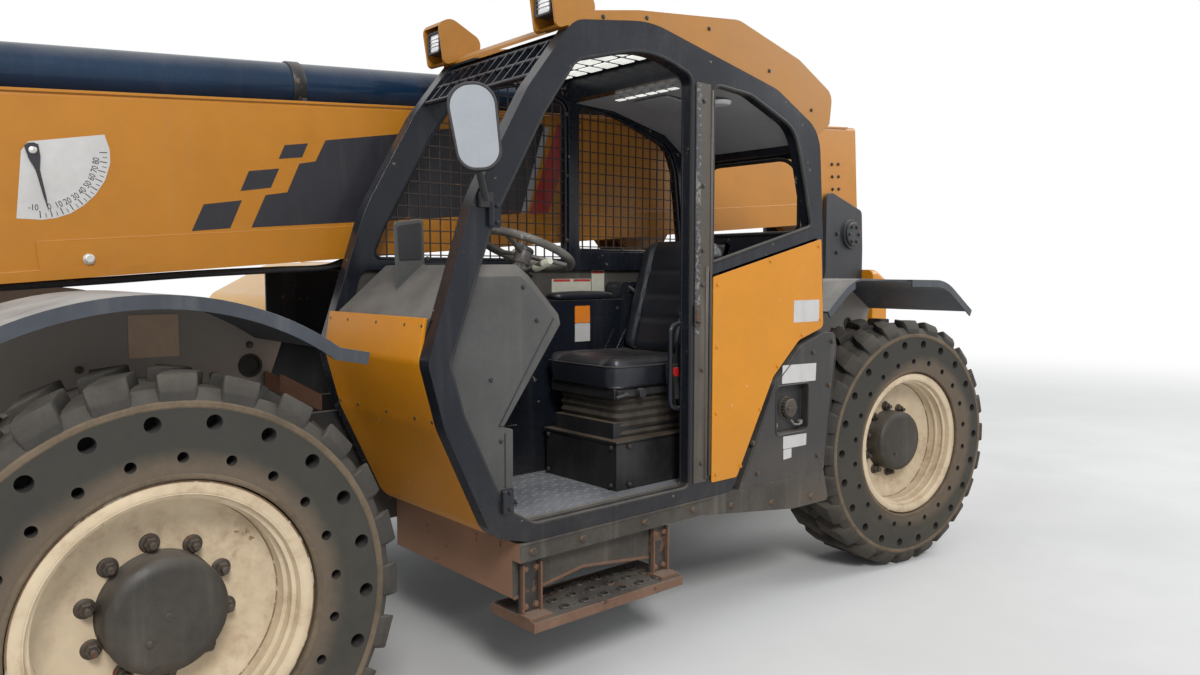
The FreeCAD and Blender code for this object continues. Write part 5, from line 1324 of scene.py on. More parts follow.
@dataclass
class BoomDetail:
    """Hoses, pad bolts, pins and seams of the boom's stages."""

    left: float = BOOM_LEFT
    right: float = BOOM_RIGHT

    def build(self) -> None:
        """Make the details of each stage."""
        self.hoses()
        self.outer_bolts()
        self.stage_bolts()
        self.barrel_parts()
        self.pivot_parts()
        self.welds()

    def hoses(self) -> None:
        """Pipes and hoses that run under and beside the outer stage."""
        form = Form()
        for y, low in ((212.0, 58.0), (186.0, 62.0)):
            line = [(3500, low + 22, y), (3607, low - 6, y), (3800, low, y + 3), (4100, low + 8, y),
                    (4400, low + 10, y), (4711, low + 14, y), (4830, low + 20, y - 6), (4960, low + 16, y - 10)]
            form.pipe(along_boom(smoothed(line)), 11.0)
        y = self.right - 26
        for w in (640.0, 600.0, 560.0):
            line = [(-60, w - 60, self.right + 40), (20, w - 30, self.right - 20), (140, w, y), (4780, w, y),
                    (4900, w + 10, y + 4), (4960, w + 30, y + 14)]
            form.pipe(along_boom(smoothed(line)), 10.0)
        form.piece("boom_hoses", HOSE_RUBBER, "boom", smooth=60)
        form = Form()
        plate = self.right - 38
        for u in (600, 1500, 2400, 3300, 4200, 4740):
            form.boom_slab([(u - 22, 540), (u + 22, 540), (u + 22, 660), (u - 22, 660)], plate, plate + 2)
            for w in (620, 580):
                form.bolt(on_boom(u, w, plate), RIGHTWARD, 15, 7)
                form.rod(on_boom(u, w, self.right), on_boom(u, w, plate), 9)
        form.piece("hose_clamps", BLACK_PAINT, "boom", bevel=0.8)

    def outer_bolts(self) -> None:
        """Pad bolts and fittings on the outer stage."""
        form = Form()
        for side, face in ((1, self.left), (-1, self.right)):
            for u in (4972, 5008, 60, 130):
                for w in (300, 380, 460):
                    form.bolt(on_boom(u, w, face), (0, side, 0), 17, 8)
        for u in (4950, 5000):
            for y in (-70, 0, 70):
                form.bolt(on_boom(u, 700, BOOM_Y + y), BOOM_UP, 19, 9)
        form.piece("boom_bolts", BLACK_PAINT, "boom")
        form = Form()
        form.bolt(on_boom(4452, 146, self.left + 6), LEFTWARD, 28, 12)
        form.piece("boom_stop_bolt", ZINC, "boom")
        form = Form()
        for side, face in ((1, self.left), (-1, self.right)):
            form.boom_slab([(-60, 690), (5030, 690), (5030, 700), (-60, 700)], face - side, face + side * 6)
        form.piece("boom_lips", BOOM_PAINT, "boom", bevel=1.5)

    def stage_bolts(self) -> None:
        """Pad bolts at the fronts of the inner stages, and their pads."""
        form = Form()
        for side in (1, -1):
            face = BOOM_Y + side * 191
            for w in (300, 380, 460):
                form.bolt(on_boom(5226, w, face), (0, side, 0), 14, 6)
        form.piece("middle_bolts", BLACK_PAINT, "middle_boom")
        form = Form()
        for side in (1, -1):
            for u, w in ((5450, 560), (5450, 300), (5700, 200), (5560, 420)):
                form.bolt(on_boom(u, w, BOOM_Y + side * 137), (0, side, 0), 17, 8)
        form.piece("head_bolts", BLACK_PAINT, "inner_boom")

    def barrel_parts(self) -> None:
        """The glossy tube on top of the boom with its straps, ports and hoses."""
        top, radius, rear = 792.0, 90.0, 1100.0
        form = Form()
        start = on_boom(rear, top, BOOM_Y)
        axis = on_boom(rear + 1, top, BOOM_Y) - start
        form.lathe([(0, 62), (0, radius - 6), (6, radius), (3850, radius), (3856, radius - 6), (3856, 62)],
                   start, axis, 64)
        form.piece("tube_sleeve", PAINTED_SKY_TINT_TUBE, "boom", bevel=1.0)
        form = Form()
        for u, height, reach in ((330, 765.0, 62.0), (700, 765.0, 62.0), (1400, top, radius),
                                 (2500, top, radius), (3600, top, radius), (4700, top, radius)):
            centre = on_boom(u, height, BOOM_Y)
            form.lathe([(-26, reach - 2), (-26, reach + 5), (-23, reach + 7), (23, reach + 7), (26, reach + 5),
                        (26, reach - 2)], centre, axis, 48)
            for y in (-1, 1):
                form.boom_slab([(u - 26, 698), (u + 26, 698), (u + 26, 716), (u - 26, 716)],
                               BOOM_Y + y * (reach * 0.4), BOOM_Y + y * (reach + 40))
                form.bolt(on_boom(u, 716, BOOM_Y + y * (reach + 24)), BOOM_UP, 19, 9)
        form.rod(on_boom(4880, 870, BOOM_Y), on_boom(4880, 896, BOOM_Y), 17)
        form.bolt(on_boom(4880, 896, BOOM_Y), BOOM_UP, 26, 10)
        form.piece("barrel_straps", BLACK_PAINT, "boom", bevel=1.0)
        form = Form()
        line = [(4880, 900, BOOM_Y), (4868, 906, BOOM_Y - 8), (4800, 896, BOOM_Y - 60),
                (4720, 820, BOOM_Y - 116), (4600, 728, BOOM_Y - 160), (4300, 714, BOOM_Y - 168),
                (500, 714, BOOM_Y - 168), (200, 712, BOOM_Y - 165), (-60, 680, BOOM_Y - 170)]
        form.pipe(along_boom(smoothed(line)), 11.0)
        form.piece("extension_hoses", HOSE_RUBBER, "boom", smooth=60)

    def pivot_parts(self) -> None:
        """Retaining plates and bolts of the boom's pivot pin, on the tower."""
        form = Form()
        x, z = PIVOT
        for side, boss, plate in ((1, FRAME_LEFT + 18, FRAME_LEFT), (-1, FRAME_RIGHT - 18, FRAME_RIGHT)):
            form.lathe([(-1, 0), (-1, 78), (9, 78), (14, 72), (14, 0)], (x, boss, z), (0, side, 0), 40, False)
            for k in range(6):
                turn = k * math.pi / 3
                form.bolt((x + 54 * math.cos(turn), boss + side * 14, z + 54 * math.sin(turn)), (0, side, 0),
                          19, 9)
            for dx, dz in ((150, 0), (150, -120), (-60, -300), (150, -300), (250, -480), (20, -520)):
                form.bolt((x + dx, plate, z + dz), (0, side, 0), 24, 11)
        form.piece("pivot_caps", TOWER_BLACK, "root", bevel=1.2)

    def welds(self) -> None:
        """Weld beads along the doublers and the collar."""
        form = Form()
        for side, face in ((1, self.left), (-1, self.right)):
            for u0, u1, w in ((430, 4596, 211.5), (430, 5030, 117.8)):
                count = 90
                points = [(u0 + (u1 - u0) * k / count, w + math.sin(k * 2.1) * 0.6, face + side * 0.5)
                          for k in range(count + 1)]
                form.pipe(along_boom(points), 4.2, 8)
            form.pipe(along_boom([(4596, 117, face), (4596, 165, face + 0.5 * side), (4596, 211, face)]), 4.2,
                      8)
            form.pipe(along_boom([(5028, 90 + k * 61, face) for k in range(11)]), 4.6, 8)
        form.piece("boom_welds", BOOM_PAINT, "boom", smooth=60)


# Cab

@dataclass
class CabShell:
    """Seals, pillar trim, grab bar, lamps, mirror, roof details, screws and guard frames."""

    left: float = CAB_LEFT
    inner: float = CAB_INNER_LEFT

    def build(self) -> None:
        """Make each part of the shell."""
        self.seals()
        self.pillar()
        self.grab_loop()
        self.lamps()
        self.mirror()
        self.roof()
        self.nose()
        self.guards()

    def seals(self) -> None:
        """Rubber seals round the door opening, the rear quarter and the rear window."""
        door = rounded([(446, 2306, 120), (590, 2105, 300), (804, 1730, 500), (979, 1255, 50), (929, 1080, 150),
                        (768, 742, 90), (640, 664, 60), (-161, 664, 34), (-161, 2336, 54), (80, 2406, 500)], 10)
        form = Form()
        form.bead(door, self.left - 8, 9.0, 10)
        form.bead(door, self.inner + 8, 7.0, 8)
        ring = rounded([(-283, 1590, 8), (-283, 2316, 40), (-520, 2304, 200), (-826, 2196, 160),
                        (-875, 2088, 200), (-969, 1762, 20)])
        form.bead(ring, self.left - 4, 9.0, 10)
        window = rounded([(450, 1740, 40), (1050, 1740, 40), (1050, 2095, 120), (450, 2095, 120)], 8)
        scale = [(CAB_RIGHT + 90 + (y - 450) / 600 * 619, z) for y, z in window]
        form.pipe([(-1034 + (z - 1740) * 0.012, y, z) for y, z in scale], 10.0, 10, closed=True)
        form.piece("cab_seals", RUBBER_SEAL, "root", smooth=60)

    def pillar(self) -> None:
        """Worn plate, striker, latch and hinge leaves on the pillars of the doorway."""
        form = Form()
        form.slab(rounded([(-176, 680, 6), (-176, 2310, 6), (-262, 2310, 6), (-262, 1560, 6), (-254, 1540, 6),
                           (-254, 680, 6)], 4), self.left - 1, self.left + 4)
        form.piece("pillar_plate", PILLAR_BROWN, "root", bevel=1.2)
        form = Form()
        form.slab(rounded([(-177, 1300, 3), (-177, 2300, 3), (-203, 2300, 3), (-203, 1300, 3)], 4), self.left
                  + 3, self.left + 6)
        form.slab(rounded([(-161, 1300, 2), (-161, 2320, 2), (-168, 2320, 2), (-168, 1300, 2)], 4), self.left
                  - 52, self.left - 4)
        form.piece("pillar_wear_strip", PILLAR_WORN, "root", bevel=1.0)
        form = Form()
        form.rod((-246, self.left + 2, 690), (-246, self.left + 2, 1575), 9)
        form.rod((-272, self.left + 1, 700), (-272, self.left + 1, 2290), 7)
        form.piece("pillar_beads", PILLAR_BROWN, "root", smooth=60)
        form = Form()
        for z in (760, 1150, 1500, 1640, 1900, 2240):
            form.bolt((-219, self.left + 4, z), LEFTWARD, 15, 6)
        form.slab(rounded([(-172, 1330, 8), (-172, 1420, 8), (-206, 1420, 8), (-206, 1330, 8)]), self.left
                  + 3.5, self.left + 9)
        form.rod((-184, self.left + 8, 1348), (-184, self.left + 8, 1402), 6)
        form.rod((-184, self.left + 4, 1350), (-184, self.left + 30, 1350), 6)
        form.piece("door_striker", NUT_STEEL, "root", bevel=0.8)
        form = Form()
        for x, z in ((806, 1745), (762, 770)):
            form.slab(rectangle(x - 28, z - 45, x + 24, z + 45, 8), self.left - 1, self.left + 5)
            form.rod((x + 14, self.left + 10, z - 40), (x + 14, self.left + 10, z + 40), 10)
            for dz in (-28, 28):
                form.bolt((x - 12, self.left + 5, z + dz), LEFTWARD, 13, 5)
        form.piece("door_hinges", CAB_BLACK, "root", bevel=0.8)

    def grab_loop(self) -> None:
        """The grab bar on the rear side of the doorway and the belt beside the seat."""
        form = Form()
        line = rounded([(-105, 1025, 0), (-105, 1330, 34), (-175, 1345, 30), (-205, 1300, 0)], 8, closed=False)
        form.pipe([(x, 1098, z) for x, z in line], 10.5, 14)
        form.pipe([(-105, 1098, 1025), (-110, 1098, 1005), (-140, 1100, 990), (-160, 1100, 990)], 10.5, 14)
        form.piece("grab_bar", CAB_BLACK, "root", smooth=60)
        form = Form()
        rows = []
        for k in range(25):
            t = k / 24
            x = -255 + 100 * t + 26 * math.sin(t * 3.1)
            z = 1360 - 330 * t
            y = 1084 - 16 * math.sin(t * 4.0)
            rows.append([form.vertex((x - 22, y, z)), form.vertex((x + 22, y + 3, z)),
                         form.vertex((x + 22, y + 5, z)), form.vertex((x - 22, y + 2, z))])
        form.skin(rows)
        form.piece("belt_strap", RUBBER_SEAL, "root", smooth=50)
        form = Form()
        form.slab(rounded([(-190, 1085, 14), (-128, 1085, 14), (-122, 1172, 20), (-196, 1172, 20)], 5), 1052,
                  1078)
        form.slab(rounded([(-176, 1164, 4), (-142, 1164, 4), (-146, 1206, 10), (-172, 1206, 10)], 4), 1061,
                  1066)
        form.pipe([(-159, 1064, 1092), (-166, 1060, 1030), (-190, 1050, 985)], 7.0, 10)
        form.piece("belt_buckle", BLACK_PLASTIC, "root", bevel=3)
        form = Form()
        form.block((-176, 1076, 1120), (-142, 1084, 1158))
        form.piece("belt_button", RED_PLASTIC, "root", bevel=2.5)

    def lamps(self) -> None:
        """Bezels, lenses and ribs of the two work lamps."""
        for name, y in (("left", self.left - 130), ("right", CAB_RIGHT - 35)):
            middle = y + 65
            form = Form()
            outline = rectangle(middle - 46, 2448, middle + 46, 2536, 12, 5)
            inner = rectangle(middle - 38, 2456, middle + 38, 2528, 9, 5)
            form.skin([[form.vertex((x, a, b)) for a, b in line]
                       for x, line in ((498, outline), (546, outline), (546, inner), (532, inner))])
            form.piece("lamp_bezel_" + name, BLACK_PLASTIC, "root", bevel=1.5)
            form = Form()
            form.skin([[form.vertex((x, a, b)) for a, b in scaled(inner, (middle, 2492), share, share)]
                       for share, x in ((1.0, 533.0), (0.97, 537.0), (0.7, 541.0), (0.35, 543.0))])
            form.piece("lamp_lens_" + name, LAMP_LENS, "root")
            form = Form()
            for dz in (-14, 0, 14):
                form.block((539, middle - 36, 2490 + dz), (543.5, middle + 36, 2493 + dz))
            form.piece("lamp_ribs_" + name, PANEL_GREY, "root")

    def mirror(self) -> None:
        """Bezel, face and clamp of the mirror by the front pillar."""
        turn = (Matrix.Translation((950, CAB_LEFT + 97, 2000)) @ Matrix.Rotation(math.radians(-33), 4, "Z")
                @ Matrix.Translation((-950, 0, -2000)))
        form = Form(turn=turn)
        ring = rounded([(1038, 2128, 70), (878, 2140, 70), (852, 1868, 60), (988, 1862, 60)], 12)
        centre = (940.0, 2000.0)
        glass = scaled(ring, centre, 0.90, 0.935)
        form.skin([[form.vertex((x, y, z)) for x, z in line]
                   for y, line in ((29.5, ring), (35.0, scaled(ring, centre, 0.985, 0.985)), (35.0, glass),
                                   (31.0, glass))])
        form.piece("mirror_bezel", BLACK_PLASTIC, "root", bevel=1.0)
        form = Form(turn=turn)
        form.skin([[form.vertex((x, y, z)) for x, z in scaled(glass, centre, share, share)]
                   for share, y in ((1.0, 31.2), (0.99, 32.4), (0.7, 33.0), (0.35, 33.3))])
        form.piece("mirror_face", MIRROR_GLASS, "root", smooth=40)
        form = Form(turn=turn)
        form.rod((940, -22, 1950), (940, 2, 1950), 22)
        form.rod((940, -22, 2050), (940, 2, 2050), 14)
        form.rod((940, -14, 1935), (940, -14, 2066), 9)
        form.piece("mirror_clamp", CAB_BLACK, "root", bevel=1.0)

    def roof(self) -> None:
        """Bolts of the roof, the glowing panes between its bars that paint the sky's light seen through the
        roof, the liner's lamp and its panel.
        """
        form = Form()
        for y in (CAB_LEFT, CAB_RIGHT):
            out = 1 if y == CAB_LEFT else -1
            for x, z in ((-950, 2290), (-640, 2420), (-250, 2530), (100, 2508), (320, 2472)):
                form.bolt((x, y - out * 0.5, z), (0, out, 0), 13, 4)
        for x, z in ((-500, 2363), (-900, 2262)):
            for y in (480, 750, 1020):
                form.bolt((x, y, z + 1), (-0.2, 0, 1), 15, 6)
        form.piece("roof_bolts", BLACK_PLASTIC, "root")
        # Glowing panes: painted light standing for the sky seen through the roof
        form = Form()
        pitch = (CAB_LEFT - CAB_RIGHT - 2 * CAB_TUBE) / 7
        for x in (-100, -4, 150, 236, 322):
            for column in range(7):
                y = CAB_INNER_RIGHT + (column + 0.5) * pitch
                z0, z1 = (2430 if at < 100 else 2432 - (at - 100) * 0.132 for at in (x, x + 74))
                form.slab([(x, z0 - 5), (x + 74, z1 - 5), (x + 74, z1 - 1), (x, z0 - 1)], y - 36, y + 36)
        for column in range(6):
            y = 656 + 65 * column
            form.block((-249, y - 22, 2316.6), (-221, y + 22, 2320))
        form.piece("painted_skylight_panes", PAINTED_SKYLIGHT, "root")
        form = Form()
        for x, z in ((-600, 2310), (-840, 2225)):
            form.pipe([(x, y, z - 14) for y in (400, 750, 1098)], 5.0, 8)
        form.lathe([(0, 0), (0, 52), (-10, 50), (-16, 42), (-16, 0)], (-520, 990, 2300), UPWARD, 32, False)
        form.piece("liner_lamp", LAMP_LENS, "root")
        form = Form()
        outline = rectangle(-560, 640, -330, 850, 12, 5)
        rows = [[form.vertex((x, y, 2316 + (x + 560) * 0.09 - drop)) for x, y in outline]
                for drop in (14.0, 22.0)]
        form.loop(rows[0], rows[1])
        form.mesh.faces.new(rows[1])
        form.piece("liner_panel", LINER_PLASTIC, "root", bevel=2.0)

    def nose(self) -> None:
        """Screws of the nose and the side panel, and the blank plate on the cab's side."""
        form = Form()
        for y in (CAB_RIGHT + 80, 560, 780, 980, self.inner - 12):
            form.bolt((1034, y, 1378), (1, 0, 0.15), 12, 4)
            form.bolt((1002, y, 1062), (0.95, 0, -0.3), 12, 4)
            form.bolt((838, y, 706), (0.9, 0, -0.42), 12, 4)
        form.piece("nose_screws", BLACK_PLASTIC, "root")
        form = Form()
        form.side_bolts(self.left + 6, ((-310, 1500), (-310, 1240), (-310, 960), (-310, 700), (-1018, 1672),
                                        (-1040, 1330), (-900, 1262), (-720, 1130), (-470, 712), (-600, 950),
                                        (-660, 1600)), 12, 4)
        form.piece("panel_screws", CAB_PAINT, "root")
        form = Form()
        form.slab(rectangle(-835, 1322, -1031, 1423, 4, 4), self.left + 5.6, self.left + 6.8)
        form.piece("blank_plate_side", DECAL_WHITE, "root")

    def guards(self) -> None:
        """Flat bars that frame the wire mesh, with their screws."""
        form = Form()
        y = CAB_RIGHT + 42
        for line in (
            [(-144, 1606, 20), (-144, 2324, 50), (80, 2394, 400), (436, 2294, 110), (580, 2100, 300),
             (795, 1728, 300), (850, 1606, 30)],
            [(-216, 1656, 20), (-216, 2332, 40), (-500, 2294, 200), (-826, 2186, 160), (-874, 2060, 200),
             (-922, 1656, 20)],
        ):
            form.bead(rounded(line), y, 8.0, 8)
        form.piece("guard_frames", CAB_BLACK, "root", smooth=60)
        form = Form()
        form.side_bolts(y + 7, ((-144, 1700), (-144, 2000), (-144, 2280), (200, 1608), (600, 1608),
                                (-216, 1900), (-216, 2250), (-500, 1658), (-800, 1658)), 15, 6)
        form.piece("guard_screws", NUT_STEEL, "root")


@dataclass
class CabInside:
    """Dashboard, wheel, seat, console, floor and blank decals."""

    seat_y: float = SEAT_Y

    def build(self) -> None:
        """Make each part of the inside."""
        self.dash()
        self.wheel()
        self.bellows()
        self.cushion("cushion_pad", "seat_cushion", self.cushion_point, 0.25)
        self.cushion("backrest_pad", "seat_backrest", self.backrest_point, 0.2)
        self.seat_parts()
        self.console()
        self.floor()
        self.decals()

    def dash(self) -> None:
        """Seams, screws, gauges, switches, vent and upright plate of the dashboard."""
        form = Form()
        left = CAB_INNER_LEFT - 30
        for line in ([(640, 1010), (716, 1012), (600, 1190), (470, 1385)], [(690, 720), (690, 985)]):
            form.pipe([(x + 12, left + 0.5, z) for x, z in line], 2.6, 6)
        form.piece("dash_seams", BLACK_PLASTIC, "root", smooth=60)
        form = Form()
        form.side_bolts(left, ((720, 760), (720, 960), (930, 1120), (985, 1280), (760, 1180), (560, 1380),
                               (620, 1500)), 13, 4)
        form.piece("dash_screws", BLACK_PLASTIC, "root")
        lean = math.atan2(1544 - 1395, 567 - 424)
        tilt = Matrix.Translation((496, self.seat_y, 1470)) @ Matrix.Rotation(-lean, 4, "Y")
        form = Form(turn=tilt)
        form.block((-82, -150, -4), (82, 150, 12))
        form.piece("gauge_panel", BLACK_PLASTIC, "root", bevel=5)
        form = Form(turn=tilt)
        for x, y, radius in ((20, -85, 34), (20, 0, 42), (20, 85, 34)):
            form.lathe([(11, 0), (11, radius), (17, radius), (19, radius - 4), (14, radius - 7), (14, 0)],
                       (x, y, 0), UPWARD, 36, False)
        form.piece("gauge_rims", PANEL_GREY, "root", bevel=0.8)
        form = Form(turn=tilt)
        for k in range(7):
            form.block((-62, -132 + k * 38, 10), (-30, -104 + k * 38, 17 + (k % 2) * 3))
        form.piece("dash_switches", BLACK_PLASTIC, "root", bevel=2.5)
        form = Form()
        for k in range(9):
            form.block((640 + k * 14, 480, 1578), (646 + k * 14, 620, 1584))
        form.block((632, 474, 1576), (766, 480, 1586))
        form.block((632, 620, 1576), (766, 626, 1586))
        form.piece("dash_vent", BLACK_PLASTIC, "root", bevel=1.0)
        form = Form()
        outline = rounded([(800, 1600, 8), (893, 1596, 8), (898, 1722, 12), (800, 1738, 12)], 5)
        form.slab(outline, 684, 688)
        form.slab(outline, 672, 676)
        form.piece("dash_plate_face", BLACK_PLASTIC, "root", bevel=1.0)

    def wheel(self) -> None:
        """Cap, column boot, stalk and spinner knob of the steering wheel."""
        turn = Matrix.Translation((400, self.seat_y, 1640)) @ Matrix.Rotation(math.radians(-22), 4, "Y")
        form = Form(turn=turn)
        form.lathe([(-8, 0), (-8, 37), (4, 36), (9, 30), (11, 16), (11, 0)], ORIGIN, UPWARD, 40, False)
        form.piece("wheel_cap", BLACK_PLASTIC, "root", bevel=1.5)
        form = Form(turn=turn)
        profile = []
        for k in range(7):
            low = -190 + k * 16
            profile += [(low, 44 + k * 3), (low + 8, 38 + k * 3)]
        profile = [(-196, 0)] + profile + [(-84, 30), (-84, 0)]
        form.lathe(profile, ORIGIN, UPWARD, 32, False)
        form.piece("column_boot", RUBBER_SEAL, "root", smooth=50)
        form = Form(turn=turn)
        form.pipe([(-2, 30, -96), (18, 120, -88), (34, 170, -80)], 8.0, 12)
        form.piece("stalk_sleeve", BLACK_PLASTIC, "root", smooth=60)
        form = Form(turn=turn)
        form.lathe([(0, 0), (0, 11), (5, 15), (30, 17), (90, 15), (104, 12), (108, 0)], (22, 132, -88),
                   (10, 80, 20), 20, False)
        form.lathe([(0, 0), (0, 12), (3, 16), (6, 23), (16, 27), (27, 25), (35, 16), (38, 0)], (-92, -178, 8),
                   UPWARD, 28, False)
        form.piece("stalk_end", DECAL_BEIGE, "root", smooth=50)

    def bellows(self) -> None:
        """The pleated boot round the seat's suspension."""
        form = Form()
        rows = []
        levels = [(872 + k * 17.0, 9.0 if k % 2 else 0.0) for k in range(11)]
        for z, out in levels:
            half_x, half_y, radius = 192 + out, 188 + out, 36
            outline = rectangle(-118 - half_x, self.seat_y - half_y, -118 + half_x, self.seat_y + half_y,
                                radius, 6)
            rows.append([form.vertex((x, y, z)) for x, y in outline])
        form.skin(rows)
        form.piece("seat_bellows", BELLOWS, "root", bevel=1.2, smooth=25)

    def cushion_point(self, a: float, b: float, c: float) -> Point:
        """A point of the cushion: along and across from -1 to 1, and up from 0 to 1."""
        x = -120 + a * 256
        y = self.seat_y + b * 238
        low, high = 1082.0, 1204.0 + a * 4
        return (x, y, low + (high - low) * c)

    def backrest_point(self, a: float, b: float, c: float) -> Point:
        """A point of the backrest: up and across from -1 to 1, and forward from 0 to 1."""
        share = (a + 1) / 2
        back_x, back_z = -378 - 178 * share, 1197 + 494 * share
        front_x, front_z = -306 - 150 * share, 1200 + 494 * share
        return (back_x + (front_x - back_x) * c, self.seat_y + b * 222, back_z + (front_z - back_z) * c)

    def cushion(self, name: str, node: str, where: Callable[[float, float, float], Point],
                crown: float) -> None:
        """Make one padded piece with a crowned face, pulled-in sides, channels and a piped seam.

        Args:
            name: The piece's name.
            node: The CAD node that it stands for.
            where: Gives a point of the pad's block.
            crown: How much lower the face lies at its rim, as a share of the block's height.
        """
        form = Form()
        count_a, count_b = 40, 36
        top: list[list[bmesh.types.BMVert]] = []
        low: list[list[bmesh.types.BMVert]] = []
        for i in range(count_a + 1):
            row_top, row_low = [], []
            for j in range(count_b + 1):
                a, b = -1 + 2 * i / count_a, -1 + 2 * j / count_b
                edge = max(abs(a), abs(b))
                rim = max(0.0, (edge - 0.78) / 0.22)
                corner = max(0.0, abs(a) + abs(b) - 1.72) * 0.34
                inward = 1 - corner
                height = 1 - crown * rim ** 2.4 - 0.05 * (a * a + b * b)
                for line in (-0.42, 0.02, 0.46):
                    height -= 0.10 * math.exp(-((a - line) / 0.035) ** 2) * (1 if abs(b) < 0.62 else 0.25)
                for line in (-0.62, 0.62):
                    height -= 0.12 * math.exp(-((b - line) / 0.03) ** 2)
                bolster = max(0.0, (abs(b) - 0.64) / 0.36)
                height += 0.07 * math.sin(min(1.0, bolster) * math.pi)
                height += 0.018 * noise.noise((a * 3.0, b * 3.0, crown * 40))
                row_top.append(form.vertex(where(a * inward, b * inward, max(0.2, min(1.0, height)))))
                pull = 0.955 if edge > 0.97 else 1.0
                row_low.append(form.vertex(where(a * inward * pull, b * inward * pull, 0.02)))
            top.append(row_top)
            low.append(row_low)
        for grid in (top, low):
            for first, second in zip(grid, grid[1:]):
                form.loop(first, second, closed=False)
        ring_top = self.border(top)
        ring_low = self.border(low)
        middle = []
        for first, second in zip(ring_top, ring_low):
            out = (first.co + second.co) / 2
            centre = Vector(where(0, 0, 0.5))
            shift = (out - centre).normalized() * 3.0
            middle.append(form.mesh.verts.new(out + shift))
        form.loop(ring_top, middle)
        form.loop(middle, ring_low)
        made = form.piece(name, SEAT_VINYL, "root", stands_for=[node], smooth=70)
        subdivide(made)
        piping = Form()
        line = []
        for k in range(160):
            turn = 2 * math.pi * k / 160
            a, b = math.cos(turn), math.sin(turn)
            grow = 1 / (abs(a) ** 8 + abs(b) ** 8) ** 0.125
            line.append(where(a * grow * 0.985, b * grow * 0.985, 0.70))
        piping.pipe(line, 4.2, 8, closed=True)
        piping.piece(name + "_piping", RUBBER_SEAL, "root", smooth=60)

    def border(self, grid: Sequence[Sequence[bmesh.types.BMVert]]) -> list[bmesh.types.BMVert]:
        """The outer vertices of a grid, in order round it."""
        first, last = list(grid[0]), list(grid[-1])
        right = [row[-1] for row in grid[1:-1]]
        left = [row[0] for row in grid[1:-1]]
        return first + right + last[::-1] + left[::-1]

    def seat_parts(self) -> None:
        """Hinge plates, the shell behind the backrest, levers and the bolts of the step box."""
        form = Form()
        for side in (-1, 1):
            y = self.seat_y + side * 232
            outline = rounded([(-300, 1100, 10), (-400, 1120, 20), (-440, 1300, 30), (-360, 1290, 30),
                               (-290, 1180, 20)], 6)
            form.slab(outline, y - 4, y + 4)
            form.rod((-345, y - 12, 1180), (-345, y + 12, 1180), 22)
        form.piece("seat_hinges", CAB_BLACK, "root", bevel=1.5)
        form = Form()
        outline = rounded([(-395, 1215, 20), (-430, 1215, 20), (-600, 1670, 40), (-566, 1690, 30)], 6)
        form.slab(outline, self.seat_y - 200, self.seat_y + 200)
        form.piece("seat_shell", BLACK_PLASTIC, "root", bevel=8)
        form = Form()
        form.block((-330, self.seat_y + 205, 1046), (96, self.seat_y + 214, 1072))
        form.rod((60, self.seat_y + 214, 1058), (60, self.seat_y + 238, 1058), 8)
        form.rod((60, self.seat_y + 232, 1058), (128, self.seat_y + 236, 1050), 7)
        form.rod((-20, self.seat_y + 214, 1058), (-20, self.seat_y + 240, 1058), 20)
        form.piece("seat_levers", BLACK_PLASTIC, "root", bevel=1.5)
        form = Form()
        for y in (-205, 205):
            for z in (690, 845):
                form.bolt((127, self.seat_y + y, z), FORWARD, 15, 6)
                form.bolt((y * 0.9 - 130, self.seat_y + 237, z), LEFTWARD, 15, 6)
        form.piece("step_box_trim", BLACK_PAINT, "root", bevel=1.2)

    def console(self) -> None:
        """Lever boot, armrest pad, switches, box and cable of the side console."""
        form = Form(turn=Matrix.Translation((162, CAB_INNER_RIGHT + 75, 1424)))
        profile = [(0, 0), (0, 52)]
        for k in range(5):
            profile += [(6 + k * 9, 48 - k * 7), (10 + k * 9, 44 - k * 7)]
        profile += [(58, 13), (58, 0)]
        form.lathe(profile, (0, 0, 0), (0.1, 0, 1), 28, False)
        form.piece("lever_boot", RUBBER_SEAL, "root", smooth=50)
        form = Form()
        rows = []
        middle = (-160.0, CAB_INNER_RIGHT + 62)
        outline = rounded([(-340, middle[1] - 50, 30), (20, middle[1] - 50, 40), (20, middle[1] + 50, 40),
                           (-340, middle[1] + 50, 30)])
        crown = form.vertex((*middle, 1466))
        for share, drop in ((0.9, 0.06), (1.0, 0.35), (1.0, 0.7), (0.94, 1.0)):
            rows.append([form.vertex((x, y, 1463 - 39 * drop)) for x,
                         y in scaled(outline, middle, share, share)])
        for index, corner in enumerate(rows[0]):
            form.mesh.faces.new((crown, corner, rows[0][(index + 1) % len(rows[0])]))
        for first, second in zip(rows, rows[1:]):
            form.loop(first, second)
        form.mesh.faces.new(rows[-1])
        made = form.piece("armrest", SEAT_VINYL, "root", smooth=70)
        subdivide(made)
        form = Form()
        for k in range(4):
            form.block((60 + k, CAB_INNER_RIGHT + 20 + k * 25, 1424), (92, CAB_INNER_RIGHT + 38 + k * 25, 1433))
        form.side_bolts(CAB_INNER_RIGHT + 125, ((-340, 720), (-340, 1380), (300, 720), (300, 1150)), 13, 4)
        form.piece("console_switches", BLACK_PLASTIC, "root", bevel=1.5)
        form = Form()
        form.slab(rounded([(-501, 1200, 10), (-392, 1200, 10), (-392, 1480, 24), (-410, 1505, 16),
                           (-501, 1505, 10)], 5), CAB_RIGHT + 42, CAB_RIGHT + 150)
        form.slab(rectangle(-490, 1240, -404, 1440, 8, 5), CAB_RIGHT + 149, CAB_RIGHT + 153)
        for z in (1226, 1458):
            form.bolt((-447, CAB_RIGHT + 150, z), LEFTWARD, 12, 4)
        form.piece("console_box", CAB_BLACK, "root", bevel=3)
        form = Form()
        line = [(-450, 480, 1480), (-470, 540, 1420), (-430, 560, 1300), (-440, 560, 1150), (-420, 550, 1000)]
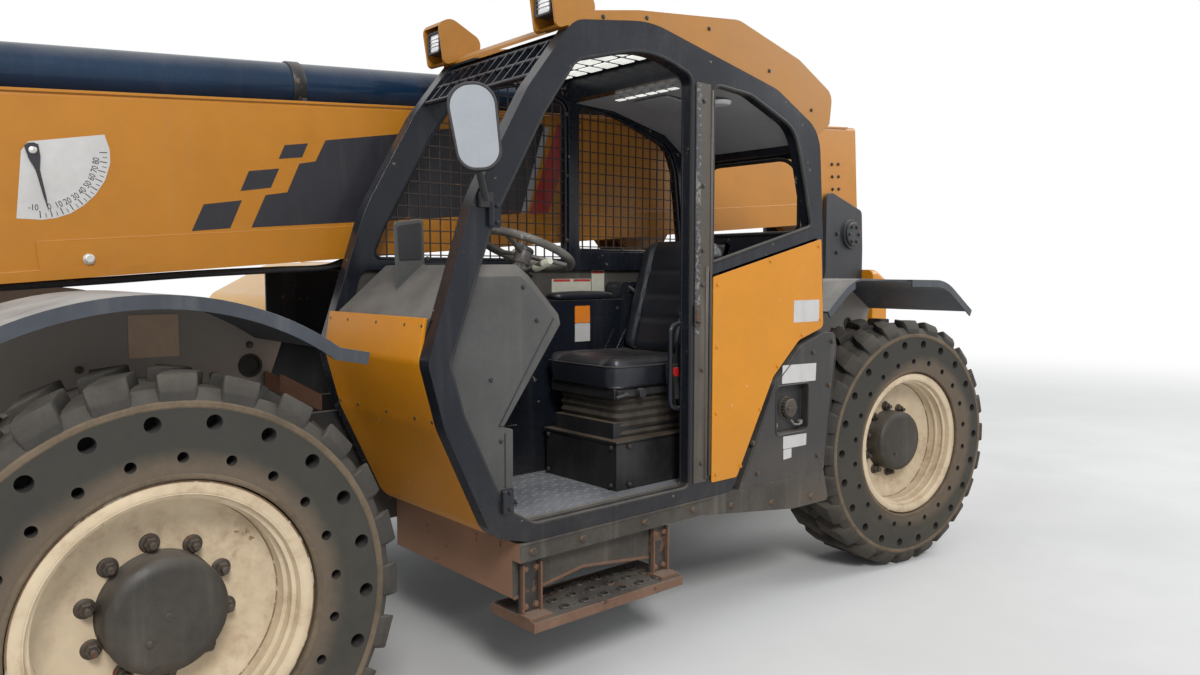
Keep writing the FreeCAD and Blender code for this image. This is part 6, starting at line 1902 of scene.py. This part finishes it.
        form.pipe(smoothed(line), 9.0, 12)
        form.piece("console_cable", HOSE_RUBBER, "root", smooth=60)

    def floor(self) -> None:
        """Raised bars of the tread plate, the sill's strip and two pedals."""
        form = Form()
        row = 0
        x = 150.0
        while x < 628:
            y = 560.0 + (18 if row % 2 else 0)
            while y < 1088:
                lean = 0.7 if (row + int((y - 560) / 36)) % 2 else -0.7
                dx, dy = 11 * math.cos(lean), 11 * math.sin(lean)
                px, py = -2.6 * math.sin(lean), 2.6 * math.cos(lean)
                base = [form.vertex(p) for p in ((x - dx, y - dy, 667.5), (x + px * 1.4, y + py * 1.4, 667.5),
                                                 (x + dx, y + dy, 667.5), (x - px * 1.4, y - py * 1.4, 667.5))]
                tip = [form.vertex(p) for p in ((x - dx * 0.7, y - dy * 0.7, 670.2), (x + px, y + py, 670.6),
                                                (x + dx * 0.7, y + dy * 0.7, 670.2), (x - px, y - py, 670.6))]
                form.loop(base, tip)
                form.mesh.faces.new(tip)
                form.mesh.faces.new(base)
                y += 36
            x += 26
            row += 1
        form.piece("floor_tread", FLOOR_PLATE, "root", smooth=20)
        form = Form()
        form.block((-160, 1092, 668), (640, 1104, 674))
        form.piece("sill_strip", PANEL_GREY, "root", bevel=1.0)
        form = Form()
        for y, width in ((700, 56), (900, 44)):
            form.turn = Matrix.Translation((600, y, 735)) @ Matrix.Rotation(math.radians(-52), 4, "Y")
            form.block((-70, -width, -5), (70, width, 5))
            for k in range(6):
                form.block((-58 + k * 20, -width + 8, 4), (-50 + k * 20, width - 8, 8))
            form.turn = Matrix.Identity(4)
            form.rod((625, y, 740), (664, y, 800), 10)
        form.piece("pedals", BLACK_PLASTIC, "root", bevel=1.5)

    def decals(self) -> None:
        """Blank labels on the right wall and the console."""
        form = Form()
        y = CAB_RIGHT + 40
        for x0, x1, z0, z1 in ((-60, -300, 1432, 1520), (-304, -385, 1432, 1560)):
            form.slab(rectangle(x0, z0, x1, z1, 4, 4), y - 0.3, y + 0.8)
        form.piece("wall_labels", DECAL_BEIGE, "root")
        form = Form()
        for x0, x1, z0, z1 in ((-190, -296, 1507, 1518), (-70, -170, 1507, 1518), (-308, -381, 1545, 1557)):
            form.slab([(x0, z0), (x1, z0), (x1, z1), (x0, z1)], y + 0.5, y + 1.2)
        form.piece("label_tops", DECAL_RED, "root")
        side = CAB_INNER_RIGHT + 125
        for name, finish, low, high in (("console_label", DECAL_WHITE, 1235, 1318),
                                        ("console_label_top", AMBER, 1320, 1398)):
            form = Form()
            form.slab(rectangle(-79, low, -169, high, 4, 4), side - 0.3, side + 0.8)
            form.piece(name, finish, "root")


# Sides, rear and front

@dataclass
class LeftSide:
    """Tank, rail, step and fender details of the machine's left."""

    left: float = CAB_LEFT

    def build(self) -> None:
        """Make each part."""
        self.tank()
        self.rail()
        self.step()
        self.fender_plates()
        self.under()

    def tank(self) -> None:
        """Labels, bolts, cap, recess, drain and seams of the side tank."""
        form = Form()
        for outline in ([(-763, 1046, 4), (-1020, 1041, 4), (-1024, 1124, 4), (-767, 1130, 4)],
                        [(-779, 744, 4), (-779, 802, 4), (-956, 797, 4), (-954, 742, 4)],
                        [(-782, 695, 3), (-782, 741, 3), (-842, 741, 3), (-842, 697, 3)]):
            form.slab(rounded(outline, 4), self.left - 0.3, self.left + 1.0)
        form.piece("tank_labels", DECAL_WHITE, "root")
        form = Form()
        form.side_bolts(self.left, ((-997, 1175), (-1046, 678), (-595, 659), (-1130, 1010), (-560, 800),
                                    (-1150, 1220)), 19, 7)
        form.piece("tank_bolts", NUT_STEEL, "root")
        form = Form()
        form.lathe([(-40, 0), (-40, 52), (-34, 54), (-31, 46), (-31, 0)], (-845, self.left, 926), LEFTWARD, 40,
                   False)
        form.lathe([(-9, 0), (-9, 43), (-4, 40), (-2, 34), (-2, 0)], (-845, self.left, 926), LEFTWARD, 40,
                   False)
        for a, b in circle(20, 45):
            form.rod((a - 845, self.left - 30, b + 926), (a - 845, self.left - 9, b + 926), 3.0, 8)
        form.block((-878, self.left - 9, 920), (-812, self.left + 3, 932))
        form.piece("tank_cap", NUT_STEEL, "root", bevel=1.0)
        form = Form()
        ring = rectangle(-967, 810, -724, 1036, 24, 8)
        form.bead(ring, self.left, 3.5, 10)
        form.block((-955, self.left - 40, 822), (-736, self.left - 36, 1024))
        form.piece("tank_recess_rim", BLACK_PLASTIC, "root", smooth=60)
        form = Form()
        form.rod((-938, self.left - 36, 850), (-938, self.left - 14, 850), 12)
        form.pipe([(-938, self.left - 16, 850), (-915, self.left - 12, 842), (-880, self.left - 14, 846),
                   (-860, self.left - 20, 868)], 5.0, 10)
        form.bolt((-760, self.left - 36, 850), LEFTWARD, 24, 10)
        form.piece("tank_drain", PANEL_GREY, "root", smooth=50)
        form = Form()
        form.pipe([(-1108, self.left + 0.5, 640), (-1180, self.left + 0.5, 1150)], 3.0, 8)
        form.pipe([(-500, self.left + 0.5, 640), (-735, self.left + 0.5, 1062), (-900, self.left + 0.5, 1188)],
                  3.0, 8)
        form.piece("tank_seams", BLACK_PLASTIC, "root", smooth=60)

    def rail(self) -> None:
        """Bolts, lip and skirt of the rail under the cab."""
        form = Form()
        form.side_bolts(self.left, ((650, 572), (420, 572), (100, 572), (-180, 572), (-420, 548), (-700, 512),
                                    (-1000, 490)), 24, 10)
        form.piece("rail_bolts", RUSTY_BLACK, "root")
        form = Form()
        form.slab([(706, 606), (706, 598), (-300, 598), (-300, 606)], self.left - 0.5, self.left + 4)
        form.piece("rail_lip", RUSTY_BLACK, "root", bevel=1.0)
        form = Form()
        form.slab(rounded([(700, 404, 4), (380, 452, 16), (8, 408, 4), (8, 396, 4), (380, 440, 16),
                           (700, 392, 4)], 5), self.left - 62, self.left - 45)
        form.piece("skirt_edge", RUSTY_STEEL, "root", bevel=1.5)

    def step(self) -> None:
        """Collars of the step's holes, its rusty edge and the bolts of its hangers."""
        outer, inner = 1213.0, 953.0
        form = Form()
        for row in range(3):
            for column in range(7):
                x, y = 311 + (column - 3) * 95, outer - 130 + (row - 1) * 75
                form.lathe([(-2, 17.6), (-2, 22), (4, 22), (7, 19.5), (7, 17.2), (4, 17.2)], (x, y, 329.5),
                           UPWARD, 24)
                if column < 6:
                    form.lathe([(-1, 0), (-1, 8), (3.5, 6), (4.5, 0)], (x + 47, y + 6, 329.5), UPWARD, 12,
                               False)
        form.piece("step_grips", STEP_BLACK, "root", smooth=50)
        form = Form()
        rim = [(681, outer), (-59, outer), (-59, inner), (681, inner)]
        rows = []
        for grow, z in ((4, 296), (4, 333), (-4, 333), (-4, 296)):
            rows.append([form.vertex((x + (grow if x > 0 else -grow), y + (grow if y == outer else -grow),
                                      z + 1.5 * math.sin(x * 0.01))) for x, y in rim])
        for first, second in zip(rows, rows[1:] + rows[:1]):
            form.loop(first, second)
        form.piece("step_edge", RUSTY_STEEL, "root", bevel=2.0)
        form = Form()
        for x in (590, -59):
            for dx in (22, 69):
                for z in (362, 500):
                    form.bolt((x + dx, self.left - 36, z), LEFTWARD, 20, 8)
            form.slab([(x - 4, 330), (x + 95, 330), (x + 95, 342), (x - 4, 342)], self.left - 48, self.left
                      + 30)
            for low, high in ((x + 2, x + 10), (x + 81, x + 89)):
                form.slab([(low, 342), (high, 342), (high, 520), (low, 520)], self.left - 48, self.left - 20)
        form.piece("step_hangers", RUSTY_STEEL, "root", bevel=1.2)

    def fender_plates(self) -> None:
        """Blank plate, bolts, grommets and rusty brackets of the fenders."""
        form = Form()
        form.slab(rectangle(1605, 1276, 1758, 1416, 6), 490, 493)
        form.piece("blank_plate_fender", PLATE_TAN, "root", bevel=0.8)
        form = Form()
        for x, z in ((1500, 1200), (1900, 1250), (2150, 1200), (1374, 1300), (-2150, 1200), (-1845, 1250),
                     (-1550, 1200)):
            for side in (1, -1):
                form.bolt((x, 490 * side, z), (0, side, 0), 19, 7)
        form.piece("fender_bolts", NUT_STEEL, "root")
        form = Form()
        for axle_x in (AXLE_X, -AXLE_X):
            for side in (1, -1):
                form.lathe([(0, 0), (0, 36), (9, 36.8), (12, 42), (14, 42), (14, 34), (3, 30), (3, 0)],
                           (axle_x - 471, side * 478, AXLE_Z + 577), (0, side, 0), 36, False)
        form.piece("fender_grommets", RUBBER_SEAL, "root")
        form = Form()
        for side in (1, -1):
            for x0, z0, x1, z1 in ((1330, 1210, 1180, 1120), (-1210, 1300, -1130, 1240)):
                near, far = sorted((side * 500, side * 640))
                outline = rounded([(x0, z0, 8), (x1, z1, 8), (x1, z1 - 60, 8), (x0, z0 - 60, 8)], 4)
                form.slab(outline, near, near + 10)
                form.slab(outline, far - 10, far)
        form.piece("fender_brackets", RUSTY_STEEL, "root", bevel=2.0)

    def under(self) -> None:
        """Brake and hydraulic lines, the drive shaft and the axle bolts under the machine."""
        form = Form()
        for axle_x in (AXLE_X, -AXLE_X):
            sign = 1 if axle_x > 0 else -1
            for side in (1, -1):
                line = [(axle_x - sign * 150, side * 120, 860), (axle_x - sign * 110, side * 260, 800),
                        (axle_x - sign * 60, side * 480, 762), (axle_x - sign * 30, side * 700, 765),
                        (axle_x, side * 780, 800)]
                form.pipe(smoothed(line), 8.0, 10)
                line = [(axle_x + sign * 100, side * 90, 850), (axle_x + sign * 120, side * 250, 770),
                        (axle_x + sign * 100, side * 420, 750), (axle_x + sign * 60, side * 640, 750)]
                form.pipe(smoothed(line), 6.0, 10)
        for y, z in ((200, 590), (160, 580), (-130, 585)):
            line = [(-1500, y, 700), (-1200, y, z + 20), (-600, y, z), (600, y, z), (1100, y, z + 40),
                    (1400, y, 760)]
            form.pipe(smoothed(line), 9.0, 10)
        form.piece("chassis_lines", HOSE_RUBBER, "root", smooth=60)
        form = Form()
        shaft_y = BOOM_Y - 150
        form.rod((1665, shaft_y, 645), (-1665, shaft_y, 645), 38)
        for x in (1600, -1600, 60, -60):
            form.lathe([(-30, 0), (-30, 52), (-18, 62), (18, 62), (30, 52), (30, 0)], (x, shaft_y, 645),
                       FORWARD, 32, False)
        form.piece("drive_shaft", CAST_IRON, "root", bevel=1.5)
        form = Form()
        for axle_x in (AXLE_X, -AXLE_X):
            for a, b in circle(12, 165):
                for side in (1, -1):
                    form.bolt((axle_x + a, side * 150, AXLE_Z + b), (0, side, 0), 19, 8)
            for side in (1, -1):
                for dx in (-55, 55):
                    for dy in (-35, 35):
                        form.bolt((axle_x + dx, side * (KINGPIN_Y + dy - 10), AXLE_Z + 160), UPWARD, 22, 10)
                form.lathe([(0, 0), (0, 40), (9, 40), (12, 34), (12, 0)],
                           (axle_x, side * KINGPIN_Y, AXLE_Z + 160), UPWARD, 32, False)
        form.piece("axle_bolts", NUT_STEEL, "root")


@dataclass
class EngineSide:
    """Hood details, housing trim and the parts on the plain engine of the engine pod."""

    outer: float = POD_OUTER

    def build(self) -> None:
        """Make each part."""
        self.hood()
        self.housing()
        self.engine()

    def hood(self) -> None:
        """Slanted fins in the louvres, latches with their handles, ribs and the front grille."""
        form = Form()
        for row in range(7):
            z = 1130 + 40 * row
            for x in (-850, 250):
                form.slab([(self.outer - 2, z + 15), (self.outer + 11, z + 22), (self.outer + 11, z + 19),
                           (self.outer - 2, z + 12)], x - 4, x + 504, Plane.FRONT)
        form.piece("louvre_fins", BRIGHT_PAINT, "engine_hood")
        form = Form()
        for x in (-560, 480):
            form.block((x - 34, self.outer - 12, 1062), (x + 34, self.outer, 1102))
            form.pipe([(x - 24, self.outer - 12, 1082), (x - 24, self.outer - 34, 1080),
                       (x + 24, self.outer - 34, 1080), (x + 24, self.outer - 12, 1082)], 6.0, 10)
        form.piece("hood_latches", BLACK_PLASTIC, "engine_hood", bevel=2.0)
        form = Form()
        for x in (-800, -300, 200):
            form.block((x, self.outer + 70, 1599), (x + 14, POD_HOOD_EDGE - 60, 1607))
        form.block((-900, self.outer + 160, 1599), (560, self.outer + 172, 1606))
        form.piece("hood_ribs", BRIGHT_PAINT, "engine_hood", bevel=3.0)
        form = Form()
        for row in range(6):
            z = 1100 + row * 46
            form.slab([(-1000, z), (-420, z), (-420, z + 9), (-1000, z + 9)], POD_FRONT_X - 4 - row * 1.2,
                      POD_FRONT_X + 3 - row * 1.2, Plane.FRONT)
        form.piece("hood_grille", BLACK_PLASTIC, "engine_hood", bevel=1.0)

    def housing(self) -> None:
        """Bolts, pressed panels and reflectors of the open-topped housing."""
        form = Form()
        for x in range(-950, 1000, 190):
            for z in (600, 1000):
                form.bolt((x, self.outer, z), RIGHTWARD, 17, 7)
        form.piece("pod_bolts", NUT_STEEL, "root")
        form = Form()
        for rear, front in ((-700, -100), (100, 820)):
            form.slab(rectangle(rear, 640, front, 950, 20), self.outer - 5, self.outer + 1)
        form.piece("pod_panels", BLACK_PAINT, "root", bevel=2.0)
        form = Form()
        for x in (920, -1000):
            form.slab(rectangle(x - 30, 860, x + 30, 900, 6), self.outer - 9, self.outer + 1)
        form.piece("side_reflectors", AMBER, "root", bevel=2.0)

    def engine(self) -> None:
        """Rocker cover, pulleys, fan, filters, manifold and hoses on the engine."""
        form = Form()
        form.block((-420, -900, 1326), (330, -620, 1400))
        for k in range(5):
            form.block((-400 + k * 160, -880, 1398), (-300 + k * 160, -640, 1412))
        form.block((-500, -960, 700), (410, -990, 800))
        form.piece("rocker_cover", BLACK_PLASTIC, "root", bevel=8)
        form = Form()
        for y, z, radius in ((-730, 760, 110), (-730, 1060, 80), (-880, 1180, 55), (-590, 1150, 60)):
            form.lathe([(0, 0), (0, radius), (10, radius), (16, radius - 10), (26, radius - 10), (32, radius),
                        (40, radius), (40, 20), (52, 20), (52, 0)], (430, y, z), FORWARD, 40, False)
        for k in range(7):
            turn = 2 * math.pi * k / 7
            blade = Matrix.Rotation(turn, 4, "X") @ Matrix.Rotation(0.5, 4, "Z")
            form.turn = Matrix.Translation((520, -730, 1060)) @ blade
            form.block((-4, 60, -50), (4, 240, 50))
        form.turn = Matrix.Identity(4)
        form.lathe([(-20, 0), (-20, 70), (30, 70), (30, 0)], (520, -730, 1060), FORWARD, 32, False)
        form.piece("fan_and_pulleys", BLACK_PLASTIC, "root", bevel=1.5, smooth=40)
        form = Form()
        for x in (-300, -160):
            form.rod((x, -1050, 760), (x, -1050, 960), 52)
            form.rod((x, -1050, 960), (x, -1050, 990), 40)
        form.rod((-900, -760, 1150), (-560, -760, 1150), 130)
        form.rod((-900, -760, 1150), (-920, -760, 1150), 110)
        form.piece("filters", CAB_PAINT, "root", bevel=3.0, smooth=40)
        form = Form()
        for k in range(4):
            x = -330 + k * 180
            form.pipe(smoothed([(x, -485, 1200), (x, -440, 1205), (x + 10, -410, 1180), (x + 30, -405, 1120)]),
                      24, 14)
        form.rod((-380, -405, 1110), (320, -405, 1110), 36)
        form.piece("manifold", RUSTY_STEEL, "root", smooth=40)
        form = Form()
        for line in ([(560, -900, 1300), (480, -840, 1360), (420, -800, 1340), (360, -760, 1330)],
                     [(640, -560, 700), (540, -600, 720), (440, -660, 760), (430, -700, 800)],
                     [(-560, -760, 1240), (-520, -740, 1400), (-420, -700, 1440), (-350, -700, 1405)]):
            form.pipe(smoothed(line), 30, 14)
        form.block((620, -1120, 640), (700, -420, 1380))
        form.piece("radiator_hoses", HOSE_RUBBER, "root", bevel=3.0, smooth=40)
        form = Form()
        for k in range(34):
            form.block((616, -1100 + k * 20, 660), (620, -1092 + k * 20, 1360))
        form.piece("radiator_fins", PANEL_GREY, "root")


@dataclass
class Rear:
    """Lamps, bolts, tow pin and plates of the counterweight."""

    x: float = -2997.0

    def build(self) -> None:
        """Make each part."""
        form = Form()
        for y in (BOOM_Y - 250, BOOM_Y + 250):
            form.slab(rectangle(y - 52, 1180, y + 52, 1420, 8), self.x - 24, self.x + 4, Plane.FRONT)
        form.piece("tail_housings", BLACK_PLASTIC, "root", bevel=4)
        for name, finish, low, high in (("tail_red", RED_PLASTIC, 1190, 1300),
                                        ("tail_amber", AMBER, 1306, 1356),
                                        ("tail_white", LAMP_LENS, 1362, 1410)):
            form = Form()
            for y in (BOOM_Y - 250, BOOM_Y + 250):
                form.slab(rectangle(y - 44, low, y + 44, high, 8), self.x - 32, self.x - 22, Plane.FRONT)
                for k in range(5):
                    z = low + (k + 0.5) * (high - low) / 5
                    form.slab([(y - 40, z - 1.5), (y + 40, z - 1.5), (y + 40, z + 1.5), (y - 40, z + 1.5)],
                              self.x - 33.5, self.x - 31, Plane.FRONT)
            form.piece(name, finish, "root", bevel=2.0)
        form = Form()
        for y in (-120, 176):
            for z in (860, 1080, 1300):
                form.bolt((self.x, y, z), (-1, 0, 0), 46, 20)
        for y in (BOOM_Y - 340, BOOM_Y + 340):
            for x, z in ((-2850, 800), (-2850, 1400)):
                form.bolt((x, y, z), (0, 1 if y > 0 else -1, 0), 36, 16)
        form.piece("ballast_bolts", NUT_STEEL, "root")
        form = Form()
        form.slab(rectangle(-90, 740, 146, 830, 10), self.x - 12, self.x + 2, Plane.FRONT)
        form.lathe([(0, 46), (0, 66), (24, 66), (30, 60), (30, 50), (24, 46)], (self.x - 10, 28, 785),
                   (-1, 0, 0), 40)
        form.piece("tow_plate", BLACK_PAINT, "root", bevel=2.0)
        form = Form()
        form.slab(rectangle(-60, 1440, 116, 1500, 6), self.x - 3, self.x + 2, Plane.FRONT)
        form.piece("blank_plate_rear", DECAL_WHITE, "root")


@dataclass
class Front:
    """Head hoses, and the pin caps, stops and ladder of the fork carriage."""

    pin: Flat = (3230.0, 430.0)

    def build(self) -> None:
        """Make each part."""
        form = Form()
        for y in (BOOM_Y - 70, BOOM_Y - 40, BOOM_Y + 50, BOOM_Y + 80):
            line = [(5330, 560, y), (5480, 590, y), (5620, 540, y), (5700, 400, y), (5760, 200, y),
                    (5800, 0, y), (5830, -200, y)]
            form.pipe(along_boom(smoothed(line)), 9.0, 12)
        form.piece("head_hoses", HOSE_RUBBER, "inner_boom", smooth=60)
        x, z = self.pin
        form = Form()
        for side in (1, -1):
            y = BOOM_Y + side * 157
            form.lathe([(0, 0), (0, 56), (8, 56), (11, 50), (11, 0)], (x, y, z), (0, side, 0), 36, False)
            form.side_bolts(y + side * 11, [(x + a, z + b) for a, b in circle(3, 36)], 14, 7, side)
        form.piece("carriage_pin_caps", NUT_STEEL, "fork_carriage", bevel=1.0)
        form = Form()
        bar_x = x + 170
        for y in (-480, -280, 336, 536):
            for zz in (z + 400, z - 30):
                form.bolt((bar_x + 40, y, zz), FORWARD, 26, 11)
        for side in (1, -1):
            y = BOOM_Y + side * 360
            for low in (y - 78, y + 68):
                form.block((bar_x + 38, low, z + 420), (bar_x + 96, low + 10, z + 478))
        form.piece("fork_stops", BLACK_PAINT, "fork_carriage", bevel=2.0)
        form = Form()
        for side in (1, -1):
            y = BOOM_Y + side * 565
            for k in range(5):
                form.rod((bar_x + 15, y, z - 20 + k * 90), (bar_x + 15, y + side * 34, z - 20 + k * 90), 12)
            form.rod((bar_x + 15, y + side * 32, z - 50), (bar_x + 15, y + side * 32, z + 440), 9)
        form.piece("carriage_ladder", BLACK_PAINT, "fork_carriage")


# Surroundings

@dataclass
class Studio:
    """Pale floor, soft light and the camera."""

    eye: Point = (2491.3, 3617.6, 1557.1)
    yaw: float = -0.721
    pitch: float = 0.075
    lens: float = 26.58
    sensor: float = 36.0
    reach: float = 60.0
    floor_tones: tuple[Colour, Colour] = ((0.60, 0.60, 0.59), (0.66, 0.66, 0.65))
    fade: Flat = (4.5, 16.0)
    sky: Colour = (0.93, 0.96, 1.0)
    sky_strength: float = 0.62

    def build(self) -> None:
        """Make the floor, the lights, the background and the camera."""
        self.floor()
        self.world()
        self.lights()
        self.camera()

    def floor(self) -> None:
        """Lay the pale floor, which fades into the white background far from the machine."""
        graph = Graph("studio_floor")
        tone = graph.noise(0.6, 4.0).between(0.3, 0.7)
        far = graph.node("ShaderNodeVectorMath", {"operation": "LENGTH"},
                         {0: graph.coordinates.outputs["Object"]})
        fade = Wire(graph, far.outputs["Value"]).between(*self.fade)
        graph.feed("Base Color", graph.mix(fade, graph.mix(tone, *self.floor_tones), BLACK))
        graph.feed("Emission Color", graph.mix(fade, BLACK, WHITE))
        graph.feed("Emission Strength", 1.0)
        graph.feed("Specular IOR Level", 0.0)
        graph.feed("Roughness", 0.85)
        data = bpy.data.meshes.new("studio_floor")
        corners = [(self.reach * a, self.reach * b, 0) for a, b in ((-1, -1), (1, -1), (1, 1), (-1, 1))]
        data.from_pydata(corners, [], [(0, 1, 2, 3)])
        data.materials.append(graph.material)
        floor = bpy.data.objects.new("studio_floor", data)
        bpy.context.scene.collection.objects.link(floor)

    def world(self) -> None:
        """Set a background that is white to the camera and in reflections, and a softer light elsewhere."""
        world = bpy.data.worlds.new("studio_sky")
        bpy.context.scene.world = world
        world.use_nodes = True
        world.node_tree.nodes.clear()
        graph = Graph.over(world.node_tree)
        ray = graph.node("ShaderNodeLightPath", {}, {})
        shown = sum((Wire(graph, ray.outputs[kind]) for kind in ("Is Glossy Ray", "Is Transmission Ray")),
                    Wire(graph, ray.outputs["Is Camera Ray"])).between(0.0, 1.0)
        light = graph.node("ShaderNodeBackground", {}, {"Color": self.sky, "Strength": self.sky_strength})
        seen = graph.node("ShaderNodeBackground", {}, {"Color": WHITE, "Strength": 1.0})
        both = graph.node("ShaderNodeMixShader", {}, {0: shown, 1: light.outputs[0], 2: seen.outputs[0]})
        graph.node("ShaderNodeOutputWorld", {}, {0: both.outputs[0]})

    def lights(self) -> None:
        """Hang three large soft lights."""
        for name, spot, aim, size, power in (
            ("key", (3.5, 8.5, 7.5), (-0.8, 0.4, 1.0), 2.6, 760.0),
            ("fill", (8.0, -2.0, 5.0), (0.0, 0.0, 1.0), 6.0, 300.0),
            ("rear", (-8.0, 3.0, 6.0), (-0.5, 0.5, 1.0), 5.0, 320.0),
        ):
            data = bpy.data.lights.new(name, "AREA")
            data.shape = "SQUARE"
            data.size = size
            data.energy = power
            lamp = bpy.data.objects.new(name, data)
            lamp.location = spot
            lamp.rotation_euler = (Vector(aim) - Vector(spot)).to_track_quat("-Z", "Y").to_euler()
            bpy.context.scene.collection.objects.link(lamp)

    def camera(self) -> None:
        """Stand the camera where the view is taken from."""
        data = bpy.data.cameras.new("camera")
        data.lens = self.lens
        data.sensor_width = self.sensor
        data.clip_end = 200.0
        eye = place(self.eye)
        look = Vector((math.sin(self.yaw) * math.cos(self.pitch), -math.cos(self.yaw) * math.cos(self.pitch),
                       -math.sin(self.pitch)))
        made = bpy.data.objects.new("camera", data)
        made.location = eye
        made.rotation_euler = look.to_track_quat("-Z", "Y").to_euler()
        bpy.context.scene.collection.objects.link(made)
        bpy.context.scene.camera = made
        bpy.context.scene.view_settings.view_transform = "Standard"


BUILDERS: tuple[type, ...] = (CadDress, Wheels, BoomGraphics, BoomDetail, CabShell, CabInside, LeftSide,
                              EngineSide, Rear, Front, Studio)


def main() -> None:
    """Build every sub-assembly."""
    logging.basicConfig(level=logging.INFO, format="%(message)s")
    for builder in BUILDERS:
        LOG.info("building %s", builder.__name__)
        builder().build()
    bpy.context.view_layer.update()


if __name__ == "__main__":
    main()
